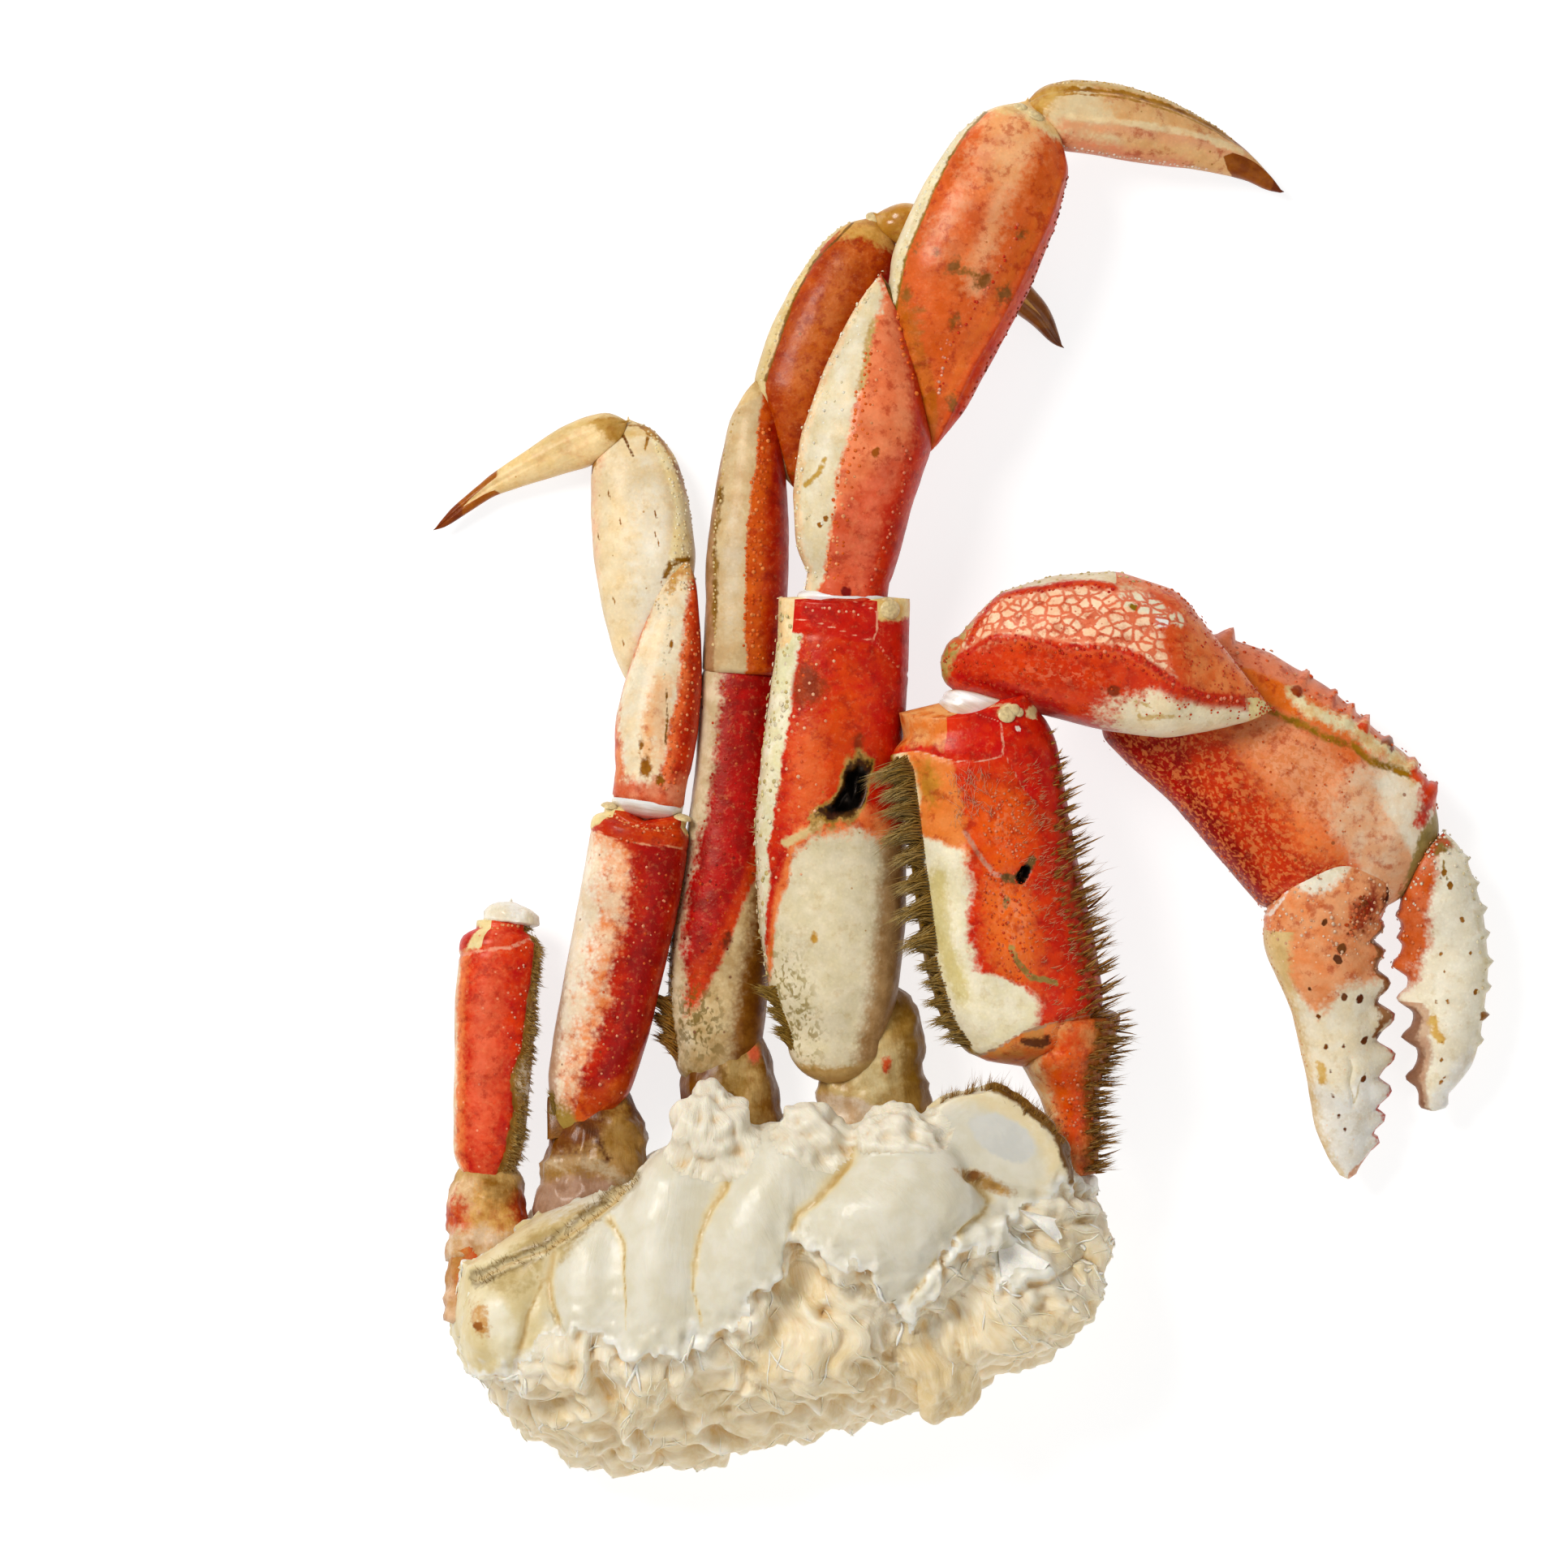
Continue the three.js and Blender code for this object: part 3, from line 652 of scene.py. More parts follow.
def shell_zones(p, base, zones, mottle, grains):
    """The base colours with each zone laid over them, its edge moved by noise."""
    wander = p.add(p.noise(3.6, 3, 0.6), p.times(p.noise(1.1, 3, 0.7), 0.9))
    wander = p.less(p.add(wander, p.times(grains, 0.35)), 1.07)
    shade = p.mix(mottle, *base)
    for attribute, a, b, edge, warp in zones:
        field = p.add(p.attribute(attribute), p.times(wander, 3.4 * warp))
        soft = edge / 2 + 0.75 * max(warp - 0.25, 0)
        shade = p.mix(p.ramp(field, -soft, soft), shade, p.mix(mottle, a, b))
    return shade


def shell_worms(p, shade, size, share, paint, where):
    pattern = p.noise(size, 2, 0.55, 0.6, p.stretched(1.3, 1, 1))
    pattern = p.less(pattern, p.times(p.cells(size * .8), .25))
    part = p.ramp(p.attribute(where), -1, 4, 0, 0.75)
    return p.mix(p.times(p.ramp(pattern, .42 - share * .3, .56 - share * .3), part), shade, paint)


def shell_net(p, shade, size, width, paint, where):
    line = p.cells(size, "DISTANCE_TO_EDGE", vector=p.wavy(p.stretched(1.25, 1, 1), size, .22 * size))
    line = p.add(line, p.times(p.less(p.noise(0.9, 2), 0.5), 0.3))
    part = p.ramp(p.attribute(where), -0.8, 3.2, 0, 0.85)
    return p.mix(p.times(p.ramp(line, width, width * 0.3), part), shade, paint)


def shell_dots(p, shade, spacing, share, paint, chance):
    near = p.ramp(p.cells(spacing), share, share * 0.5)
    shown = p.ramp(p.cells(spacing, output="Color"), 1 - chance, 1 - chance + 0.02)
    return p.mix(p.times(p.times(near, shown), 0.75), shade, paint)


def shell_specks_and_shade(p, shade):
    """Specks on the red parts, stains on the pale ones, and painted shade: brown growing down each limb's
    sides to its underside.
    """
    split = p.node("ShaderNodeSeparateColor")
    p.link(shade, split.inputs[0])
    redness = p.ramp(p.less(split.outputs[0], split.outputs[1]), .12, .4)
    dark, pale = p.ramp(p.noise(2.4, 5, .7), .5, .66, 0, .7), p.ramp(p.noise(1.0, 4, .7), .52, .68, 0, .2)
    shade = p.mix(p.times(redness, dark), shade, DARK_SPECKS, "MULTIPLY")
    shade = p.mix(p.times(redness, pale), shade, PALE_SPECKS)
    stained = p.times(p.less(1.0, redness), p.ramp(p.noise(2.0, 5, .68), .52, .68, 0, .28))
    shade = p.mix(stained, shade, YELLOW_STAIN, "MULTIPLY")
    # painted shade: the lower a point lies round its limb, the browner it is painted
    return p.mix(p.ramp(p.attribute("rim"), 0.5, -0.45, 0, 0.62), shade, UNDERSIDE_SHADE, "MULTIPLY")


def shell_material(name, base, zones, dots=(), net=None, worms=None, grain=1.0, wet=0.08, streak=0.0):
    """Cooked shell. base and each zone are two colours that a mottling mixes.

    zones: (attribute, colour, colour, edge's width, how far noise moves the edge)
    dots: (spacing, size as a share of it, colour, how many of them show)
    net: (cell size, line width, line colour, attribute of the part that it shows in)
    worms: (size, share, colour, attribute of the part) for squiggles
    """
    p = Paint(name)
    mottle = p.ramp(p.noise(3.4, 5, 0.62), 0.36, 0.64)
    fine = p.noise(0.6, 2, 0.6)
    grains = p.cells(0.75)
    shade = shell_zones(p, base, zones, mottle, grains)
    if worms:
        shade = shell_worms(p, shade, *worms)
    if net:
        shade = shell_net(p, shade, *net)
    for dot in dots:
        shade = shell_dots(p, shade, *dot)
    shade = shell_specks_and_shade(p, shade)
    # lightness: random tone from noise, and painted shade that leaves the gaps between grains darker than
    # their tops
    light = p.add(p.ramp(p.noise(9.0, 3, 0.6), 0.3, 0.7, 0.9, 1.08), p.ramp(grains, 0.1, 0.5, 0.03, -0.03))
    light = p.add(light, p.ramp(fine, .3, .7, -.025, .025))
    tint = p.node("ShaderNodeVectorMath", operation="SCALE")
    p.link(shade, tint.inputs[0])
    p.link(light, tint.inputs["Scale"])
    height = p.add(p.ramp(grains, 0.0, 0.5, 1.0, 0.0), p.times(fine, 0.5))
    normal = p.bump(height, 0.3 * grain, 0.08)
    normal = p.bump(p.noise(2.2, 3, 0.6), 0.35 * grain, 0.25, normal)
    if streak:
        normal = p.bump(p.noise(1.0, 3, 0.6, 0.3, p.stretched(7, 0.8, 0.8)), streak, 0.3, normal)
    roughness = p.ramp(p.noise(1.3, 3, 0.6), 0.3, 0.7, 0.3, 0.5)
    return p.finish(tint.outputs[0], roughness, normal, Coat_Weight=wet, **SHELL_GLOSS)


def paint_material(name, roughness=(0.35, 0.6), grain=0.5, wet=0.3):
    """For heaps of small shapes: the colour is in the attribute "paint"."""
    p = Paint(name)
    stained = p.ramp(p.noise(0.7, 3), 0.3, 0.7, 0.0, 0.35)
    shade = p.mix(stained, p.attribute("paint", "Color"), "6a4a2a", "MULTIPLY")
    normal = p.bump(p.noise(0.35, 3, 0.6), grain, 0.1)
    rough = p.ramp(p.noise(0.9, 2), 0.3, 0.7, *roughness)
    return p.finish(shade, rough, normal, Coat_Weight=wet, **GRAIN_GLOSS)


def add_piece(obj, material, slot, *nodes):
    obj.data.materials.append(material)
    if nodes:
        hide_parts(*nodes)
    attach(obj, "root")


def limb_piece(skin, slot, base, zones, relief=0.0, **looks):
    """Turns a skin into a finished piece.

    A zone is a patch of colour where a field of the skin is above 0: the field, two colours, the width of
    its edge in millimetres and how far the edge wanders. A net and worms end in the field they show in.
    """
    lumps = 0.35 * (layered(skin.pos, 9.0, 3, 3) - 0.5) + 0.12 * (layered(skin.pos, 2.4, 2, 9) - 0.5)
    skin.push(lumps + relief)
    name = skin.node + "_shell"
    obj = skin.to_object(name)
    # rim is how high a point lies round the limb; it sets the painted shade on the limb's lower side
    fields = {"limb": skin.local, "rim": skin.top}
    named = []
    for number, (field, *paint) in enumerate(zones):
        fields[f"zone_{number}"] = field
        named.append((f"zone_{number}", *paint))
    for key in ("net", "worms"):
        if key in looks:
            *pattern, fields[key + "_at"] = looks[key]
            looks[key] = (*pattern, key + "_at")
    for key, values in fields.items():
        set_attribute(obj, key, skin.with_ends(values))
    add_piece(obj, shell_material(name, base, named, **looks), slot, skin.node)


# ---------------------------------------------------------------- heaps of small shapes
TOWARD = np.array((0.3, 0.9, 0.2))  # the way that small shapes face


def frames_on(normals):
    """Axes for shapes that stand on a surface; the third one is the normal."""
    normals = normals / np.linalg.norm(normals, axis=-1, keepdims=True)
    first = np.cross(np.broadcast_to(TOWARD, normals.shape), normals)
    first /= np.maximum(np.linalg.norm(first, axis=-1, keepdims=True), 1e-6)
    return np.stack([first, np.cross(normals, first), normals], axis=-1)


def linear(paints):
    return np.array([colour(c)[:3] for c in paints])


def halves(quads):
    return np.concatenate([quads[:, [0, 1, 2]], quads[:, [0, 2, 3]]])


def pointed_faces(rings, around):
    """The triangles of rings of points that close in one last point."""
    j = np.arange(around)
    last = (rings - 1) * around
    tips = np.stack([last + j, last + (j + 1) % around, np.full(around, rings * around)], -1)
    return np.concatenate([halves(grid_faces(rings, around)), tips])


class Heap:
    """Many small shapes joined into one mesh, each with its own colour."""

    def __init__(self):
        self.verts, self.faces, self.paints, self.count = [], [], [], 0

    def add(self, verts, faces, paints):
        """verts (n, m, 3), faces (f, 3) of one shape, paints (n, m, 3) or (n, 1, 3)."""
        n, m = verts.shape[:2]
        self.verts.append(verts.reshape(-1, 3))
        self.paints.append(np.broadcast_to(paints, (n, m, 3)).reshape(-1, 3))
        starts = self.count + np.arange(n)[:, None, None] * m
        self.faces.append((starts + faces[None]).reshape(-1, faces.shape[1]))
        self.count += n * m

    def domes(self, places, normals, width, height, paints, around=6, rings=2, sink=0.25):
        """Rounded bumps: half balls of that radius and height."""
        n = len(places)
        lift = np.linspace(0, np.pi / 2, rings + 1)[:-1]
        turn = np.arange(around) * 2 * np.pi / around
        ring = np.stack([np.outer(np.cos(lift), np.cos(turn)), np.outer(np.cos(lift), np.sin(turn)),
                         np.outer(np.sin(lift), np.ones(around))], -1).reshape(-1, 3)
        shape = np.concatenate([ring, [[0, 0, 1]]])
        size = np.stack(np.broadcast_arrays(width, width, height), -1).astype(float)
        size = np.broadcast_to(size, (n, 3))
        local = shape[None] * size[:, None]
        local[..., 2] -= sink * size[:, None, 2]
        verts = places[:, None] + np.einsum("nij,nmj->nmi", frames_on(normals), local)
        self.add(verts, pointed_faces(rings, around), np.asarray(paints)[:, None])

    def strands(self, roots, along, facing, length, width, thick, bend, root_paint, tip_paint,
                sides=3, steps=3, point=0.12):
        """Hairs, spines and shreds: tapered strips from the roots, bent by a vector that grows squared."""
        n = len(roots)
        along = along / np.linalg.norm(along, axis=1, keepdims=True)
        side = np.cross(along, facing)
        side /= np.maximum(np.linalg.norm(side, axis=1, keepdims=True), 1e-6)
        other = np.cross(side, along)
        t = np.linspace(0, 1, steps + 1)
        taper = (1 - t[:-1]) ** 0.6 * (1 - point) + point
        turn = np.arange(sides) * 2 * np.pi / sides
        length, width, thick = (np.broadcast_to(np.asarray(size, float), n)[:, None, None, None]
                                for size in (length, width, thick))
        straight = along[:, None] * t[None, :, None] * length[..., 0]
        spine = roots[:, None] + straight + bend[:, None] * (t**2)[None, :, None] * length[..., 0]
        wide = side[:, None, None] * (np.cos(turn)[None, None, :, None] * width)
        deep = other[:, None, None] * (np.sin(turn)[None, None, :, None] * thick)
        around = (wide + deep) * taper[None, :, None, None]
        verts = np.concatenate([(spine[:, :-1, None] + around).reshape(n, -1, 3), spine[:, -1:]], 1)
        blend = np.append(np.repeat(t[:-1], sides), 1)[None, :, None]
        paints = root_paint[:, None] * (1 - blend) + tip_paint[:, None] * blend
        self.add(verts, pointed_faces(steps, sides), paints)

    def to_object(self, name):
        obj = mesh_object(name, np.concatenate(self.verts), np.concatenate(self.faces))
        paints = np.concatenate(self.paints)
        set_attribute(obj, "paint", np.concatenate([paints, np.ones((len(paints), 1))], axis=1))
        return obj


def walk(skin, line, spacing, jitter=0.0):
    """(u, across) at even steps in millimetres along a line of (u, across) pairs."""
    u, across = np.array(line, float).T
    half = skin.half_at(u)
    steps = np.hypot(np.diff(u) * skin.length, np.diff(across) * (half[1:] + half[:-1]) / 2)
    reach = np.concatenate([[0], np.cumsum(steps)])
    at = np.arange(spacing / 2, reach[-1], spacing)
    at = at + rng.normal(0, 0.25 * spacing, len(at))
    out_u = np.interp(at, reach, u) + rng.normal(0, jitter, len(at)) / skin.length
    aside = rng.normal(0, jitter, len(at)) / np.maximum(skin.half_at(out_u), 0.5)
    return out_u, np.interp(at, reach, across) + aside


def drawn_from(paints, count):
    """That many colours, each drawn from a few."""
    return linear(paints)[rng.integers(0, len(paints), count)]


def grains(heap, skin, line, spacing, radius, paints, jitter=0.2, height=0.8):
    """A row of granules along a line on a limb."""
    places, normals = skin.spot(*walk(skin, line, spacing, jitter))
    size = radius * rng.uniform(0.7, 1.25, len(places))
    heap.domes(places, normals, size, size * height, drawn_from(paints, len(places)))


def grains_over(heap, skin, field, count, radius, paints, height=0.8):
    """Granules spread over the part of a limb where a field is above 0."""
    rows, columns = np.nonzero((field > 0) & (skin.top > -0.4))
    pick = rng.integers(0, len(rows), count)
    places = skin.pos[rows[pick], columns[pick]] + rng.normal(0, 0.18, (count, 3))
    normals = skin.nor[rows[pick], columns[pick]]
    size = radius * rng.uniform(0.65, 1.3, count)
    heap.domes(places, normals, size, size * height, drawn_from(paints, count))


def with_teeth(skin, side, spots):
    """Blunt points along a skin's edge, left for side -1: (u, height, half width) of each."""
    near = smooth_step(.62, .98, side * skin.across)
    out = sum(height * np.clip(1 - np.abs(skin.s - u * skin.length) / half, 0, 1) ** .8
              for u, height, half in spots)
    skin.pos = skin.pos - skin.side * (side * near * out)[..., None]
    skin.normals()


def wrinkles(skin, places, depth, width=.9):
    """Folds round a limb's base, each at (u at the left, in the middle, at the right)."""
    wave = .16 * (layered(skin.pos, 5, 3, 61) - .5)
    creased = 1 - 2 * np.abs(layered(skin.pos, 6, 3, 8) - .5)
    folds = 0
    for place in places:
        behind = skin.u + wave - np.interp(skin.across, (-1, 0, 1), place)
        folds = folds + depth * bell(behind * skin.length, 0, width)
    return folds + 1.8 * (creased - .75)


def specks(skin, look, places):
    """Zones of one look, each a small blob at (u, across, radius)."""
    return [(skin.blob(u, across, radius, radius * .8), *look) for u, across, radius in places]


def shifted(line, step):
    """A line of pairs with the second of each moved by a step."""
    return [(first, second + step) for first, second in line]


red_grains, cream_grains, hair, flaps, shreds = (Heap() for _ in range(5))

# ---------------------------------------------------------------- the broken leg
skin = SKINS["broken_leg_merus"]
comb_foot = ((0, -.3), (.09, .25), (.21, .45), (.28, .52), (.37, .6), (.43, .52), (.48, .45), (.54, .6),
    (.57, .68), (.68, .74), (.79, .8), (.9, .82), (1, .9))
limb_piece(skin, "red_shell", ("d9452b", "bf2a18"), [
    (skin.blob(.55, -.2, 17, 2.6), "e66a4c", "dc5a3e", 3, 1.2),
    (skin.left_of((0, -.7), (.85, -.78)), "e8834a", "e27645", 1.2, .5),
    (skin.left_of((0, -.93), (.9, -.95)), "efd7b4", "e9c08e", .6, .4),
    (skin.stroke(.28, (.87, -1), (.89, -.28), (.9, .24), (.94, .9)), "eba084", "e58a6a", .3, .15),
    (skin.beyond((-1, .885), (-.45, .895)) - 6 * (skin.across > -.42), "e6d29c", "dcc284", .6, .4),
    (skin.blob(.925, -.93, 2.2, 1.3), "c8381c", "c22c18", .4, .2),
    (skin.right_of(*comb_foot), "b88a48", "9c6e38", .3, .25),
    (skin.blob(.475, .86, 3.0, 1.3), "f0e0c4", "e6cfa8", .8, .5),
    (skin.before((-1, .05), (0, .03), (1, .08)), "a07a3c", "c2a263", .6, .4),
],
    relief=-.25 * bell(skin.beyond((-1, .87), (-.28, .89), (.24, .9), (.9, .94)), 0, .35)
        - .35 * smooth_step(-.2, .4, skin.right_of(*comb_foot)),
    dots=[(1.6, .18, "f0a080", .35)])
grains(red_grains, skin, ((.955, -.4), (.975, .1), (.97, .75)), .75, .32, ("f2b27c", "eda06a"), .08)
grains_over(red_grains, skin, skin.blob(.7, .55, 12, 1.5), 26, .2, ("f0a88c",))

skin = SKINS["broken_leg_stump"]
limb_piece(skin, "white_wall", ("ece4d2", "e2d6bc"), [
    (skin.blob(.5, .3, 3, 1.2), "f4f0e6", "e9dfca", .8, .8),
],
    relief=.9 * (layered(skin.pos, 2.0, 3, 17) - .5), wet=.5, streak=.5)

skin = SKINS["broken_leg_ischium"]
limb_piece(skin, "cream_shell", ("d6a868", "c08a48"), [
    (skin.blob(.62, -.7, 4.5, 2.2), "e2c49a", "d2a878", 1.2, .8),
    (skin.blob(.3, -.8, 4.2, 2.2), "d4582c", "c24a24", 1.6, 1.2),
    (skin.blob(.5, .85, 4, 1.4), "c8502c", "a8441e", 1.2, .9),
    (skin.blob(.8, .3, 4.5, 3.2), "b08a54", "8f6230", 1.6, 1.0),
    (skin.before((-1, .3), (1, .25)), "dcc0a0", "c89a64", 2.0, 1.2),
    (skin.beyond((-1, .74), (0, .8), (1, .72)), "c9a468", "b08a50", 1.4, .9),
],
    relief=wrinkles(skin, ((.7, .55, .75), (.3, .2, .35)), .4), streak=.5)

skin = SKINS["broken_leg_coxa"]
limb_piece(skin, "red_shell", ("c99456", "b07c44"), [
    (skin.left_of((0, .5), (1, .3)), "dc6a3a", "d05a32", 3.0, 1.4),
    (skin.beyond((-1, .74), (1, .6)), "dcb894", "c49462", 2.4, 1.4),
],
    relief=wrinkles(skin, ((.7, .65, .7),), .4), streak=.5)

# ---------------------------------------------------------------- the third leg
skin = SKINS["third_leg_merus"]
edge = ((0, -.1), (.06, -.1), (.14, -.06), (.21, -.12), (.3, -.08), (.35, 0), (.44, .03), (.49, 0),
    (.58, .04), (.64, .04), (.73, 0), (.8, -.04), (.85, -.12), (.9, -.6))
rim = ((-1, .9), (-.35, .88), (.32, .89), (1, .9))
limb_piece(skin, "red_shell", ("eee0ca", "e8d2b0"), [
    (skin.blob(.45, -.45, 12, 2.4), "efe2cc", "ecdcc0", 2.4, 1.2),
    (skin.right_of(*shifted(edge, -.48)), "e88a52", "ecc8a4", 2.4, 2.4),
    (skin.right_of(*edge), "c43a1c", "a82410", 1.2, 1.3),
    (skin.right_of(*shifted(edge, .35)), "b0240c", "9c1808", 2.0, 1.1),
    (skin.right_of((0, .7), (.3, .8), (1, .9)), "c8442a", "b22a18", 1.6, .6),
    (skin.before((-1, .17), (0, .16), (.5, .2), (1, .3)) - 9 * (skin.across < -.15),
        "dd6a32", "c84a22", 2.5, 1.0),
    (skin.beyond(*rim), "cf4c2a", "bb3620", .4, .2),
    (skin.stroke(.18, (.9, -.9), (.88, -.35), (.89, .32), (.9, .9)), "e9a37c", "de8a60", .25, .12),
    (skin.beyond((-1, .9), (-.78, .93), (-.6, 1.2)), "ecd79a", "dcc07c", .5, .3),
    (skin.beyond((.74, 1.2), (.9, .945), (1, .93)), "ecd79a", "dcc07c", .5, .3),
    (skin.left_of((0, -.7), (.3, -.86), (.6, -1.1)), "c9a58a", "b98f70", 1.2, .5),
    (skin.before((-1, .12), (-.3, .1), (.3, .045), (1, .05)), "a98a48", "8d6c34", 1.2, 1.0),
],
    relief=-.16 * bell(skin.beyond(*rim), 0, .35) + .12 * smooth_step(-.4, .6, skin.beyond(*rim)),
    dots=[(1.9, .16, "7a3a1c", .25)])
grains(red_grains, skin, ((.955, -.9), (.955, -.5), (.945, -.1), (.95, .3), (.96, .8)), .8, .33,
    ("ef9a66", "e9864e"), .1)
grains(red_grains, skin, ((.975, -.8), (.965, -.3), (.965, .3), (.975, .8)), .8, .28,
    ("f2b184", "e9864e"), .1)
for shift, step, size in ((.06, 2.4, .26), (.2, 3.0, .24), (.33, 2.4, .3), (.58, 2.6, .26), (.78, 3.4, .24)):
    grains(red_grains, skin, shifted(edge[2:-1], shift), step, size,
        ("d8643c", "e07a50", "cf5230", "e89a78"), .6, .6)
grains_over(red_grains, skin, skin.right_of(*edge) * (skin.u > .7), 40, .24, ("e98a68",))

skin = SKINS["third_leg_carpus"]
edge = ((0, .15), (.08, .3), (.19, .35), (.29, .35), (.45, .45), (.61, .42), (.77, .47), (.96, .75))
limb_piece(skin, "cream_shell", ("ecd4ac", "e9dcc0"), [
    (skin.stroke(1.0, (.2, -.15), (.36, -.15), (.47, -.05)), "e9a468", "ecc090", 1.6, .9),
    (skin.stroke(.9, (.2, .2), (.36, .1), (.5, .12)), "ecc79c", "eab98c", 1.6, .9),
    (skin.left_of((0, -.72), (.2, -.8), (.36, -1.02)), "df6a40", "e58a56", .9, .6),
    (skin.right_of(*edge), "e27444", "da5f34", .9, .5),
    (skin.right_of(*shifted(edge, .22)), "cf4426", "c0391f", 1.4, .5),
    (skin.before((-1, .08), (0, .1), (1, .16)), "dc8a68", "cf5f40", 1.6, .9),
    (skin.beyond((-1, .9), (0, .9), (1, .93)), "e2b778", "d0a060", .8, .8),
    (skin.blob(.155, -.15, 1.7, .9), "a0682c", "7c4a1e", .5, .4),
    (skin.blob(.23, -.33, 1.3, .35), "b07c3c", "8c5a24", .4, .3),
    (skin.blob(.11, .3, 1.0, .6), "96602a", "7c4a1e", .4, .3),
    (skin.blob(.64, .08, .9, .4), "a87434", "8c5a24", .3, .2),
    (skin.stroke(.16, (.47, .12), (.36, .25), (.25, .3)), "6e4a1c", "8a5f28", .2, .1),
    (skin.blob(.89, -.4, 1.4, .8), "b07c3c", "c99a52", .5, .5),
],
    relief=.22 * np.clip(skin.right_of(*edge), 0, 1), dots=[(2.4, .13, "a87434", .3)])
for shift, step, size in ((.04, 1.15, .36), (.2, 1.2, .36), (.36, 1.4, .3), (.52, 1.8, .26)):
    grains(red_grains, skin, shifted(edge[1:-1], shift), step, size, ("ea8050", "e26c3e", "f0a070"), .25)
grains(cream_grains, skin, ((.5, .05), (.62, -.05), (.75, -.2), (.86, -.5)), .9, .28, ("f0e2c0",), .3)
grains_over(cream_grains, skin, skin.beyond((-1, .72), (0, .78), (1, .9)), 70, .24, ("f2e4c4", "e6c58c"))

skin = SKINS["third_leg_propodus"]
keel = ((.4, .6), (.47, .5), (.55, .62), (.66, .73), (.76, .69), (.87, .6), (.97, .8))
limb_piece(skin, "cream_shell", ("ead7b2", "e6cda0"), [
    (skin.blob(.45, .2, 12, 3), "efe6d2", "eadcc0", 3, 1.4),
    (skin.left_of((.35, -1.1), (.5, -.86), (.7, -.86), (.9, -.7), (1, -.6)), "edc29a", "e8cfa6", 1.2, .5),
    (skin.right_of(*keel), "ecdfb8", "e6cf98", .7, .4),
    (skin.beyond((-1, .9), (.4, .93), (1, .9)), "dcb978", "e6cfa0", .8, .6),
    (skin.stroke(.22, (.8, -1), (.92, -.98), (.965, -.75), (.93, -.3), (.85, 0)),
        "8a5a22", "6e4418", .25, .12),
    (skin.stroke(.2, (.965, -.5), (.965, .7), (.93, .75), (.87, .35)), "8a5a22", "b08040", .25, .15),
    (skin.stroke(.35, (.97, 1), (.9, .93), (.8, .95), (.7, 1)), "96642a", "c29450", .5, .4),
    (skin.stroke(.4, (.47, .85), (.46, .57), (.41, .43)), "7c5220", "966a2c", .5, .35),
    (skin.blob(.87, -.95, 2.2, .5), "a06e30", "c29450", .5, .4),
] + [(skin.stroke(.13, (u, a), (u - .03, a + .04)), "a8763a", "8a5a28", .15, .08)
     for u, a in ((.63, -.42), (.575, .26), (.545, .3), (.73, -.62), (.65, .3),
                  (.35, -.72), (.2, -.66), (.58, -.88), (.4, .35))],
    relief=.25 * smooth_step(0, .8, skin.right_of(*keel)), dots=[(2.6, .1, "b08444", .4)])
for shift, size in ((.06, .26), (.2, .3), (.34, .26)):
    grains(cream_grains, skin, shifted(keel, shift), .85, size, ("f0e4c2", "e8d3a0"), .12)

skin = SKINS["third_leg_dactyl"]
limb_piece(skin, "cream_shell", ("e8cc98", "e2c084"), [
    (skin.before((-1, .1), (0, .12), (1, .2)), "c9a05a", "b0803c", 1.0, .8),
    (skin.right_of((0, .72), (1, .78)), "d9b878", "e3c68c", .6, .4),
    (skin.beyond((-1, .66), (-.45, .67), (0, .84), (.3, .78), (.5, .64), (1, .62)),
        "a8641c", "985412", .5, .2),
    (skin.beyond((-1, .86), (0, .84), (1, .85)), "8a4a12", "74380e", .8, .3),
],
    relief=-.18 * bell(skin.across - .05, 0, .2) * (skin.top > 0),
    dots=[(2.2, .13, "b07c3c", .45)], streak=.4)

skin = SKINS["third_leg_coxa"]
limb_piece(skin, "brown_shell", ("b08a58", "9c7440"), [
    (skin.before((-1, .24), (0, .34), (1, .2)), "b8947c", "a07a60", 1.6, .9),
    (skin.stroke(.7, (.36, -1), (.42, -.3), (.34, .4), (.26, 1)), "d0bb9a", "b89468", .9, .8),
    (skin.beyond((-1, .45), (-.2, .5), (.2, .66), (1, .7)), "7c4c18", "643a10", 2.4, 1.3),
    (skin.blob(.66, .5, 4.5, 2.4), "b48c50", "9a6e34", 2.4, 1.4),
    (skin.stroke(.4, (.45, .2), (.6, -.1), (.7, -.6)), "5e3c12", "5b3a14", .7, .7),
],
    relief=wrinkles(skin, ((.36, .44, .3), (.78, .74, .62)), .6, .8)
        - .5 * bell(skin.stroke(0, (.26, -1), (.34, 0), (.2, 1)), 0, .8),
    wet=.2, streak=.5)

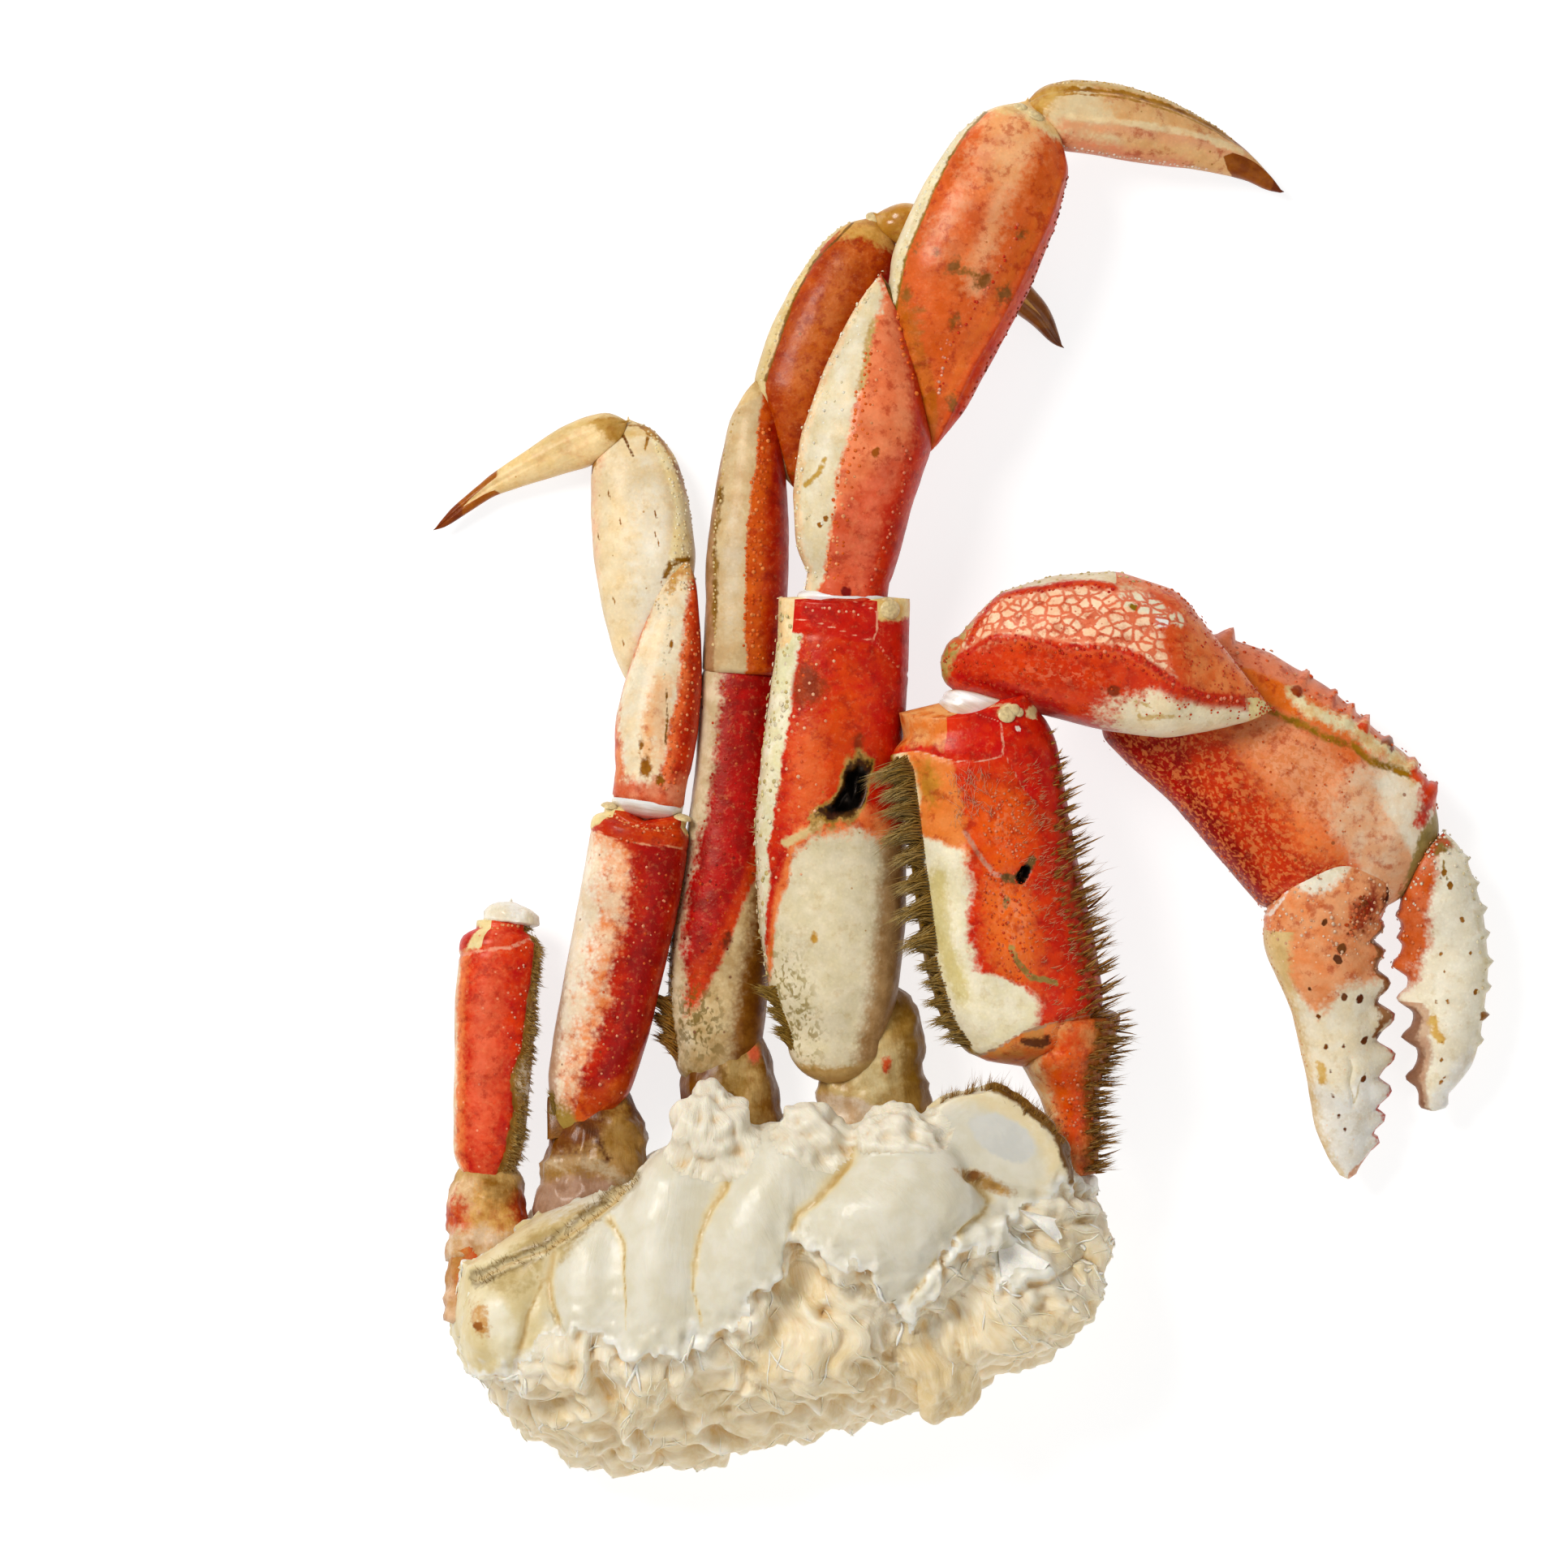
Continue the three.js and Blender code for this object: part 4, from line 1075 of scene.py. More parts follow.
# ---------------------------------------------------------------- the second leg, which stands furthest back
skin = SKINS["second_leg_merus"]
left = ((0, -.6), (.19, -.63), (.3, -.73), (.39, -.85), (.5, -.83), (.6, -.67), (.68, -.63), (.74, -.56),
    (.84, -.5), (.93, -.6))
low = ((-1, .12), (-.6, .17), (-.3, .2), (0, .27), (.2, .34), (.3, .39), (.5, .45), (1, .52))
# painted shade: this leg's reds are deeper than the other legs' reds, as for a leg lying in shade
limb_piece(skin, "red_shell", ("b42c0e", "961a06"), [
    (skin.before(*shifted(low, .1)), "c8482a", "b8371c", 3.5, 1.4),
    (skin.before(*low), "d4bc90", "bb9c6c", 1.8, 1.2),
    # painted shadow: brown down the leg's right side
    (skin.right_of((0, .25), (.3, .5), (.5, .62), (.62, 1.1)), "926232", "74481c", 2.4, 1.0),
    (skin.left_of(*left), "dccaa8", "c7b088", 1.2, 1.0),
    (skin.left_of((0, -.9), (.4, -.97), (1, -1.1)), "8a6a38", "6e4f28", .5, .4),
    (skin.beyond((-1, .94), (0, .93), (1, .93)), "a22212", "8c180c", .3, .15),
    (skin.beyond((-1, .975), (1, .98)), "c4703c", "a5522c", .3, .3),
    (skin.before((-1, .05), (0, .04), (1, .1)), "8a6c34", "a08048", 1.5, 1.0),
    (skin.blob(.33, .1, 1.4, .8), "7c3c18", "5e2c12", .6, .5),
],
    relief=-.25 * bell(skin.beyond((-1, .94), (0, .93), (1, .93)), 0, .4),
    dots=[(2.0, .2, "6a1c0e", .35)],
    worms=(1.1, .28, "6c5a14", np.minimum(skin.blob(.15, -.4, 9, 6), 2 + skin.before((-1, .3), (1, .26)))))
for shift, step, size in ((.08, 2.0, .3), (.3, 2.4, .3), (.55, 2.6, .28), (.8, 3.0, .26)):
    grains(red_grains, skin, shifted(left[4:], shift), step, size, ("b8401f", "a83218", "cf6a44"), .6, .6)
    grains(red_grains, skin, shifted(left[2:5], shift), step, size, ("c9502c", "8c3018"), .5)
grains(red_grains, skin, ((.975, -.9), (.98, 0), (.975, .9)), .9, .3, ("e08a58", "cf6236"), .1)

skin = SKINS["second_leg_carpus"]
edge = ((.04, .1), (.15, .02), (.35, 0), (.48, -.03), (.6, .02), (.72, .15), (.84, .22), (.95, .5))
limb_piece(skin, "orange_shell", ("d2ba90", "c6a678"), [
    (skin.blob(.35, -.35, 9, 1.5), "d6c4a6", "ccb48e", 1.6, .6),
    (skin.left_of((0, -.72), (.3, -.74), (.6, -.85), (1, -1.2)), "b9906a", "a17850", .5, .3),
    (skin.stroke(.3, (.15, -.74), (.43, -.8), (.62, -.86)), "7c5a30", "9c7840", .5, .4),
    (skin.right_of(*edge), "d2622e", "c04e22", .5, .3),
    (skin.right_of(*shifted(edge, .45)), "bc401c", "a83014", 1.8, .5),
    (skin.beyond((-1, .9), (0, .92), (1, .98)), "d9bc88", "b8935c", .5, .4),
],
    dots=[(2.6, .12, "8a5a2c", .3)])
for shift, step in ((0, 1.0), (.18, 1.1), (.34, 1.5)):
    grains(red_grains, skin, shifted(edge[:-1], shift), step, .36, ("e2703a", "d85e2c", "e98a50"), .18)
grains(cream_grains, skin, ((.1, -.74), (.43, -.82), (.7, -.9), (.9, -.8)), .95, .3,
    ("e0c690", "c9a668"), .15)

skin = SKINS["second_leg_propodus"]
keel = ((0, -.8), (.32, -.8), (.47, -.78), (.61, -.86), (.77, -.93), (.95, -.97))
limb_piece(skin, "orange_shell", ("b85426", "a64419"), [
    (skin.blob(.55, -.1, 12, 2.2), "cf7440", "c4642f", 2.5, 1.4),
    (skin.right_of((0, .5), (1, .6)), "a23c18", "962f12", 1.8, .7),
    (skin.beyond((-1, .88), (0, .9), (1, .9)), "d9ab62", "c08a42", 1.0, 1.0),
    (skin.left_of(*keel), "e2cf9c", "d6bb80", .25, .12),
    (skin.stroke(.17, *keel[1:]), "6e4c1e", "8a6228", .2, .12),
],
    relief=.35 * smooth_step(0, .5, skin.left_of(*keel)), dots=[(2.2, .16, "8a5a28", .3)])
grains(cream_grains, skin, shifted(keel[1:], -.07), .9, .32, ("efe0b4", "dfc68e"), .12)

skin = SKINS["second_leg_dactyl"]
limb_piece(skin, "brown_shell", ("b98032", "d0a050"), [
    (skin.stroke(.35, (.2, -.1), (.9, 0)), "e2b860", "d9a848", .4, .15),
    (skin.beyond((-1, .5), (-.3, .62), (0, .85), (.4, .6), (1, .5)), "a0681c", "8a5414", .8, .2),
    (skin.beyond((-1, .86), (0, .9), (1, .86)), "84501a", "6e4010", .8, .2),
],
    relief=-.15 * bell(skin.across, 0, .25) * (skin.top > 0), wet=.6, streak=.4)

skin = SKINS["second_leg_ischium"]
limb_piece(skin, "cream_shell", ("a88450", "84592a"), [
    # painted highlight: lighter in the middle
    (skin.blob(.5, .1, 8, 3.2), "c2a26a", "a07c44", 2.4, 1.4),
    # painted shade: darker brown along the left side
    (skin.left_of((0, -.3), (1, -.2)), "7c5222", "6b4216", 2.6, 1.2),
    (skin.stroke(.5, (.9, -.4), (.6, -.2), (.4, .1), (.2, .1)), "8c6a38", "7a5626", .9, .7),
    (skin.blob(.75, .6, 1.6, 1.0), "d9694a", "c25a3c", .6, .5),
    # painted shade: darker brown along the right side
    (skin.right_of((0, .8), (1, .8)), "8a6232", "744c20", 1.2, .7),
],
    relief=wrinkles(skin, ((.3, .38, .3),), .4), wet=.2, streak=.4)

# ---------------------------------------------------------------- the first leg
skin = SKINS["first_leg_merus"]
strip = ((0, -1.1), (.2, -1.0), (.34, -.9), (.41, -.83), (.49, -.83), (.55, -.77), (.67, -.71), (.75, -.68),
    (.85, -.68), (.91, -.65), (.97, -.72))
pale_end = ((-1, .2), (-.88, .24), (-.78, .32), (-.6, .4), (-.5, .46), (-.26, .5), (0, .51), (.37, .52),
    (.6, .5), (1, .46))
hole = ((.65, .36), (.6, .3), (.555, .12), (.54, -.12))
hole_ends = bell(skin.u, .6, .055)
open_hole = np.minimum(skin.stroke(2.2, *hole), 2.4 * hole_ends - 1.0) + .9 * (noise(skin.pos, 1.6, 7) - .5)
limb_piece(skin, "red_shell", ("cf4022", "bf2f18"), [
    (skin.blob(.7, .1, 11, 3.4), "d9522c", "cf4626", 3, 1.4),
    (skin.blob(.63, -.35, 9, 2.6), "e0683c", "da5a30", 2.5, 1.3),
    (skin.right_of((0, .8), (1, .72)), "c83418", "b42a14", 2, .8),
    (skin.before(*shifted(pale_end, .05)), "ea8a54", "e2703e", 2.4, 1.3),
    (skin.before(*pale_end), "e2d5b6", "d9cba6", 1.8, 1.1),
    (skin.right_of((0, .5), (.3, .6), (.5, .7), (.52, 1.1)), "b89468", "9c7850", 2.4, .8),
    (skin.left_of(*strip), "e9e2c6", "dcd2a6", .45, .4),
    (np.minimum(skin.left_of(*shifted(strip, -.1)), (skin.u - .8) * skin.length),
        "e2dcb4", "d8d0a2", .6, .5),
    (skin.beyond((-1, .905), (-.8, .92), (-.37, .92), (.07, .905), (.43, .9), (1, .84)),
        "c93420", "bd2a1a", .4, .2),
    (skin.beyond((-1, .88), (-.78, .9), (-.7, 1.2)), "ecd9ac", "e6c48c", .6, .4),
    (skin.beyond((.48, 1.2), (.5, .95), (.75, .95), (1, .955)), "f0dc9c", "e8bc70", .6, .35),
    (skin.stroke(.15, (.95, -.8), (.94, -.37), (.92, .07), (.905, .45), (.93, .51), (.97, .5), (1, .46)),
        "eeb296", "e69a7a", .2, .1),
    (skin.stroke(.13, (.905, .5), (.87, .7), (.85, .9)), "e98f6e", "e27e5c", .2, .1),
    (skin.blob(.81, -.45, 3.2, 2.6), "8a3a20", "a84426", 1.4, .9),
    (skin.blob(.7, .35, 1.4, .9), "a0421e", "8c3a1c", .6, .4),
    (skin.stroke(.75, *hole[2:], (.51, -.35), (.49, -.6)), "dcc08a", "cdb07a", .6, .35),
    # painted shade going into the hole: tan at its edge, then dark brown, then near black inside
    (open_hole + .5, "c09a5c", "a07838", .5, .35),
    (open_hole + .1, "5c4224", "44301a", .4, .3),
    (open_hole - .4, "15100b", "241a10", .5, .3),
    (skin.blob(.3, -.26, .95, .6), "c89a4c", "b98a42", .5, .3),
    (skin.before((-1, .04), (0, .03), (1, .05)), "c9a870", "b8935c", .8, .6),
],
    relief=-.2 * bell(skin.beyond((-1, .905), (-.37, .92), (.43, .9), (1, .84)), 0, .3)
        - 3.0 * smooth_step(0, 1.6, open_hole),
    dots=[(2.4, .1, "a8763a", .3)],
    worms=(1.2, .22, "86701e",
        np.minimum(skin.blob(.16, -.75, 14, 6), 3 + skin.left_of((0, .2), (.2, -.45), (.4, -.7)))))
grains(red_grains, skin, ((.975, -.6), (.975, -.2), (.965, .3)), 1.1, .3, ("f0b090", "eda080"), .15)
for shift, step, size in ((.08, 1.9, .34), (.28, 2.8, .34), (.5, 4.2, .28)):
    grains(red_grains, skin, shifted(strip[3:-1], shift), step, size, ("f2b892", "ee9c74", "e0603a"), .4)
grains_over(cream_grains, skin, skin.left_of(*strip) * (skin.u > .22), 330, .42,
    ("ece0c0", "e6d8b0", "d8c890", "c9b478"), .45)
grains(red_grains, skin, ((.9, -.6), (.86, -.5), (.84, -.35)), .6, .34, ("e8603c", "d9482a"), .3)

skin = SKINS["first_leg_carpus"]
edge = ((0, -.9), (.04, -.75), (.1, -.55), (.2, -.35), (.3, -.28), (.39, -.31), (.47, -.28), (.56, -.27),
    (.65, -.23), (.72, -.19), (.8, -.17), (.85, -.1), (.92, .35), (1, .6))
limb_piece(skin, "red_shell", ("ded2b4", "d8c69e"), [
    (skin.blob(.55, -.6, 13, 1.2), "e6dcc4", "dfd2b2", 1.5, .6),
    (skin.left_of((0, -.85), (.5, -.9), (1, -.8)), "ecd3ac", "e2c090", .5, .5),
    (skin.right_of(*edge), "ec8c62", "e27850", .7, .6),
    (skin.before((-1, .1), (0, .36), (1, .6)) - 8 * (skin.right_of(*edge) < .2),
        "de6e50", "d2583c", 3.5, 1.2),
    (skin.right_of((0, .45), (.4, .66), (.7, .78), (1, .9)), "cf4229", "c03420", 1.8, .8),
    (skin.stroke(.35, *shifted(edge[8:12], .02)), "a68a4a", "c0a868", .7, .6),
    (skin.before((-.8, .04), (.4, .05), (1, .09)), "c23420", "a82a18", .8, .4),
    (skin.stroke(.1, (.56, .28), (.53, .45), (.5, .61)), "7c3418", "8a3c1c", .15, .08),
    (skin.blob(.48, .2, .8, .5), "a0582c", "8c4a22", .3, .3),
    (skin.blob(.07, 0, .9, .9), "8c2c1c", "7c2416", .4, .2),
    (skin.stroke(.35, (.36, -.8), (.4, -.62), (.44, -.58)), "c09a50", "b08a40", .4, .3),
    (skin.blob(.27, -.43, .55), "96602a", "8c5a28", .2, .1),
    (skin.blob(.25, -.54, .5), "96602a", "8c5a28", .2, .1),
    (skin.beyond((.5, 1.1), (.7, .93), (1, .88)), "4c3a1c", "7c5a2c", .5, .3),
],
    relief=.2 * np.clip(skin.right_of(*edge) / .8, 0, 1),
    worms=(1.3, .16, "e07c58", skin.blob(.3, .15, 9, 3.2)))
for shift, step, size in ((.02, .95, .36), (.14, 1.1, .34), (.28, 1.9, .28)):
    grains(red_grains, skin, shifted(edge[2:11], shift), step, size, ("e8743c", "dd6230", "f0a070"), .22)
grains(red_grains, skin, ((.9, .95), (.84, .83), (.77, .74), (.72, .82), (.66, .88)), 1.5, .42,
    ("e0622e", "ea8040"), .1, 1.3)
grains(red_grains, skin, ((.52, .6), (.48, .7), (.37, .8), (.28, .74), (.19, .66), (.08, .5)), 1.0, .3,
    ("e88a6a", "d9563a"), .35)
grains(cream_grains, skin, ((.03, -.97), (.3, -.95), (.6, -.95), (.8, -.93), (.95, -.8)), .85, .36,
    ("f0e6ca", "e9d6a8"), .2)
grains_over(cream_grains, skin, skin.left_of(*edge) * (skin.across < -.5), 120, .26, ("f2ecd8", "e9dcb4"))

skin = SKINS["first_leg_propodus"]
keel = ((.33, -.9), (.38, -.86), (.46, -.83), (.56, -.83), (.68, -.85), (.77, -.9), (.86, -.95), (.93, -.98))
limb_piece(skin, "orange_shell", ("d8683a", "cc5c30"), [
    (skin.blob(.72, -.1, 13, 4.4), "e88e5c", "e07c48", 4, 1.8),
    (skin.stroke(1.3, (.84, 0), (.72, .08), (.64, .12), (.53, .2), (.45, .28)),
        "e8a67a", "e39a6a", 2.4, 1.3),
    (skin.blob(.9, -.2, 9, 5), "ebb07e", "e6a06a", 3.5, 1.6),
    (skin.blob(.62, -.16, 4.5, 1.8), "c85a34", "cf6238", 2.0, .9),
    (skin.right_of((0, .35), (.4, .55), (.7, .72), (1, .9)), "dc6638", "d65c34", 1.4, .6),
    (skin.right_of((.1, .55), (.35, .78), (.6, .84), (.84, .92)), "d2401f", "dc5428", .8, .4),
    (skin.stroke(.6, (.16, .35), (.35, .58), (.6, .72), (.8, .85)), "e27438", "dc6a34", 1.4, .8),
    (skin.before((-1, .42), (-.5, .3), (0, .1)) - 8 * (skin.across > .1), "cf7038", "b8632c", 2.0, 1.2),
    (skin.beyond((-1, .93), (0, .945), (.6, .92), (1, .9)), "ead09c", "e2b878", .9, .7),
    (skin.left_of(*keel), "e9ddbb", "e2d0a0", .25, .1),
    (skin.stroke(.16, *keel), "8a6a30", "a07c3c", .2, .12),
    (skin.blob(.37, -.75, 1.3, .7), "8c5a2c", "a0683a", .9, .7),
] + [(skin.blob(u, a, .75, 1.35), "e49870", "e08c60", 1.8, .9) for u, a in
     ((.85, -.4), (.8, -.5), (.76, -.44), (.71, -.46), (.66, -.4), (.61, -.48), (.56, -.54), (.51, -.5))]
  + specks(skin, ("94603a", "7c4e28", .5, .7), (
      (.485, -.15, 1.2), (.475, .33, 1.5), (.46, .68, 1.3), (.51, -.74, .6),
      (.51, -.44, .5), (.35, .14, .8), (.63, .58, .6), (.14, .5, .8)))
  + [(skin.stroke(.3, (.48, 0), (.485, .2)), "9c683c", "8a5a30", .5, .6)]
  + [(skin.stroke(.15, (u, -.66), (u + .012, -.4)), "a85e30", "b86a38", .7, .4)
     for u in (.34, .305, .28, .25, .23, .2)],
    relief=.4 * smooth_step(0, .5, skin.left_of(*keel))
        + .3 * bell(skin.right_of((.1, .55), (.35, .78), (.6, .84), (.84, .92)), 0, .5),
    dots=[(2.3, .1, "a85a2c", .3)])
grains(cream_grains, skin, shifted(keel, -.06), .8, .34, ("f0e8cc", "e8d8ac"), .14)
grains(red_grains, skin, ((.67, .47), (.59, .51), (.51, .47), (.41, .37), (.33, .29), (.26, .18), (.16, .01)),
    1.25, .3, ("cf3e24", "e87a5a"), .25)
grains(red_grains, skin, ((.3, .1), (.22, .05), (.15, .02)), .9, .28, ("f0b49a", "e88a6c"), .35)
grains(red_grains, skin, ((.12, .93), (.4, .98), (.6, .98), (.85, 1)), .85, .34, ("c8442a", "8c3a1c"), .12)

skin = SKINS["first_leg_dactyl"]
upper = ((.05, -.7), (.15, -.72), (.25, -.74), (.36, -.77), (.44, -.77), (.51, -.78), (.59, -.82),
    (.7, -.84), (.8, -.93))
ridge = ((.15, .1), (.25, .08), (.38, 0), (.49, -.05), (.59, -.2), (.69, -.28), (.8, -.5))
limb_piece(skin, "cream_shell", ("e4b680", "dca870"), [
    (skin.before((-1, .2), (.2, .34), (1, .4)), "ddc69c", "e0c394", 2.5, 1.2),
    (skin.stroke(.9, *shifted(ridge, .22)), "e0a57c", "dfa274", 1.6, .5),
    (skin.stroke(.5, *ridge), "ebd2a4", "e6c696", .6, .3),
    (np.minimum(skin.right_of((0, .5), (.3, .62), (.7, .8)), (.62 - skin.u) * skin.length),
        "e3906a", "e09c70", 1.6, .7),
    (skin.left_of(*shifted(upper, -.08)), "dfc28a", "cda562", .3, .3),
    (skin.stroke(.38, *upper), "8a5a1e", "b07c34", .35, .25),
    (skin.stroke(.15, *shifted(upper, .14)), "a8743a", "c29450", .2, .15),
    (skin.before((-1, .12), (-.2, .08), (1, .05)), "b8863e", "d0a860", .9, .9),
    (skin.beyond((-1, .78), (-.85, .77), (-.6, .9), (-.3, 1.2)), "8a4c10", "9c5a14", .35, .12),
    (skin.beyond((-.62, .92), (-.42, .86), (-.2, .77), (.2, .74), (.7, .77), (1, .8)),
        "9c5a16", "85480a", .35, .12),
    (skin.beyond((-1, .95), (1, .95)), "6e380c", "7a420e", .6, .2),
],
    relief=.25 * bell(skin.right_of(*ridge), 0, .6) - .25 * bell(skin.right_of(*upper), 0, .35),
    dots=[(2.1, .13, "9c6a30", .4)], streak=.3)
grains(cream_grains, skin, ((.16, .9), (.35, .93), (.6, .93), (.72, .93)), .62, .26,
    ("f6e6d2", "f0cfb8"), .1)
grains(cream_grains, skin, ((.08, -.95), (.4, -.96), (.76, -.97)), .6, .28, ("e6cc98", "c9a05a"), .12)

skin = SKINS["first_leg_ischium"]
limb_piece(skin, "cream_shell", ("ccb27c", "b4925a"), [
    (skin.blob(.5, -.1, 7, 3.0), "dcc898", "c8ac74", 2.0, 1.2),
    (skin.beyond((-1, .6), (0, .66), (1, .6)), "c2a468", "a88650", 1.6, .9),
    # painted shade: darker brown down the right side
    (skin.right_of((0, .5), (1, .6)), "a07c44", "8a6634", 1.8, .9),
    (skin.blob(.45, .25, 1.1, .7), "e0562c", "d8643a", .5, .4),
    (skin.blob(.6, -.4, 1.6, 1.0), "d9a94a", "cf9c40", .8, .5),
    (skin.before((-1, .34), (-.3, .28), (0, .2)) - 8 * (skin.across > 0), "dcc8b0", "c0a07c", .8, .4),
],
    relief=wrinkles(skin, ((.34, .24, .3), (.7, .56, .72)), .45), wet=.2, streak=.4)

# ---------------------------------------------------------------- the claw arm
skin = SKINS["claw_merus"]
cream_right = ((0, -.2), (.08, -.14), (.12, 0), (.15, .12), (.19, .18), (.24, .08), (.27, -.17), (.3, -.42),
    (.4, -.46), (.5, -.36), (.57, -.33), (.61, -.36), (.64, -.6), (.67, -.85), (.7, -1.1))
seam_low = ((-1, .075), (-.59, .09), (-.14, .12), (.28, .13), (.83, .13), (1, .13))
plates = ((-1, .89), (-.76, .89), (-.27, .84), (.08, .835), (.31, .835), (.49, .74), (.63, .69),
    (.85, .66), (1, .65))
with_teeth(skin, -1, ((.885, 1.8, 2.6),))
limb_piece(skin, "red_shell", ("dc4420", "cc3414"), [
    (skin.blob(.66, .12, 8, 5.5), "e8602a", "e25424", 3, 1.2),
    (skin.blob(.38, .05, 10, 4.4), "ea6a30", "e2703a", 2.6, 1.2),
    # the shell's deeper red, with painted shade: darker brown-red towards the right edge
    (skin.right_of((0, .8), (.4, .84), (.7, .86), (.9, .88)), "c24416", "9a3810", 2.4, 1.0),
    (skin.left_of((.55, -.34), (.62, -.3), (.75, -.3), (.87, -.36), (1, -.6)) - 9 * (skin.u < .54),
        "e6894a", "df7a3c", .8, .6),
    (skin.left_of((.6, -.8), (.7, -.86), (.78, -.78), (.9, -.86), (.97, -.95)), "efdfb4", "eab070", .6, .45),
    (skin.blob(.8, -.66, 2.6, 1.4), "c98a3c", "b87a34", 1.6, .8),
    (skin.blob(.94, -.93, 2.4, 1.4), "e25a28", "dd6a34", .6, .4),
    (skin.left_of(*cream_right), "f0e6ca", "e8dcb6", 1.3, .8),
    (skin.stroke(1.5, (.55, -.72), (.45, -.78), (.35, -.72), (.25, -.68)), "dccd96", "d2c084", 1.5, .7),
    (skin.left_of((0, -.88), (.3, -.9), (.6, -.92), (.8, -.97)), "a8801e", "927226", .7, .35),
    (skin.beyond(*plates), "d83c20", "c82c16", .3, .12),
    (skin.beyond((-1, .9), (-.76, .905), (-.4, .88), (-.27, 1.2)), "dd7a3c", "e5a468", 1.0, .5),
    (skin.stroke(.16, (1, .4), (.92, .39), (.86, .33), (.835, .28),
                 (.83, .08), (.84, -.27), (.87, -.6), (.89, -.8)),
        "ecaf98", "e29a80", .2, .08),
    (skin.stroke(.14, (.84, .31), (.74, .49), (.69, .63)), "e79880", "dd8468", .2, .1),
    (skin.blob(.965, .5, 1.9, 1.5), "f0e2b0", "e8d08e", .5, .3),
    (skin.blob(.93, .86, 1.3, .9), "efdca6", "e6c68a", .4, .3),
    (skin.blob(.895, .58, .55, .45), "f4e6dc", "ecd8cc", .2, .1),
    (skin.stroke(.35, (.66, -.31), (.6, -.19), (.54, -.04), (.52, .14)), "d99a84", "b87a60", .4, .15),
    (skin.stroke(.75, (.555, .44), (.53, .34), (.515, .2), (.525, .08)), "7a5c3a", "5e4630", .5, .25),
    # painted shadow: near black inside the pit
    (skin.stroke(.95, (.535, .35), (.515, .27)), "0f0b08", "1a120c", .25, .15),
    (skin.blob(.46, .05, 1.1, .55), "8a7048", "a8845a", .4, .3),
    (skin.stroke(.55, (.345, .01), (.31, .04), (.26, .16), (.235, .44)), "b89858", "8a6c3c", .3, .2),
    (skin.before(*seam_low), "d9713a", "cf8a4c", .4, .2),
    (skin.before(*seam_low) - 9 * (np.abs(skin.across - .62) > .42), "d8562c", "e08248", .8, .8),
    (skin.stroke(.22, *[(u, a) for a, u in seam_low]), "c9a68c", "b08a6c", .2, .12),
    (skin.stroke(.7, (.1, -.12), (.085, .1), (.09, .24)), "4c2a16", "6b3f1a", .4, .4),
],
    relief=-.35 * bell(skin.beyond(*plates), 0, .35) - .3 * bell(skin.beyond(*seam_low), 0, .4)
        - 2.4 * smooth_step(-.1, .9, skin.stroke(.95, (.535, .35), (.515, .27)))
        + .5 * bell(skin.stroke(0, (.6, -.34), (.5, -.5), (.3, -.62), (.15, -.6)), 0, 1.6) * (skin.top > 0),
    worms=(1.0, .3, "ea8c60", np.maximum(skin.blob(.66, .15, 5.5, 3.2), skin.blob(.42, .1, 9, 4.0))),
    streak=.2)
grains_over(red_grains, skin, skin.blob(.42, .05, 11, 4.5), 260, .22, ("e2785a", "dd6440", "d04a26"), .6)
grains_over(red_grains, skin, skin.blob(.66, .2, 6, 4.0), 160, .2, ("e8906c", "e07850"), .6)

skin = SKINS["claw_ischium"]
limb_piece(skin, "orange_shell", ("d96a38", "d9905a"), [
    (skin.blob(.55, .0, 9, 3.0), "dc4c20", "e0602c", 2.0, 1.4),
    (skin.left_of((0, -.5), (1, -.75)), "e4c494", "dca468", 1.4, 1.2),
    (skin.right_of((0, .45), (1, .5)), "8a4a1c", "a0602a", 2.0, 1.0),
],
    relief=.6 * (layered(skin.pos, 3, 3, 12) - .5), streak=.4)
grains_over(red_grains, skin, skin.blob(.5, .1, 9, 3.4), 90, .24, ("e8906c", "d8603a"), .6)

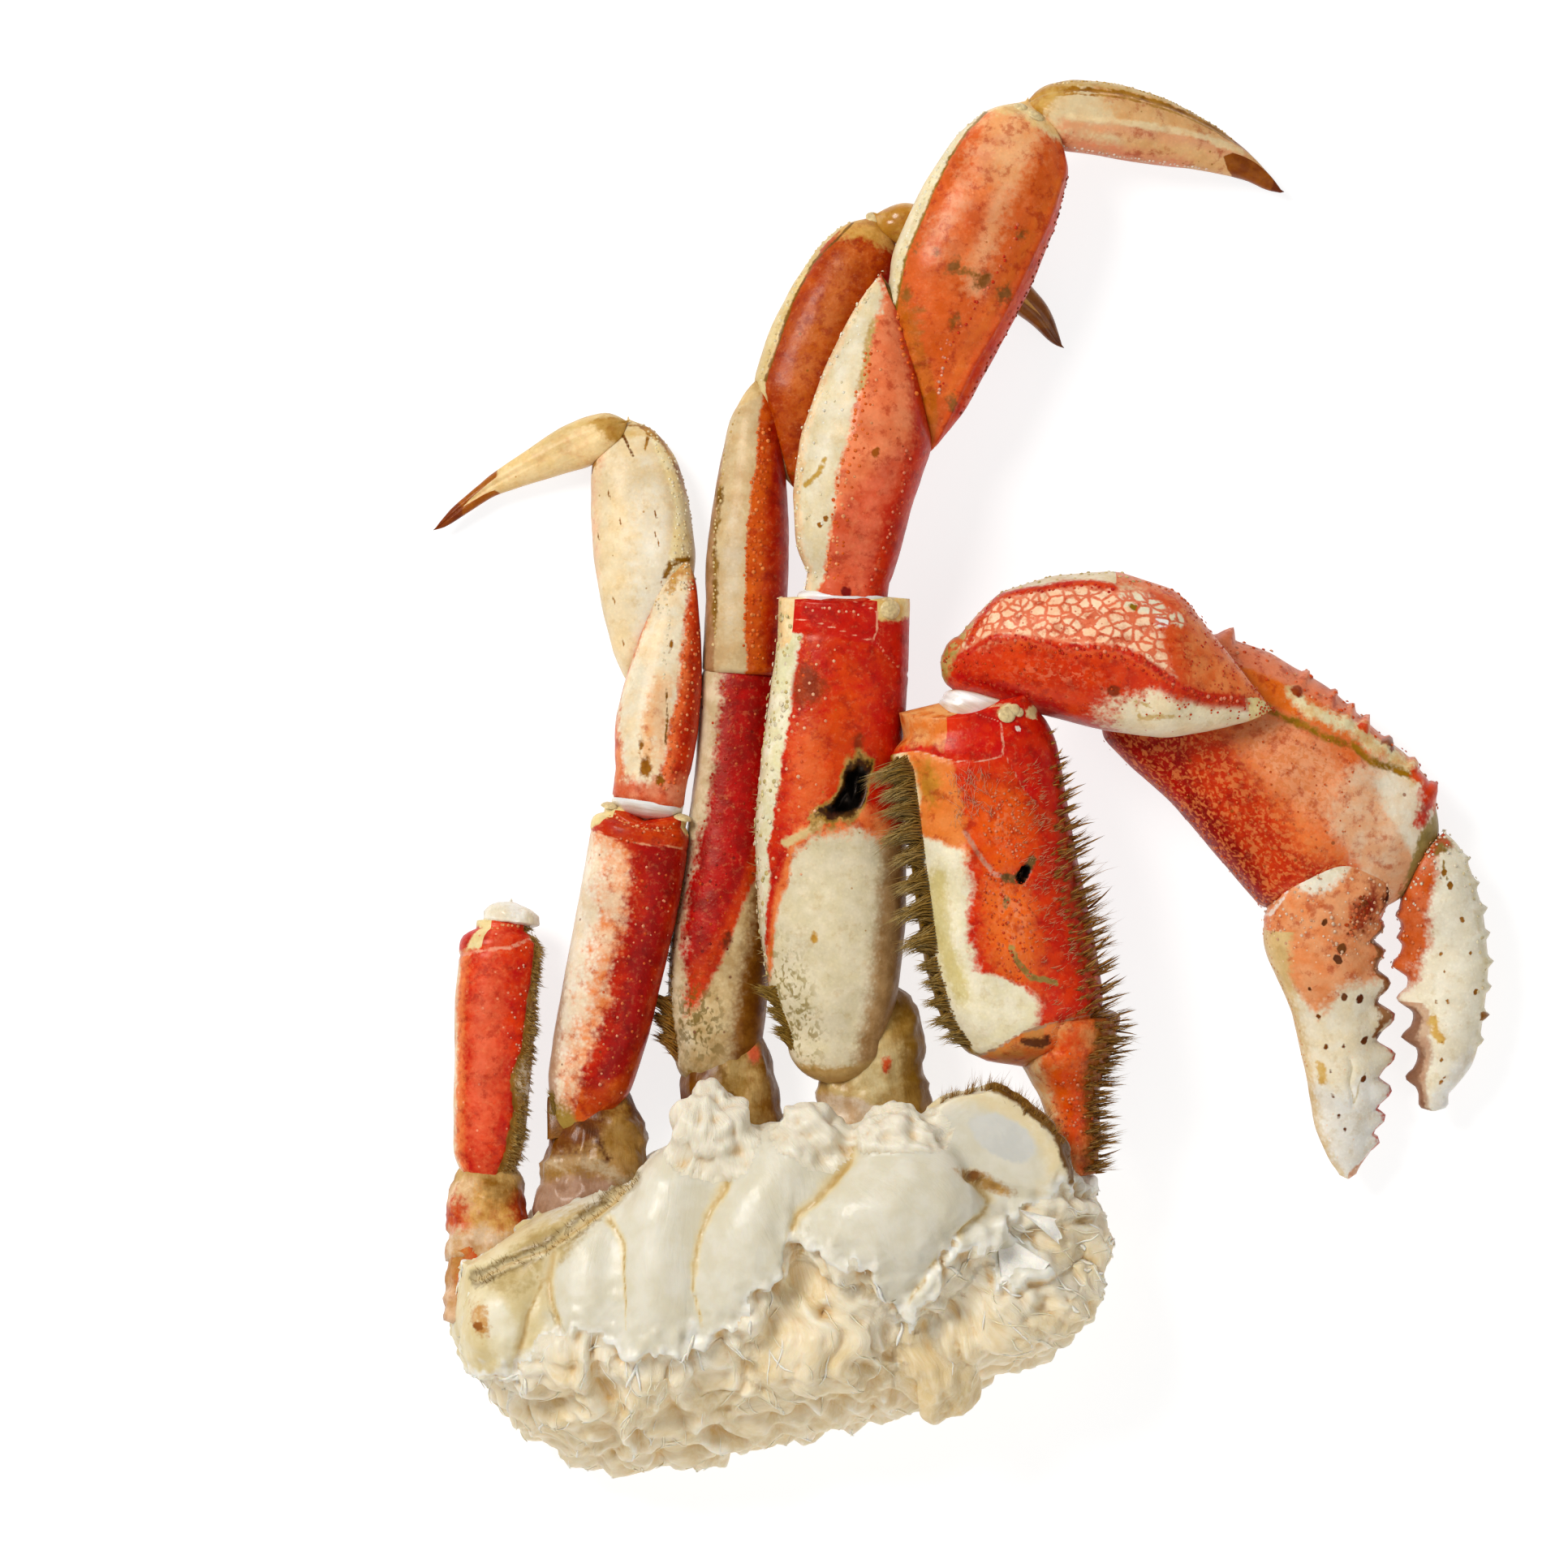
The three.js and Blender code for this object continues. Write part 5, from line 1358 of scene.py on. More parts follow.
skin = SKINS["claw_carpus"]
mid = ((0, -.3), (.13, -.2), (.21, -.12), (.29, -.02), (.37, .03), (.45, 0), (.52, -.03), (.58, .04),
    (.65, .16), (.7, .24), (.79, .26), (.89, .1), (1, 0))
high = ((0, -1.2), (.1, -1.0), (.15, -.92), (.21, -.88), (.27, -.82), (.33, -.84), (.4, -.84), (.47, -.78),
    (.53, -.82), (.6, -.95), (.7, -1.2))
between = np.minimum(skin.left_of(*mid), skin.right_of(*high))
limb_piece(skin, "red_shell", ("e2663c", "da5832"), [
    (np.minimum(between, skin.before((-1, .55), (0, .66), (.3, .7))), "fedcb8", "fac8a0", 1.6, .5),
    (skin.beyond((-1, .66), (-.5, .68), (.1, .72), (.4, .8)) - 9 * (skin.right_of(*mid) > 0),
        "ee8c54", "e46e3c", 2.5, 1.2),
    (skin.blob(.08, .12, 5.5, 3.4), "eebd94", "e9a87c", 1.6, .9),
    (skin.left_of(*high), "ecdfbe", "e5cfa4", .6, .4),
    (skin.left_of((.46, -.8), (.52, -.86), (.7, -.9)) - 9 * (skin.u < .47), "e88a58", "e27848", 1.4, .6),
    (skin.right_of(*shifted(mid, .12)), "d8482c", "cc3c24", 1.6, .8),
    (skin.stroke(.55, *mid[:-1]), "c22c18", "cf3a22", .7, .3),
    (skin.stroke(.5, (.07, -.4), (.09, -.8), (.13, -.95), *high[2:8]), "c8341e", "d4482c", .6, .3),
    (skin.stroke(.8, (.06, .5), (.12, .68), (.25, .8), (.37, .9)), "b8242a", "b02418", 1.2, .5),
    (skin.right_of((0, .74), (.2, .86), (.4, .95)), "c2605c", "b85048", 1.5, .5),
    (np.minimum(skin.blob(.74, .78, 14, 5.0),
                skin.right_of((.5, .3), (.6, .38), (.7, .46), (.8, .44), (.92, .2))),
        "efe2c2", "e9d6ae", 1.2, 1.0),
    (np.maximum(skin.blob(.56, -.68, 3.6, 1.5), skin.stroke(1.1, (.5, -.66), (.58, -.68), (.67, -.62))),
        "efe4c8", "eadab8", .5, .4),
    (skin.blob(.62, -.5, 1.2, .8), "f4eee8", "efe2d8", .3, .3),
    (skin.blob(.53, -.6, .9, .5), "a8884a", "8c6c2c", .2, .2),
    (skin.before((-1, .075), (-.5, .05), (0, .025), (1, .02)), "c9a868", "a08848", .8, .6),
    (skin.blob(.51, .5, 1.1, .9), "96401f", "8a3a1c", .4, .2),
    (skin.stroke(.28, (.63, .62), (.58, .58), (.6, .8), (.7, .7)), "c9aa6c", "d8bd88", .3, .3),
    (skin.beyond((-1, .985), (0, .9), (.4, .925), (1, .93)), "ecd9a0", "e2c684", .3, .2),
    (skin.stroke(.8, (.66, .3), (.8, .32), (.9, .1)), "cc3a1c", "c84020", 1.2, .6),
],
    relief=.45 * bell(skin.stroke(0, *mid[1:-1]), 0, 1.1) + .3 * bell(skin.stroke(0, *high[2:8]), 0, .8),
    net=(1.7, .19, "de5a36", np.minimum(between + 1.2, skin.before((-1, .72), (0, .76), (.4, .78)))),
    worms=(.9, .2, "e88460", skin.blob(.35, .4, 11, 3.2)), dots=[(1.15, .2, "c83a20", .5)])
grains(red_grains, skin, mid[1:-1], .8, .34, ("c2301c", "d9563a", "ea8a6c"), .18)
grains(red_grains, skin, shifted(mid[1:-1], .1), .95, .32, ("c8341e", "d9563a"), .22)
grains(red_grains, skin, shifted(high[1:8], .04), .85, .32, ("c2301c", "d9563a"), .15)
grains(red_grains, skin, ((.08, -.3), (.09, -.8), (.13, -.95)), .9, .32, ("c2301c", "d9563a"), .3)
grains(cream_grains, skin, ((.05, -.98), (.2, -.99), (.4, -.96), (.55, -.97)), .8, .36,
    ("ece0bc", "d9c48c", "c8b47c"), .25)
grains(red_grains, skin, ((.5, -.92), (.62, -.97), (.78, -.98)), .9, .38, ("e07a50", "d96038"), .2)
grains_over(red_grains, skin, skin.right_of(*mid) * (skin.across < .75), 260, .2, ("c8401f", "d2502c"), .5)
grains_over(red_grains, skin, skin.beyond((-1, .68), (1, .72)) * (skin.left_of(*mid) > 0), 300, .2,
    ("c8401f", "d8603a"), .6)

skin = SKINS["claw_palm"]
with_teeth(skin, -1, ((.18, 2.4, 1.6), (.41, 1.0, .9), (.5, .9, .8), (.56, 1.1, .9), (.61, 1.4, 1.0),
    (.69, 1.2, .9), (.78, 1.1, .9), (.86, 1.3, 1.0)))
ridge = ((.18, -.62), (.24, -.65), (.34, -.68), (.42, -.72), (.48, -.68), (.54, -.78), (.61, -.86),
    (.7, -.92), (.8, -.88), (.87, -.96))
groove = ((.24, -.36), (.32, -.42), (.43, -.49), (.54, -.59), (.62, -.72), (.71, -.77), (.78, -.82))
limb_piece(skin, "orange_shell", ("e67c46", "de6a38"), [
    (skin.right_of((0, -.3), (.2, 0), (.45, .2), (.62, .35), (.75, .5)), "cc4416", "c03a12", 4.0, 1.6),
    # the shell's deeper red, with painted shade: near brown-red along the palm's right side
    (skin.right_of((0, .35), (.2, .58), (.45, .72), (.62, .82), (.75, .88)), "9c1c08", "880e02", 3.0, 1.0),
    (skin.before((-1, .12), (0, .2), (1, .35)), "b23014", "9c200a", 3.5, 1.2),
    (skin.blob(.55, -.2, 12, 5.5), "f0a67a", "ea9668", 4, 1.6),
    (skin.beyond((-1, .72), (-.5, .64), (-.1, .665), (.2, .74), (1, .97)), "ecc4a0", "e8ac80", 3.2, 1.4),
    (skin.beyond((-1, .7), (-.55, .72), (-.3, .79), (0, 1)), "efe2ca", "ebd4b4", 3.0, 1.2),
    (skin.left_of(*shifted(groove, -.06)), "e67a38", "dd6a2c", .6, .3),
    (skin.left_of((.3, -.72), (.42, -.8), (.5, -.8), (.6, -.92), (.7, -.97)), "e68a64", "e27c54", .9, .5),
    (skin.stroke(.9, (.4, -.7), (.46, -.66), (.54, -.76), (.61, -.84), (.7, -.88), (.8, -.86)),
        "eadcb0", "ddb77c", .8, .7),
    (skin.stroke(.5, *groove), "a8762c", "8a6828", .7, .35),
    (skin.stroke(1.2, (.84, -.95), (.87, -.8), (.88, -.62)), "dc4a22", "d23c18", .9, .8),
    (skin.blob(.8, -.88, 1.4, .8), "d8401c", "dd5228", .5, .4),
    (skin.blob(.61, -.86, .8, .6), "d23c1c", "d8502c", .3, .2),
    (skin.blob(.41, -.75, .9, .8), "8a3a20", "a04a2a", .4, .3),
    (skin.blob(.69, -.93, 1.1, .9), "8a4a2a", "a86040", .5, .3),
    (skin.beyond((-1, .9), (-.5, .9), (0, .93), (1, .97)), "8a7440", "a89058", .6, .5),
],
    relief=.7 * bell(skin.stroke(0, *ridge), 0, 1.5) - .5 * bell(skin.stroke(0, *groove), 0, .7),
    worms=(.85, .24, "e0824e",
        np.minimum(skin.before((-1, .6), (0, .68), (.4, .8), (1, .95)), skin.right_of(*groove))),
    dots=[(2.8, .16, "8a4a20", .3)])
grains_over(red_grains, skin, np.minimum(skin.right_of(*groove), skin.before((-1, .62), (1, .9))), 420, .2,
    ("dd6e40", "d05c30", "e07c50"), .5)
grains_over(red_grains, skin, skin.left_of(*ridge), 130, .32, ("e2683c", "eaa078", "d9532c"))
grains(red_grains, skin, ((.2, .95), (.5, .96), (.72, .97)), .9, .26, ("c24a24", "d9683c"), .15)

skin = SKINS["claw_fixed_finger"]
with_teeth(skin, -1, ((.3, 1.3, 1.5), (.365, 1.6, 1.6), (.455, 2.0, 2.0), (.55, 2.1, 2.1), (.66, 2.0, 2.1),
    (.76, 1.9, 1.9), (.84, 1.5, 1.4), (.905, 1.3, 1.1)))
limb_piece(skin, "cream_shell", ("eae0c8", "e6d6b4"), [
    (skin.beyond((-1, .72), (-.5, .7), (0, .76), (1, .72)), "ece8de", "e4ddce", 2, .8),
    (skin.before((-1, .44), (-.4, .44), (-.08, .46), (.15, .5), (.5, .52), (.8, .42), (1, .28)),
        "eaa474", "e48c58", 2.2, 1.3),
    (skin.right_of((.25, .5), (.4, .72), (.5, .9)) - 9 * (skin.u < .28), "ddc08a", "d3b47a", 1.4, .6),
    (skin.blob(.12, -.45, 5, 3.2), "e8a070", "e29460", 1.4, .8),
    (np.minimum(skin.blob(.08, .25, 6.2, 4.6),
        skin.right_of((0, -.9), (.06, -.5), (.12, -.3), (.16, -.12), (.22, -.1))),
        "eee8d4", "e9dfc4", 1.0, .8),
    (skin.blob(.1, .72, 2.4, 1.3), "e8bca4", "e6ae90", 1.2, .8),
    (skin.left_of((.02, -.62), (.08, -.72), (.13, -.98)), "d6401e", "cc3414", .5, .4),
    (skin.blob(.24, -.62, 3.0, 1.5), "a04020", "8a3018", 1.6, .9),
    (skin.blob(.2, -.92, 2.0, .7), "3a2312", "5a3420", .7, .5),
    (skin.stroke(.25, (.14, .66), (.235, .92), (.24, 1)), "efe0d4", "e6d0bc", .3, .25),
    (skin.stroke(.5, (.67, .66), (.72, .62)), "cfa860", "d8b878", .4, .35),
    (skin.stroke(.13, (.66, -.1), (.79, -.16), (.7, -.5)), "cfc3a4", "c4b694", .2, .05),
    (skin.stroke(.4, (.3, -.95), (.45, -.95), (.6, -.85)), "a87a54", "8a5a38", .4, .3),
    (skin.beyond((-1, .955), (0, .99), (1, 1.1)), "d9ab8c", "cf9a7c", .6, .3),
] + specks(skin, ("5e3812", "7a4a1a", .2, .12), (
      (.26, .04, .6), (.34, -.35, 1.0), (.37, -.22, .9), (.45, .47, .4), (.48, -.18, .7), (.49, -.53, .8),
      (.53, .45, .5), (.62, .38, .5), (.62, -.07, .4), (.61, -.6, .75), (.6, -.95, .7), (.69, .42, .35),
      (.72, -.51, .65), (.76, .41, .4), (.82, .25, .35), (.86, .09, .35))),
    relief=.5 * smooth_step(-.3, .3, skin.beyond((-1, 0), (.6, .12), (.8, .18), (1, .24)))
        - .35 * bell(skin.stroke(0, (.66, -.1), (.79, -.16)), 0, .5),
    dots=[(1.1, .2, "f0cfae", .35)])
grains_over(cream_grains, skin, skin.before((-1, .42), (1, .3)) * (skin.u > .06), 330, .26,
    ("efc4a0", "eab088", "f2d2b4"))
grains_over(red_grains, skin, skin.blob(.25, -.55, 4, 2.2), 60, .3, ("d9744c", "c2502c", "8a4a2c"))
grains(cream_grains, skin, ((.26, .96), (.5, .96), (.68, .96)), .8, .24, ("e2b080", "d8a878"), .12)

skin = SKINS["claw_moving_finger"]
with_teeth(skin, 1, ((.3, .8, 1.0), (.38, 1.0, 1.3), (.48, 1.5, 1.8), (.6, 1.6, 1.9), (.735, 1.6, 1.8),
    (.88, 1.3, 1.6)))
with_teeth(skin, -1, ((.1, .9, .8), (.19, .9, .8), (.28, 1.1, .9), (.37, 1.0, .8), (.47, 1.1, .9),
    (.56, 1.0, .9), (.66, 1.2, .9), (.75, 1.0, .9)))
limb_piece(skin, "cream_shell", ("f2ead4", "eadfc4"), [
    (skin.right_of((0, .62), (.15, .3), (.3, .32), (.42, .5), (.52, .72), (.56, 1.1)),
        "d9744a", "cf5c2c", 1.6, .9),
    (skin.before((-1, .04), (0, .07), (1, .09)), "cf3c1c", "8a7440", .7, .8),
    (skin.left_of((0, -.78), (.5, -.82), (1, -.9)), "ebe3cc", "e0d2ac", .8, .4),
    (skin.right_of((.6, .62), (.7, .5), (.82, .55), (1, .4)) - 9 * (skin.u < .6),
        "d3b598", "c49c80", .7, .35),
    (skin.right_of((.6, .85), (.7, .75), (.82, .78), (1, .6)) - 9 * (skin.u < .62),
        "8a6450", "a07860", .6, .35),
    (skin.blob(.9, -.72, 5.5, 2.4), "f0ede4", "e8e0d0", 1.2, .6),
    (skin.stroke(.55, (.66, .5), (.7, .35), (.74, .15)), "d8b468", "cfa45a", .5, .45),
    (skin.stroke(.14, (.1, .03), (.145, 0), (.17, -.14)), "8a6c3a", "a8884a", .25, .2),
] + specks(skin, ("8a5a24", "a8743a", .2, .12), (
      (.145, -.02, .6), (.19, -.2, .65), (.31, -.43, .55), (.35, .29, .3), (.43, .13, .4), (.43, -.55, .4),
      (.49, .08, .3), (.6, 0, .35), (.6, .28, .35), (.57, -.68, .5), (.66, -.89, .75), (.69, .08, .3),
      (.75, .15, .25), (.81, .22, .35), (.87, -.17, .35), (.89, -.1, .4))),
    relief=-.2 * bell(skin.across - .45, 0, .1) * (skin.u > .6) * (skin.top > 0))
grains(cream_grains, skin, ((.1, -.86), (.3, -.85), (.6, -.86)), 1.2, .36, ("ebe0c0", "e2d2a8"), .4, .7)
grains_over(red_grains, skin, skin.right_of((0, .4), (.3, .4), (.42, .6), (.52, .8)) * (skin.u < .5),
    110, .27, ("eaa078", "e07c50"))
grains_over(cream_grains, skin, skin.before((0, .2), (1, .3)), 90, .26, ("ece0c4", "f0e8d4"))

# ---------------------------------------------------------------- knees
def membrane_material(name):
    p = Paint(name)
    folds = p.noise(1.0, 3, 0.6, 0.2, p.stretched(0.55, 9, 9))
    shade = p.mix(p.ramp(folds, 0.35, 0.7), "e6e4e0", "fbfaf6")
    # painted shade: tan where the membrane lies close to the limbs on either side
    shade = p.mix(p.ramp(p.attribute("crevice"), 1.2, 0.2, 0.0, 0.8), shade, "c9b088")
    normal = p.bump(folds, 0.5, 0.35)
    normal = p.bump(p.noise(0.5, 3), 0.3, 0.08, normal)
    return p.finish(shade, p.ramp(p.noise(0.8, 3), 0.3, 0.7, 0.25, 0.5), normal, **MEMBRANE_GLOSS)


def trees_of(nodes):
    trees = []
    for node in nodes:
        points, faces = node_arrays(node)
        trees.append(BVHTree.FromPolygons(points.tolist(), faces.tolist()))
    return trees


def crevice(points, nodes):
    """Distance in millimetres from each point to the nearest of those nodes, 4 at most."""
    reach = 4.0
    near = np.full(len(points), reach)
    for tree in trees_of(nodes):
        for i, point in enumerate(points.tolist()):
            hit = tree.find_nearest(point, reach)
            if hit[3] is not None and hit[3] < near[i]:
                near[i] = hit[3]
    return near


for node, neighbours in KNEES.items():
    skin = SKINS[node]
    skin.push(.08 * np.sin(skin.s * 3.0 + 5 * noise(skin.pos, 5, 4)))
    name = node + "_skin"
    membrane = skin.to_object(name)
    set_attribute(membrane, "limb", skin.with_ends(skin.local))
    set_attribute(membrane, "crevice", crevice(skin.with_ends(skin.pos), neighbours))
    add_piece(membrane, membrane_material(name), "knee_membrane", node)


# ---------------------------------------------------------------- the shoulder: white walls and torn meat
def remeshed(nodes, voxel, grow=0.0):
    """Fine even faces over some nodes together: points, normals and quads, in millimetres."""
    verts, faces, count = [], [], 0
    for node in nodes:
        points, tris = node_arrays(node)
        _, first, same = np.unique(np.round(points, 3), axis=0, return_index=True, return_inverse=True)
        points, tris = points[first], same.ravel()[tris]
        a, b, c = (points[tris[:, i]] for i in range(3))
        normals = np.zeros_like(points)
        for i in range(3):
            np.add.at(normals, tris[:, i], np.cross(b - a, c - a))
        normals /= np.maximum(np.linalg.norm(normals, axis=1, keepdims=True), 1e-9)
        verts.append(points + grow * normals)
        faces.append(tris + count)
        count += len(points)
    rough = mesh_object("rough", np.concatenate(verts), np.concatenate(faces))
    change = rough.modifiers.new("even", "REMESH")
    change.mode = "VOXEL"
    change.voxel_size = voxel * MM
    mesh = rough.evaluated_get(bpy.context.evaluated_depsgraph_get()).to_mesh()
    points = np.zeros(len(mesh.vertices) * 3)
    mesh.vertices.foreach_get("co", points)
    corners = np.zeros(len(mesh.loops), int)
    mesh.loops.foreach_get("vertex_index", corners)
    bpy.data.objects.remove(rough)
    return points.reshape(-1, 3) / MM, corners.reshape(-1, 4)


def edges_of(quads, count):
    """Each edge once, as numbers made of its two ends."""
    ends = np.concatenate([np.sort(quads[:, [i, (i + 1) % 4]], axis=1) for i in range(4)])
    return np.divmod(np.unique(ends[:, 0] * count + ends[:, 1]), count)


def smoothed(values, edges, passes, weight=0.5):
    """Averages values with those of the neighbouring points, several times over."""
    a, b = edges
    n = len(values)
    number = np.maximum(np.bincount(a, minlength=n) + np.bincount(b, minlength=n), 1)[:, None]
    flat = values.reshape(n, -1).astype(float)
    weight = np.broadcast_to(weight, n)[:, None]
    for _ in range(passes):
        total = [np.bincount(a, column[b], n) + np.bincount(b, column[a], n) for column in flat.T]
        flat = flat + weight * (np.stack(total, 1) / number - flat)
    return flat.reshape(values.shape)


def normals_of(points, quads):
    """Each point's normal: the mean of its quads' normals, in which larger quads count for more."""
    a, b, c, d = (points[quads[:, i]] for i in range(4))
    face = np.cross(c - a, d - b)
    normals = [sum(np.bincount(quads[:, i], part, len(points)) for i in range(4)) for part in face.T]
    normals = np.stack(normals, 1)
    return normals / np.maximum(np.linalg.norm(normals, axis=1, keepdims=True), 1e-9)


def distance_to(points, node, reach):
    """Millimetres from a node's surface, reach at most and below 0 inside it."""
    tree = trees_of([node])[0]
    out = np.full(len(points), reach)
    low, high = (np.array(v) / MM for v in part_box(node))
    for i in np.nonzero(np.all((points > low - reach) & (points < high + reach), axis=1))[0]:
        spot, normal, _, distance = tree.find_nearest(points[i].tolist(), reach)
        if spot is not None:
            out[i] = distance if (Vector(points[i]) - spot).dot(normal) > 0 else -distance
    return out


WALLS = CHAMBERS + ["claw_socket_pad"]
MEATS = ["shoulder_core", "meat_under_chamber_5", "meat_right", "meat_chunk",
         "leg_stump_1", "leg_stump_2", "leg_stump_3"]
CORE, UNDER_CHAMBER, RIGHT, CHUNK, FIRST_STUMP = range(5)  # places in MEATS
VOXEL = 0.55
CLOSING = 2.2  # gaps between the chambers narrower than twice this are filled
KEPT_CLOSING = 0.35  # how much of it stays on the surface
MEAT_REACH = 2.2  # a piece of meat owns the surface this close to its node
core_low, core_high = (np.array(v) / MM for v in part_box("shoulder_core"))


def flat_place(points):
    """The shoulder's own flat coordinates: x from its left side, y down from its leg side."""
    return points[:, 0] - core_low[0], core_high[1] - points[:, 1]


def line_distance(x, y, line, progress=False):
    """Millimetres from a line of points and, if asked, how far along it the nearest place is, 0 to 1."""
    near, done = np.full(len(x), 99.0), np.zeros(len(x))
    for k, ((ax, ay), (bx, by)) in enumerate(zip(line, line[1:])):
        dx, dy = bx - ax, by - ay
        t = np.clip(((x - ax) * dx + (y - ay) * dy) / (dx * dx + dy * dy), 0, 1)
        away = np.hypot(x - ax - t * dx, y - ay - t * dy)
        done = np.where(away < near, (k + t) / (len(line) - 1), done)
        near = np.minimum(near, away)
    return (near, done) if progress else near


def bundles(along, across, length, width, seed):
    """Overlapping bundles of fibres: the height of each point, about 0 to 1."""
    u, v = along / length, across / width
    first, second, rise = np.full(len(u), 9.0), np.full(len(u), 9.0), np.zeros(len(u))
    for i in (-1, 0, 1):
        for j in (-1, 0, 1):
            cu, cv = np.floor(u).astype(int) + i, np.floor(v).astype(int) + j
            a, b, c = (lattice(cu, cv, np.full_like(cu, 7 * seed + k)) for k in range(3))
            du, dv = u - cu - .15 - .7 * a, v - cv - .15 - .7 * b
            away = np.hypot(du, dv)
            second = np.where(away < first, first, np.minimum(second, away))
            rise = np.where(away < first, .5 * c + .5 * du, rise)
            first = np.minimum(first, away)
    return rise + .7 * (1 - np.exp(-4 * (second - first)))


def ridges(points, scale, octaves, seed):
    """Noise with sharp crests: 1 on a crest, 0 in the deepest place between them."""
    return 1 - 2 * np.abs(layered(points, scale, octaves, seed) - .5)


def oval(x, y, cx, cy, long_radius, wide_radius, turn=0.0):
    """Millimetres inside an oval whose long axis is turned by an angle in degrees."""
    c, s = math.cos(math.radians(turn)), math.sin(math.radians(turn))
    u, v = (x - cx) * c + (y - cy) * s, (y - cy) * c - (x - cx) * s
    return (1 - np.hypot(u / long_radius, v / wide_radius)) * min(long_radius, wide_radius)


# outlines in the shoulder's flat coordinates
TORN_EDGE = ((-3, 44), (4.5, 45), (11.7, 44.4), (17.2, 36), (21.4, 36), (25.6, 38), (28.8, 41), (37, 40),
             (43, 38), (48, 36), (51, 32), (55, 28.5), (57.3, 26.5), (58, 21.1), (63, 21.7), (68.3, 24.4),
             (72.6, 28.3), (76.2, 34), (80.4, 30.4), (86.4, 22.9), (93.6, 19), (96, 17), (99.6, 14.6),
             (105.7, 13), (114, 12))  # where the white walls end and the meat begins
GROOVES = (  # each seam with its strength at its first and last point
    (((50, 2), (49.3, 6.7), (46.9, 10.9), (44.3, 15.1), (42.8, 19.3), (41.8, 24.1), (41.6, 28.9), (43.1, 35)),
     1.0, .25),
    (((69.5, 1.5), (67.4, 6.7), (66.5, 8.5), (62.9, 12.7), (59.3, 16.3), (57.9, 19.9)), 1.0, .6),
    (((88.8, 9.1), (92.4, 13.9), (90.6, 16.3), (86.4, 19.5), (82.2, 24.7), (79.2, 28.9), (76.4, 33.8)),
     .7, .3),
    (((26.8, 16.9), (29.2, 21.1), (29.8, 27.7), (30.5, 36)), .6, .1),
    (((17.2, 22.9), (16.3, 27.7), (17.5, 32.5), (19.6, 38.6)), .9, .5),
    (((13.6, 25.3), (15.4, 28.3), (13, 35), (11.1, 43.4)), .3, .7),
    (((4.5, 27.7), (9.3, 25.3), (15.4, 22.9), (21.4, 18.7), (27.4, 13.9), (31, 10.3)), .6, .6),
)
GOLD_SEAM, CRACK, BORDER = 4, 5, 6  # places in GROOVES
RIM = ((80.6, -1.5), (85.0, -4.6), (90.2, -5.2), (97.0, -1.8), (102.7, 3.4), (105.0, 10.3), (103.3, 12.2))
PAD = (92.8, 3.4, 14.2, 7.6, 36)  # the oval pad inside the rim
BAND = ((77.5, 33.5), (81.5, 29), (87.5, 21.5), (94, 18.5))  # the smooth edge of chamber 6
BAND_WIDTH = 1.9
PITS = (  # holes in the meat: x, y, radius, depth
    (44.7, 54.1, 1.1, 1.8), (42.1, 57.6, .9, 1.3), (47.3, 57.9, 1.0, 1.5), (35.4, 59.3, .9, 1.3),
    (21, 53.5, 1.2, 1.6), (56.6, 28.2, 1.0, 1.6), (64, 33, 1.1, 1.4), (70, 42, 1.3, 1.6),
    (60, 50, 1.1, 1.4), (33, 51, 1.2, 1.4),
)
PAD_PITS = ((88.9, 9.6, .8), (93.6, 11.6, .7), (91.2, 10.8, .6))  # x, y, radius
SLIT = ((14.5, 49.5), (21, 51), (28, 55.5))
# of each kind of meat: x and y of the place that its fibres spread from, and how fast
FANS = {CORE: (44, -16, 55), UNDER_CHAMBER: (56, 16, 20), RIGHT: (82, 20, 22), CHUNK: (80, 8, 30)}
ROUGHNESS = np.array([1, .8, .9, .7, .3, .3, .3])  # of each kind of meat


def wall_field(points, quads):
    """Millimetres inside the white walls; below 0 in the torn meat."""
    x, y = flat_place(points)
    streaks = np.stack([x / 1.3, y / 6, 0 * x], -1)
    ragged = 5.5 * (layered(points, 5, 3, 21) - .5) + 2.4 * (layered(points, 1.6, 2, 22) - .5)
    ragged = ragged + 3.5 * (noise(streaks, 1, 23) - .5)
    wall = np.interp(x, *np.array(TORN_EDGE).T) - y
    wall = np.maximum(wall, BAND_WIDTH - line_distance(x, y, BAND))
    under_the_pad = np.minimum((y - 18) * 1.3 - (x - 93.6) * 1.15 + 1.2, 27.6 - y - .12 * (x - 94))
    wall = np.maximum(wall, np.minimum(1.5 * (x - 93), under_the_pad))
    wall = wall + ragged
    facing_up = smooth_step(-.3, .3, normals_of(points, quads)[:, 2])
    underneath = np.minimum(wall, 3 * (facing_up - .3) + np.where(y < 10, 3, 0))
    return np.where(facing_up > .5, wall, underneath)


def owners(points):
    """The place in MEATS of the node that each point belongs to."""
    owner = np.full(len(points), CORE)
    best = np.full(len(points), MEAT_REACH)
    for number, node in enumerate(MEATS[1:], 1):
        away = distance_to(points, node, 3.0)
        owner = np.where(away < best, number, owner)
        best = np.minimum(best, away)
    return owner


def fibres(points, owner):
    """Coordinates along and across the fibres, in millimetres, and the fibres' way."""
    x, y = flat_place(points)
    bend = 7.0 * (noise(points, 7, 31) - .5)
    fibre, way = np.zeros_like(points), np.zeros_like(points)
    for kind in range(len(MEATS)):
        cx, cy, spread = FANS.get(kind, FANS[CORE])
        around = np.arctan2(x - cx, y - cy) * spread + bend
        fan = np.stack([np.hypot(x - cx, y - cy), around, points[:, 2]], -1)
        chosen = owner == kind
        fibre[chosen] = fan[chosen]
        way[chosen] = np.stack([x - cx, cy - y, 0 * x], -1)[chosen]
    return fibre, way


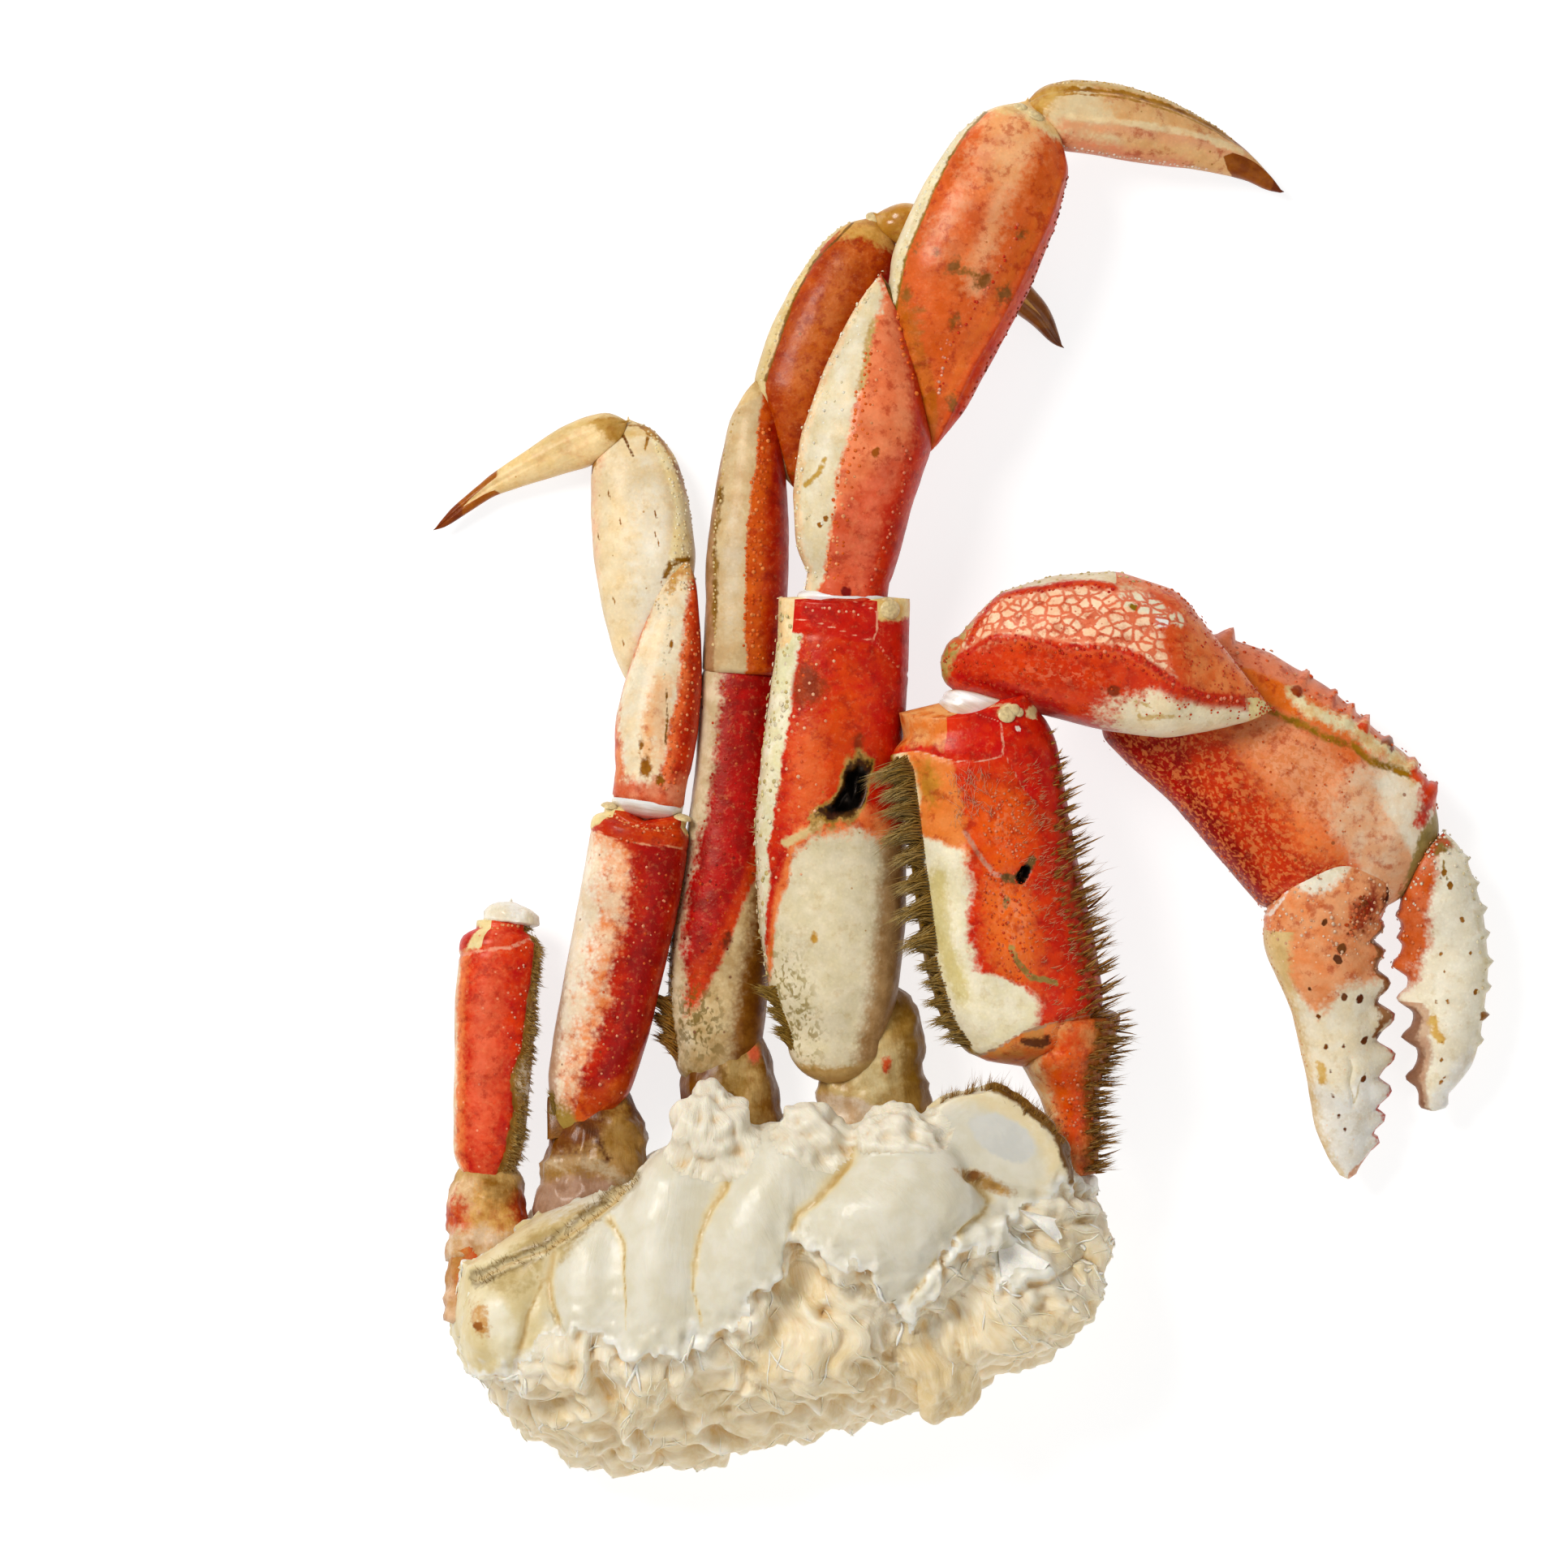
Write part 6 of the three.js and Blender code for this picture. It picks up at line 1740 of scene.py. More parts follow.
def meat_relief(points, edges, fibre, owner, wall, stump):
    """Height of the torn meat: bundles of fibres, folds, pits and the slit; lumps on the leg stumps."""
    x, y = flat_place(points)
    along, across, z = fibre[:, 0], fibre[:, 1], points[:, 2]
    strength = smoothed(ROUGHNESS[owner], edges, 3)
    threads = layered(fibre / (5, 1, 1), 1.3, 2, 40) - .5
    large = bundles(along + 1.1 * z, across + .3 * z, 12, 4.4, 3)
    small = bundles(along, across, 4.5, 1.5, 4)
    folds = ridges(fibre / (1.9, 1, 1), 7.5, 3, 42)
    knobs = layered(points, 4.6, 3, 43)
    fine_folds = ridges(points, 2.4, 2, 44)
    height = strength * (2.3 * (large - .6) + .8 * (small - .6) + 1.3 * threads + 5.6 * (folds - .8))
    height = height + 2.4 * np.exp(np.minimum(wall, 0) / 3.5) * (fine_folds - .6)
    height = height + stump * (4.4 * (knobs - .48) + 1.3 * (fine_folds - .62))
    height = height - 1.3 * np.exp(np.minimum(wall, 0) / 3.0) * (1 - stump)
    for cx, cy, radius, depth in PITS:
        pit = oval(x, y, cx, cy, radius * 1.8, radius, 60 + 7 * cx)
        height = height - depth * smooth_step(-.6, .7, pit)
    return height - 2.0 * bell(line_distance(x, y, SLIT), 0, .9) * (z > 8)


def groove_fields(points):
    """Distance from the nearest groove, less for a strong one, and how deep the valley round it is."""
    x, y = flat_place(points)
    hard, valley = np.full(len(x), 9.0), np.zeros(len(x))
    wobble = .7 * (layered(points, 3.0, 3, 51) - .5)
    for line, start, end in GROOVES:
        near, done = line_distance(x + wobble, y + wobble, line, True)
        depth = start + (end - start) * done
        hard = np.minimum(hard, near / depth)
        valley = np.maximum(valley, depth * np.exp(-near / 3.6))
    return hard, valley


def sheet_relief(points, wall, hard, valley):
    """Height of the white walls: grooves, the torn edge, the pad's rim and the band."""
    x, y = flat_place(points)
    height = .9 - 2.4 * valley - .5 * np.exp(-(hard / .8) ** 2) + 1.5 * (layered(points, 12, 3, 52) - .5)
    inward = np.maximum(wall, 0)
    height += 3.8 * np.exp(-inward / 4.2) * (ridges(points, 3.0, 3, 54) - .62) + .5 * np.exp(-inward / .8)
    height += .7 * bell(line_distance(x, y, RIM), 0, .7) * (y < 12)
    height += .9 * smooth_step(-.4, .6, np.minimum(BAND_WIDTH - line_distance(x, y, BAND), 1))
    for cx, cy, radius in PAD_PITS:
        height -= 1.2 * smooth_step(-.4, .6, oval(x, y, cx, cy, radius * 1.5, radius, 20))
    return height


def flatten_pad(points, normals, x, y):
    """Pulls the pad onto the plane that fits it best."""
    inside = oval(x, y, *PAD)
    upper = normals[:, 2] > .3
    plane = np.stack([x, y, 1 + 0 * x], 1)
    fitted = (inside > .4) & upper
    level, *_ = np.linalg.lstsq(plane[fitted], points[fitted, 2], rcond=None)
    points[:, 2] += (plane @ level - .2 - points[:, 2]) * .9 * smooth_step(-.3, 2.2, inside) * upper


points, quads = remeshed(WALLS + MEATS, VOXEL, grow=CLOSING)
edges = edges_of(quads, len(points))
wall = wall_field(points, quads)
points = smoothed(points, edges, 26, .1 + .5 * smooth_step(-.3, .8, wall))
normals = normals_of(points, quads)
points = points - (CLOSING - KEPT_CLOSING) * normals
x, y = flat_place(points)
owner = owners(points)
stump = smooth_step(.0, 1.2, smoothed(1.0 * (owner >= FIRST_STUMP), edges, 3) * 2 - .6)
chunk = smoothed(1.0 * (owner == CHUNK), edges, 4)
wall = np.where(stump > .3, -4, wall)
fibre, way = fibres(points, owner)
hard, valley = groove_fields(points)
rim_line, inside_pad = line_distance(x, y, RIM), oval(x, y, *PAD)
lip = smooth_step(-.15, .35, wall)
meat_height = meat_relief(points, edges, fibre, owner, wall, stump)
height = lip * sheet_relief(points, wall, hard, valley) + (1 - lip) * meat_height
height = height * smooth_step(.5, 6, points[:, 2])
height = lip * smoothed(height, edges, 1) + (1 - lip) * smoothed(height, edges, 3) * 1.15
cavity = smoothed(height, edges, 12) - height
points = points + normals * height[:, None]
flatten_pad(points, normals, x, y)
points = smoothed(points, edges, 1, .5)
points[:, 2] = np.maximum(points[:, 2], 0)
x, y = flat_place(points)


def wall_material(name, zones):
    p = Paint(name)
    mottle = p.ramp(p.noise(6.0, 4, 0.6), 0.35, 0.65)
    wander = p.less(p.add(p.noise(2.8, 3), p.times(p.noise(0.8, 2), 0.6)), 0.8)
    shade = p.mix(mottle, "e0dac8", "d8d0b8")
    for attribute, a, b, edge, warp in zones:
        field = p.add(p.attribute(attribute), p.times(wander, 2.4 * warp))
        shade = p.mix(p.ramp(field, -edge / 2, edge / 2), shade, p.mix(mottle, a, b))
    # painted shade: golden in the hollows
    shade = p.mix(p.ramp(p.attribute("cavity"), .25, 1.3, 0, .5), shade, "d2ae6c")
    creases = p.noise(2.0, 4, 0.6, 0.4, p.stretched(4, 1.2, 1.2))
    normal = p.bump(creases, 0.3, 0.5)
    normal = p.bump(p.noise(0.6, 3, 0.6), 0.25, 0.1, normal)
    rough = p.ramp(p.noise(1.8, 3, 0.6), 0.3, 0.7, 0.34, 0.56)
    return p.finish(shade, rough, normal, **WALL_GLOSS)


def meat_material(name, loose=False):
    """The meat, and its loose shreds, whose shade is in the attribute "paint"."""
    p = Paint(name)
    threads = p.noise(0.9, 4, 0.65, 0.3, p.place if loose else p.stretched(6, .8, .8))
    if loose:
        shade = p.attribute("paint", "Color")
    else:
        shade = p.mix(p.ramp(p.noise(6.0, 3), 0.35, 0.65), "eedebc", "e4cea0")
        shade = p.mix(p.ramp(p.attribute("stump"), .2, .8, 0, .8), shade, "e4decd")
        shade = p.mix(p.ramp(p.attribute("torn"), -9, -1, 0, .8), shade, "e9e0ca")
        shade = p.mix(p.ramp(p.attribute("chunk"), .1, .9, 0, .65), shade, "d9be86")
        # painted shade and light: gold to deep gold in the hollows, near white on the crests
        shade = p.mix(p.ramp(p.attribute("cavity"), .0, .8, 0, .75), shade, "dcb26a")
        shade = p.mix(p.ramp(p.attribute("cavity"), .7, 1.8, 0, .75), shade, "bc8430")
        shade = p.mix(p.ramp(p.attribute("cavity"), -.1, -.8, 0, .8), shade, "fbf4e4")
    shade = p.mix(p.ramp(threads, .35, .7, 0, .3), shade, "faf2e0")
    normal = p.bump(threads, .6, .5)
    normal = p.bump(p.noise(.5, 3, .6), .35, .14, normal)
    rough = p.ramp(p.noise(1.0, 3), .3, .7, .34, .56)
    return p.finish(shade, rough, normal, Subsurface_Scale=(.2 if loose else 1.8) * MM, **MEAT_GLOSS)


left_part = np.minimum(16.5 - x, 8.0)
gold_seam, crack, border = (-line_distance(x, y, GROOVES[k][0]) for k in (GOLD_SEAM, CRACK, BORDER))
wall_zones = [
    (left_part, "e2d4ac", "d6c290", 3.0, 1.0),
    (oval(x, y, 8.5, 36, 6, 2.6, 75), "ece4cc", "e2d6b2", 2.0, 1.0),
    (np.minimum(oval(x, y, 15, 23, 10, 3.4, -40), 9), "cdb681", "ae935a", 2.4, 1.4),
    (1.2 + border, "8e7440", "6e5628", 1.4, .8),
    (.6 + gold_seam, "8c7434", "6b5424", .6, .5),
    (.2 + crack, "c2a468", "a88c50", .4, .3),
    (oval(x, y, 5.1, 34.6, 2.6, 1.2, 70), "d0a064", "b8803c", 1.4, 1.7),
    (oval(x, y, 4.7, 35.4, .9, .7), "a0622c", "8a5424", .5, .5),
    # along each groove: a beige band with a golden line in it, painted shade with some of the seams' own
    # colour
    (1.1 - hard * .9, "e6d8b2", "dcc898", 1.6, .6),
    (.5 - hard, "d2b680", "be9a5a", 1.1, .2),
    (np.minimum(3 - rim_line, inside_pad), "eee4cc", "e4d2a8", 3.0, .6),
    (oval(x, y, 94.4, 3.2, 6.4, 3.3, 30), "cfcdc4", "d8d5cb", .9, .5),
    (np.minimum(.55 - rim_line, 12.5 - y), "8a6428", "6e4c1c", .4, .25),
    (oval(x, y, 80.0, 1.2, 1.5, 1.2), "e0d88c", "d6c878", .8, .5),
    (oval(x, y, 91.4, 10.8, 4.0, 1.2, 22), "c49a58", "a8783c", 1.2, .9),
    (oval(x, y, 89.4, 9.8, 1.4, .8, 22), "8a5a20", "74481a", .8, .6),
    (1.8 - wall, "f0ede3", "ebe5d4", 2.4, .9),
]


def part_of_shoulder(name, chosen, attributes):
    used, faces = np.unique(quads[chosen], return_inverse=True)
    obj = mesh_object(name, points[used], faces.reshape(-1, 4))
    for key, values in attributes.items():
        set_attribute(obj, key, values[used])
    return obj


on_wall = (wall[quads] > 0).all(1)
fields = {f"zone_{number}": zone[0] for number, zone in enumerate(wall_zones)}
white_walls = part_of_shoulder("white_walls", on_wall, {"limb": fibre, "cavity": cavity, **fields})
named_zones = [(key, *zone[1:]) for key, zone in zip(fields, wall_zones)]
add_piece(white_walls, wall_material("white_walls", named_zones), "white_wall", *WALLS)
fields = {"limb": fibre, "cavity": cavity, "stump": stump, "torn": wall, "chunk": chunk}
flaked_meat = part_of_shoulder("flaked_meat", ~on_wall, fields)
add_piece(flaked_meat, meat_material("flaked_meat"), "meat", *MEATS)

# ---------------------------------------------------------------- shreds on the meat and along its torn edges
tree = KDTree(len(points))
for i, spot in enumerate(points.tolist()):
    tree.insert(spot, i)
tree.balance()
final_normals = normals_of(points, quads)


def unit(vectors):
    return vectors / np.maximum(np.linalg.norm(vectors, axis=-1, keepdims=True), 1e-6)


def follow_surface(starts, steps, stride, lift, curl, turn, heading):
    """Points and ups along paths that keep to the surface and lift off it towards their ends."""
    n = len(starts)
    at = points[starts]
    swing = rng.normal(0, turn, n)
    path, ups = [], []
    for step in range(steps + 1):
        near = np.array([tree.find(spot)[1] for spot in at.tolist()])
        up = final_normals[near]
        ahead = way[near] if heading is None else heading
        ahead = unit(ahead - (ahead * up).sum(1, keepdims=True) * up)
        side = np.cross(up, ahead)
        ahead = ahead * np.cos(swing)[:, None] + side * np.sin(swing)[:, None]
        path.append(points[near] + up * (lift * (.1 + (step / steps) ** 2 * curl))[:, None])
        ups.append(up)
        at = points[near] + ahead * stride[:, None]
        swing = swing + rng.normal(0, .12, n)
    path = np.stack(path, 1)
    path[:, 1:-1] = (path[:, :-2] + path[:, 2:] + 2 * path[:, 1:-1]) / 4
    return path, np.stack(ups, 1)


def lay_shreds(starts, steps, stride, width, thick, lift, curl, paints, turn=0.25, heading=None):
    """Strips from each start, along the fibres or towards a heading."""
    n = len(starts)
    path, up = follow_surface(starts, steps, stride, lift, curl, turn, heading)
    along = unit(np.gradient(path, axis=1))
    side = unit(np.cross(along, up))
    over = np.cross(side, along)
    t = np.linspace(0, 1, steps + 1)
    taper = (np.sin(np.pi * np.clip(t * .92 + .04, 0, 1)) ** .5)[None, :, None, None]
    corners = np.array([(1, 0), (.1, 1), (-1, 0), (-.1, -1)])
    ring = side[:, :, None] * corners[:, 0, None] * width[:, None, None, None]
    ring = (ring + over[:, :, None] * corners[:, 1, None] * thick) * taper
    verts = (path[:, :, None] + ring).reshape(n, -1, 3)
    strip = grid_faces(steps + 1, len(corners))[:, [0, 3, 2, 1]]
    shreds.add(verts, halves(strip), drawn_from(paints, n)[:, None])


def choose(chosen, count):
    return rng.choice(np.nonzero(chosen & (final_normals[:, 2] > 0))[0], count)


def spread_of(count, *ranges):
    return [rng.uniform(low, high, count) for low, high in ranges]


on_meat = (wall < -.4) & (points[:, 2] > 5) & (stump < .3)
stride, width, lift = spread_of(240, (.5, 1.1), (.1, .24), (.0, .25))
fine_starts = choose(on_meat & (chunk < .4), 240)
lay_shreds(fine_starts, 7, stride, width, .1, lift, 1.2, ("f4e9cc", "f0e2c0", "faf4e4"))
stride, width, lift = spread_of(70, (.5, 1.1), (.15, .4), (.05, .4))
edge_starts = choose((wall > -1.2) & (wall < .6) & (stump < .3) & (y > 14), 70)
lay_shreds(edge_starts, 6, stride, width, .14, lift, 1.3, ("f6f2e8", "f2ecdc"), .5)
stride, width, lift = spread_of(24, (.3, .6), (.2, .5), (.1, .3))
right_starts = choose((x > 106) & (y > 18) & (points[:, 2] > 8), 24)
to_the_right = np.array((1.0, -.2, 0))
lay_shreds(right_starts, 5, stride, width, .16, lift, 1, ("f4ecd8", "f6f2e6"), .5, to_the_right)


FLAP_LEVEL = 34  # the height at which the surface under a flap is looked for


def torn_flap(corners, lift):
    """A thin sheet that stands off the surface, from one corner to the side between two others."""
    n, thick = 18, .3
    a, b, c = (np.array(corner, float) for corner in corners)
    s, t = np.meshgrid(np.linspace(0, 1, n), np.linspace(0, 1, n), indexing="ij")
    place = a + s[..., None] * ((b - a) * (1 - t[..., None]) + (c - a) * t[..., None])
    place = place + .5 * (s * np.sin(9 * t + a[0]))[..., None]
    x_at, y_at = place[..., 0] + core_low[0], core_high[1] - place[..., 1]
    near = [tree.find((px, py, FLAP_LEVEL))[1] for px, py in zip(x_at.ravel(), y_at.ravel())]
    under = blurred(blurred(points[near, 2].reshape(n, n), 2, 0), 2, 1)
    z_at = under + thick + lift * s * (.4 + (2 * t - 1) ** 2) + .3 * np.sin(7 * s + 4 * t)
    top = np.stack([x_at, y_at, z_at], -1).reshape(-1, 3)
    i, j = np.meshgrid(np.arange(n - 1), np.arange(n - 1), indexing="ij")
    quad = np.stack([i * n + j, (i + 1) * n + j, (i + 1) * n + j + 1, i * n + j + 1], -1).reshape(-1, 4)
    k = np.arange(n - 1)
    border = np.concatenate([k, k * n + n - 1, n * n - 1 - k, (n - 1 - k) * n])
    after = np.roll(border, -1)
    rim = np.stack([border, border + n * n, after + n * n, after], -1)
    sheet = np.concatenate([quad, quad[:, ::-1] + n * n, rim])
    shreds.add(np.concatenate([top, top - (0, 0, thick)])[None], halves(sheet), linear(("f2efe6",))[:, None])


torn_flap(((93.3, 19.1), (102.7, 25.0), (93.5, 27.9)), 1.2)
torn_flap(((97, 15.5), (103.5, 17), (104.5, 22)), 1.0)
add_piece(shreds.to_object("meat_shreds"), meat_material("meat_shreds", True), "meat")


def border_fluff(count):
    """Short brown hairs along the border seam."""
    spots = choose((line_distance(x, y, GROOVES[BORDER][0]) < 1.3) & (wall > 0), count)
    normals = final_normals[spots]
    along = normals * .25 + rng.normal(0, .35, (count, 3)) + (-.3, .6, 0)
    length = rng.uniform(.6, 1.8, count)
    bends = rng.normal(0, .2, (count, 3))
    root, tip = (linear((paint,)).repeat(count, 0) for paint in ("8a6a38", "b89a60"))
    hair.strands(points[spots], along, normals, length, .05, .05, bends, root, tip)


border_fluff(300)

# ---------------------------------------------------------------- hair
ROOT_DEPTH = .3  # of a hair in the skin
HAIR_LIFT = .2  # how far a hair stands up from its way out, as a share of it


def grow_hair(start, end, normals, share, width, curl, bend, roots, tips):
    """Hairs from start towards end; each gets a share of the way, and a curl bent at random."""
    n = len(start)
    along = end - start
    size = np.linalg.norm(along, axis=1) * rng.uniform(*share, n)
    bends = np.asarray(curl, float) + rng.normal(0, bend, (n, 3))
    hair.strands(start - ROOT_DEPTH * normals, along, normals, size, width, width, bends,
                 drawn_from(roots, n), drawn_from(tips, n))


def sprout(skin, u, across, out, length, spread, clump, hairs, width, roots, tips, bend=0.25):
    """Tufts of hair at (u, across); each tuft's hairs draw together towards its tip."""
    places, normals = skin.spot(u, across)
    n = len(places)
    count = n * hairs
    out = np.broadcast_to(np.asarray(out, float), places.shape)
    out = out / np.linalg.norm(out, axis=1, keepdims=True)
    reach = np.broadcast_to(length, n) * rng.uniform(.75, 1.2, n)
    tip = places + (out + HAIR_LIFT * normals + rng.normal(0, spread, (n, 3))) * reach[:, None]
    start = np.repeat(places, hairs, 0) + rng.normal(0, clump, (count, 3))
    end = np.repeat(tip, hairs, 0) + rng.normal(0, clump * .35, (count, 3))
    grow_hair(start, end, np.repeat(normals, hairs, 0), (.7, 1.05), width, (0, 0, 0), bend, roots, tips)


def right(skin, up=0.0, rise=0.1):
    """The direction to a limb's right, tilted towards its far end by up."""
    return -skin.side + up * skin.forward + rise * np.array((0, 0, 1.0))


def spikes(skin, line, step, out, length, thick, roots, tips):
    """Rows of hair tufts that end in a point: a stiff core with hairs round it."""
    u, across = walk(skin, line, step, .3)
    sprout(skin, u, across, out, length, .1, .06, 1, thick, roots, tips, bend=.08)
    sprout(skin, u, across, out, length, .12, thick * 1.1, 6, .06, roots, tips, bend=.1)


def bunches(skin, spots, across, out, length, hairs, reach, roots, tips, curl, width):
    """Wet hair in bunches: each one's roots are spread along the edge, and its tips meet."""
    out = np.asarray(out) / np.linalg.norm(out)
    for spot in spots:
        u = spot + rng.uniform(-1, 1, hairs) * reach / skin.length
        start, normals = skin.spot(u, across + rng.uniform(-.08, .05, hairs))
        middle = skin.spot([spot], [across])[0]
        away = 1 - .55 * np.abs(u - spot) * skin.length / reach
        middle_hair = out * length * rng.uniform(.85, 1.15)
        tip = middle + (middle_hair + (start - middle) * .35) * away[:, None] + rng.normal(0, .3, (hairs, 3))
        grow_hair(start, tip, normals, (.8, 1.05), width, curl, .08, roots, tips)


def leaf(skin, u, across, out, length, width, bend, root, tip, rise):
    """A tough brown flap on a limb's edge."""
    place, _ = skin.spot([u], [across])
    upright = np.array([(0, 0, 1.0)])
    flaps.strands(place + (0, 0, rise), np.array([out]), upright, length, width, .45, np.array([bend]),
                  linear((root,)), linear((tip,)), sides=14, steps=12, point=.3)


DARK_HAIR, GOLD_HAIR = ("6e4418", "845624", "96652c"), ("b98a48", "a87838", "c99f5c")
TAN_HAIR, RED_HAIR = ("c9b078", "b89a60", "a8884c"), ("7c4418", "965a24", "a86a30")
OLD_HAIR = ("946e34", "a47e42", "84602c")
OLIVE_HAIR = ("8a6a34", "7c5c2c")

skin = SKINS["claw_merus"]
outer_edge = ((0, .1, .5, .65, .86), (.99, .99, .99, .98, .97))
for shift, tall in ((0, 4.2), (.06, 3.6), (.13, 3.0), (.21, 2.6), (.3, 2.0)):
    line = [(u, np.interp(u, *outer_edge) - shift) for u in np.linspace(0, .86 - shift, 10)]
    u, across = walk(skin, line, 1.25, .35)
    long = tall * np.interp(u, (0, .2, .6, .86), (1, 1, .9, .4))
    for hairs, clump, thick in ((1, .05, .26), (6, .26, .055)):
        sprout(skin, u, across, right(skin, .35), long, .12, clump, hairs, thick, RED_HAIR, GOLD_HAIR,
               bend=.1)
u, across = rng.uniform(.05, .8, 260), rng.uniform(.25, .72, 260)
sprout(skin, u, across, right(skin, .3), 1.3, .2, .25, 3, .05, ("c98a5c", "d8a070"), ("ecc49a", "e0ac7c"))
bunches(skin, (.84, .79, .74, .68, .62, .55, .48, .4), -.86, -right(skin, -.35, -1.5), 10.5, 170, 3.0,
        OLD_HAIR, TAN_HAIR, curl=(-.15, -.3, -.5), width=.13)
bunches(skin, (.33, .28, .23, .18, .13), -.88, -right(skin, -.45, -.8), 6.0, 100, 2.0,
        OLD_HAIR, TAN_HAIR, curl=(0, -.25, -.3), width=.12)
u, across = rng.uniform(.68, .8, 90), rng.uniform(-.45, .15, 90)
sprout(skin, u, across, skin.forward + np.array((.1, 0, .3)), 2.0, .45, .35, 3, .045,
       ("d89a70", "c98a5c"), ("f2d8bc", "e8c8a4"))

skin = SKINS["claw_ischium"]
for shift, tall in ((0, 3.6), (.1, 3.2), (.22, 2.8), (.36, 2.4), (.52, 2.0)):
    line = ((.02, .98 - shift), (.98, .98 - shift))
    spikes(skin, line, 1.1, right(skin, .2), tall, .24, DARK_HAIR, GOLD_HAIR)

skin = SKINS["claw_socket_pad"]
u, across = rng.uniform(.05, 1, 170), -rng.uniform(.86, 1.0, 170)
sprout(skin, u, across, -right(skin, .25, .05), 2.6, .25, .25, 7, .055, DARK_HAIR, GOLD_HAIR, bend=.15)

skin = SKINS["broken_leg_merus"]
u = rng.uniform(.03, .99, 460)
inner = np.interp(u, *np.array(comb_foot, float).T)
across = inner + (1.0 - inner) * rng.uniform(.1, 1, 460)
uneven = .7 + 1.1 * noise(np.stack([u * 60, u * 0, u * 0], -1), 3.0, 3)
sprout(skin, u, across, right(skin, -.5, 0), uneven, .06, .3, 6, .08,
       ("a87838", "b98a48", "96682c"), ("d6b87c", "c9a868", "b89450"), bend=.1)

skin = SKINS["second_leg_merus"]
u, across = rng.uniform(.1, .5, 90), -rng.uniform(.9, 1, 90)
sprout(skin, u, across, -right(skin, -.6, 0), .9, .12, .35, 6, .08, DARK_HAIR, TAN_HAIR, bend=.15)
bunches(skin, (.17, .13, .09), -.95, -right(skin, -.8, 0), 6.5, 150, 2.4, DARK_HAIR, GOLD_HAIR,
    curl=(0, -.2, 0), width=.16)

skin = SKINS["first_leg_merus"]
bunches(skin, (.17, .13, .09), -.9, -right(skin, -.7, -.1), 5.6, 150, 2.4, OLIVE_HAIR, ("a88a50", "9c7c40"),
    curl=(0, -.2, 0), width=.16)
u, across = rng.uniform(.2, .6, 26), -rng.uniform(.95, 1, 26)
sprout(skin, u, across, -right(skin, .2, 0), 1.1, .15, .05, 2, .09,
    ("8a6c38", "a88848"), ("c9b078", "d9c490"))

skin = SKINS["third_leg_merus"]
bunches(skin, (.1, .05), -.8, -right(skin, -1.4, 0), 4.6, 90, 2.6, OLIVE_HAIR, ("b09050", "9c7c40"),
    curl=(0, -.1, 0), width=.1)
leaf(skin, .03, -.5, -right(skin, -2.6, 0), 7.0, 3.0, (-.1, .1, -.3), "8a5a20", "6e4416", .2)
bunches(skin, (.05, .02), -.3, -right(skin, -4, 0), 6.0, 120, 2.4,
    ("8a5a20", "7a4e1c"), ("a87838", "94662a"),
    curl=(0, .1, -.1), width=.16)

# ---------------------------------------------------------------- knobs on which the next joint turns
KNOBS = (  # limb, u, across, radius
    ("first_leg_merus", .98, .72, 2.0),
    ("claw_merus", .955, .5, 1.7),
    ("claw_merus", .965, .6, 1.3),
    ("claw_merus", .95, .68, 1.0),
    ("third_leg_merus", .985, .9, 1.6),
    ("third_leg_merus", .985, -.9, 1.5),
    ("first_leg_propodus", .97, -.35, 1.3),
    ("first_leg_propodus", .965, .5, 1.6),
    ("second_leg_propodus", .985, .1, 1.6),
)
for node, u, across, radius in KNOBS:
    place, normal = SKINS[node].spot([u], [across])
    outward = normal + SKINS[node].forward * .3
    cream_grains.domes(place, outward, radius, radius * .45, linear(("e6d09c",)),
                       around=18, rings=7, sink=.4)

# ---------------------------------------------------------------- heaps become pieces
for heap, name, slot, looks in (
    (red_grains, "red_granules", "red_shell", dict(wet=.1)),
    (cream_grains, "cream_granules", "cream_shell", dict(wet=.2)),
    (hair, "bristles", "brown_shell", dict(wet=.15, roughness=(.45, .7))),
    (flaps, "base_flaps", "brown_shell", dict(wet=.3, grain=1.0)),
):
    add_piece(heap.to_object(name), paint_material(name, **looks), slot)

# ---------------------------------------------------------------- floor, light and camera
SIZE = CAD_BOX[1] - CAD_BOX[0]
MIDDLE = (CAD_BOX[0] + CAD_BOX[1]) / 2
FLOOR_SIZE = 3.0
FLOOR_GLOW = .78  # keeps the floor as white as the photo's background
LENS, SENSOR = 200.0, 36.0
FRAMED_LEVEL = 0.02  # height of the level that is framed
VIEW_HEIGHT = 1.5027  # of the camera above it
SHIFT = (.1687, .0055)  # how far left of the middle and below it the camera is, as shares of the part


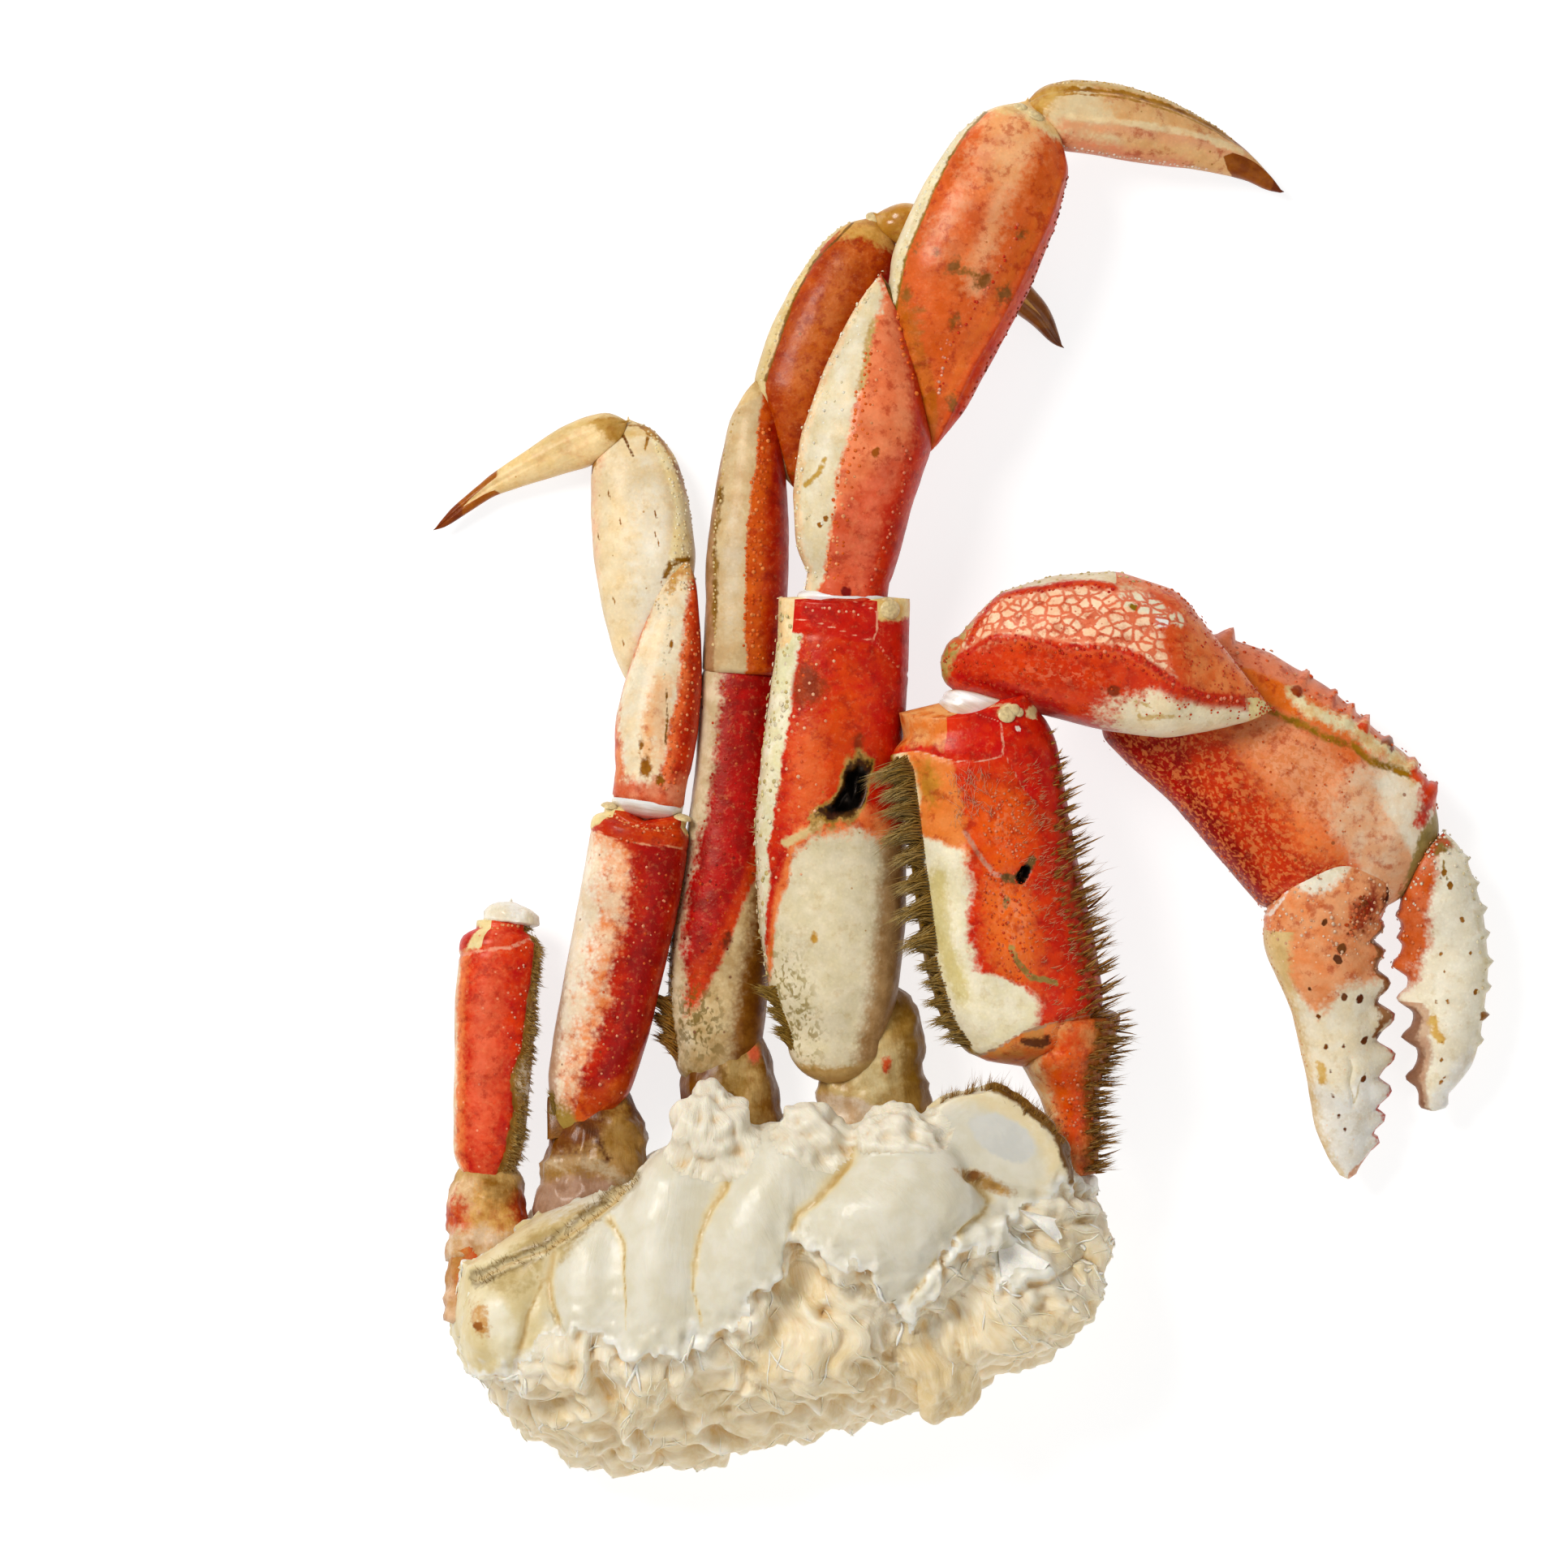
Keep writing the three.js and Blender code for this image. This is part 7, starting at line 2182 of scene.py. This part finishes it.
def floor_material():
    p = Paint("studio_floor")
    shade = p.mix(p.noise(40.0, 2), "a8a8a8", "a4a4a4")
    normal = p.bump(p.noise(0.8, 2), .05, .05)
    p.finish(shade, p.ramp(p.noise(3.0, 2), .3, .7, .75, .85), normal)
    glow = p.node("ShaderNodeEmission")
    glow.inputs["Strength"].default_value = FLOOR_GLOW
    both = p.node("ShaderNodeAddShader")
    p.link(p.shader.outputs[0], both.inputs[0])
    p.link(glow.outputs[0], both.inputs[1])
    p.link(both.outputs[0], p.out.inputs[0])
    return p.material


def add_floor():
    bpy.ops.mesh.primitive_plane_add(size=FLOOR_SIZE, location=(MIDDLE.x, MIDDLE.y, 0))
    floor = bpy.context.object
    floor.name = "studio_floor"
    floor.data.materials.append(floor_material())
    floor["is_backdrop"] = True


def area_light(name, place, size, power, tint=(1, 1, 1)):
    data = bpy.data.lights.new(name, "AREA")
    data.shape, data.size, data.energy, data.color = "DISK", size, power, tint
    lamp = bpy.data.objects.new(name, data)
    bpy.context.scene.collection.objects.link(lamp)
    lamp.location = MIDDLE + Vector(place)
    lamp.rotation_euler = (MIDDLE - lamp.location).to_track_quat("-Z", "Y").to_euler()


def white_world(strength):
    world = bpy.data.worlds.new("studio")
    bpy.context.scene.world = world
    world.use_nodes = True
    colour_input, strength_input = world.node_tree.nodes["Background"].inputs[:2]
    colour_input.default_value = (1, 1, 1, 1)
    strength_input.default_value = strength


def add_camera():
    lens = bpy.data.cameras.new("camera")
    lens.lens, lens.sensor_width, lens.clip_end = LENS, SENSOR, 10
    camera = bpy.data.objects.new("camera", lens)
    bpy.context.scene.collection.objects.link(camera)
    x, y = MIDDLE.x - SHIFT[0] * SIZE.x, MIDDLE.y - SHIFT[1] * SIZE.y
    camera.location = (x, y, FRAMED_LEVEL + VIEW_HEIGHT)
    bpy.context.scene.camera = camera


add_floor()
area_light("key", (-.5, .42, .72), .4, 7.3, (1, .985, .96))
area_light("fill", (.45, -.4, .9), .9, 2.0)
area_light("low_fill", (-.1, -.9, .3), .6, 1.6, (1, .94, .84))
white_world(0.3)
add_camera()
bpy.context.scene.view_settings.view_transform = "Standard"

low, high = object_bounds()
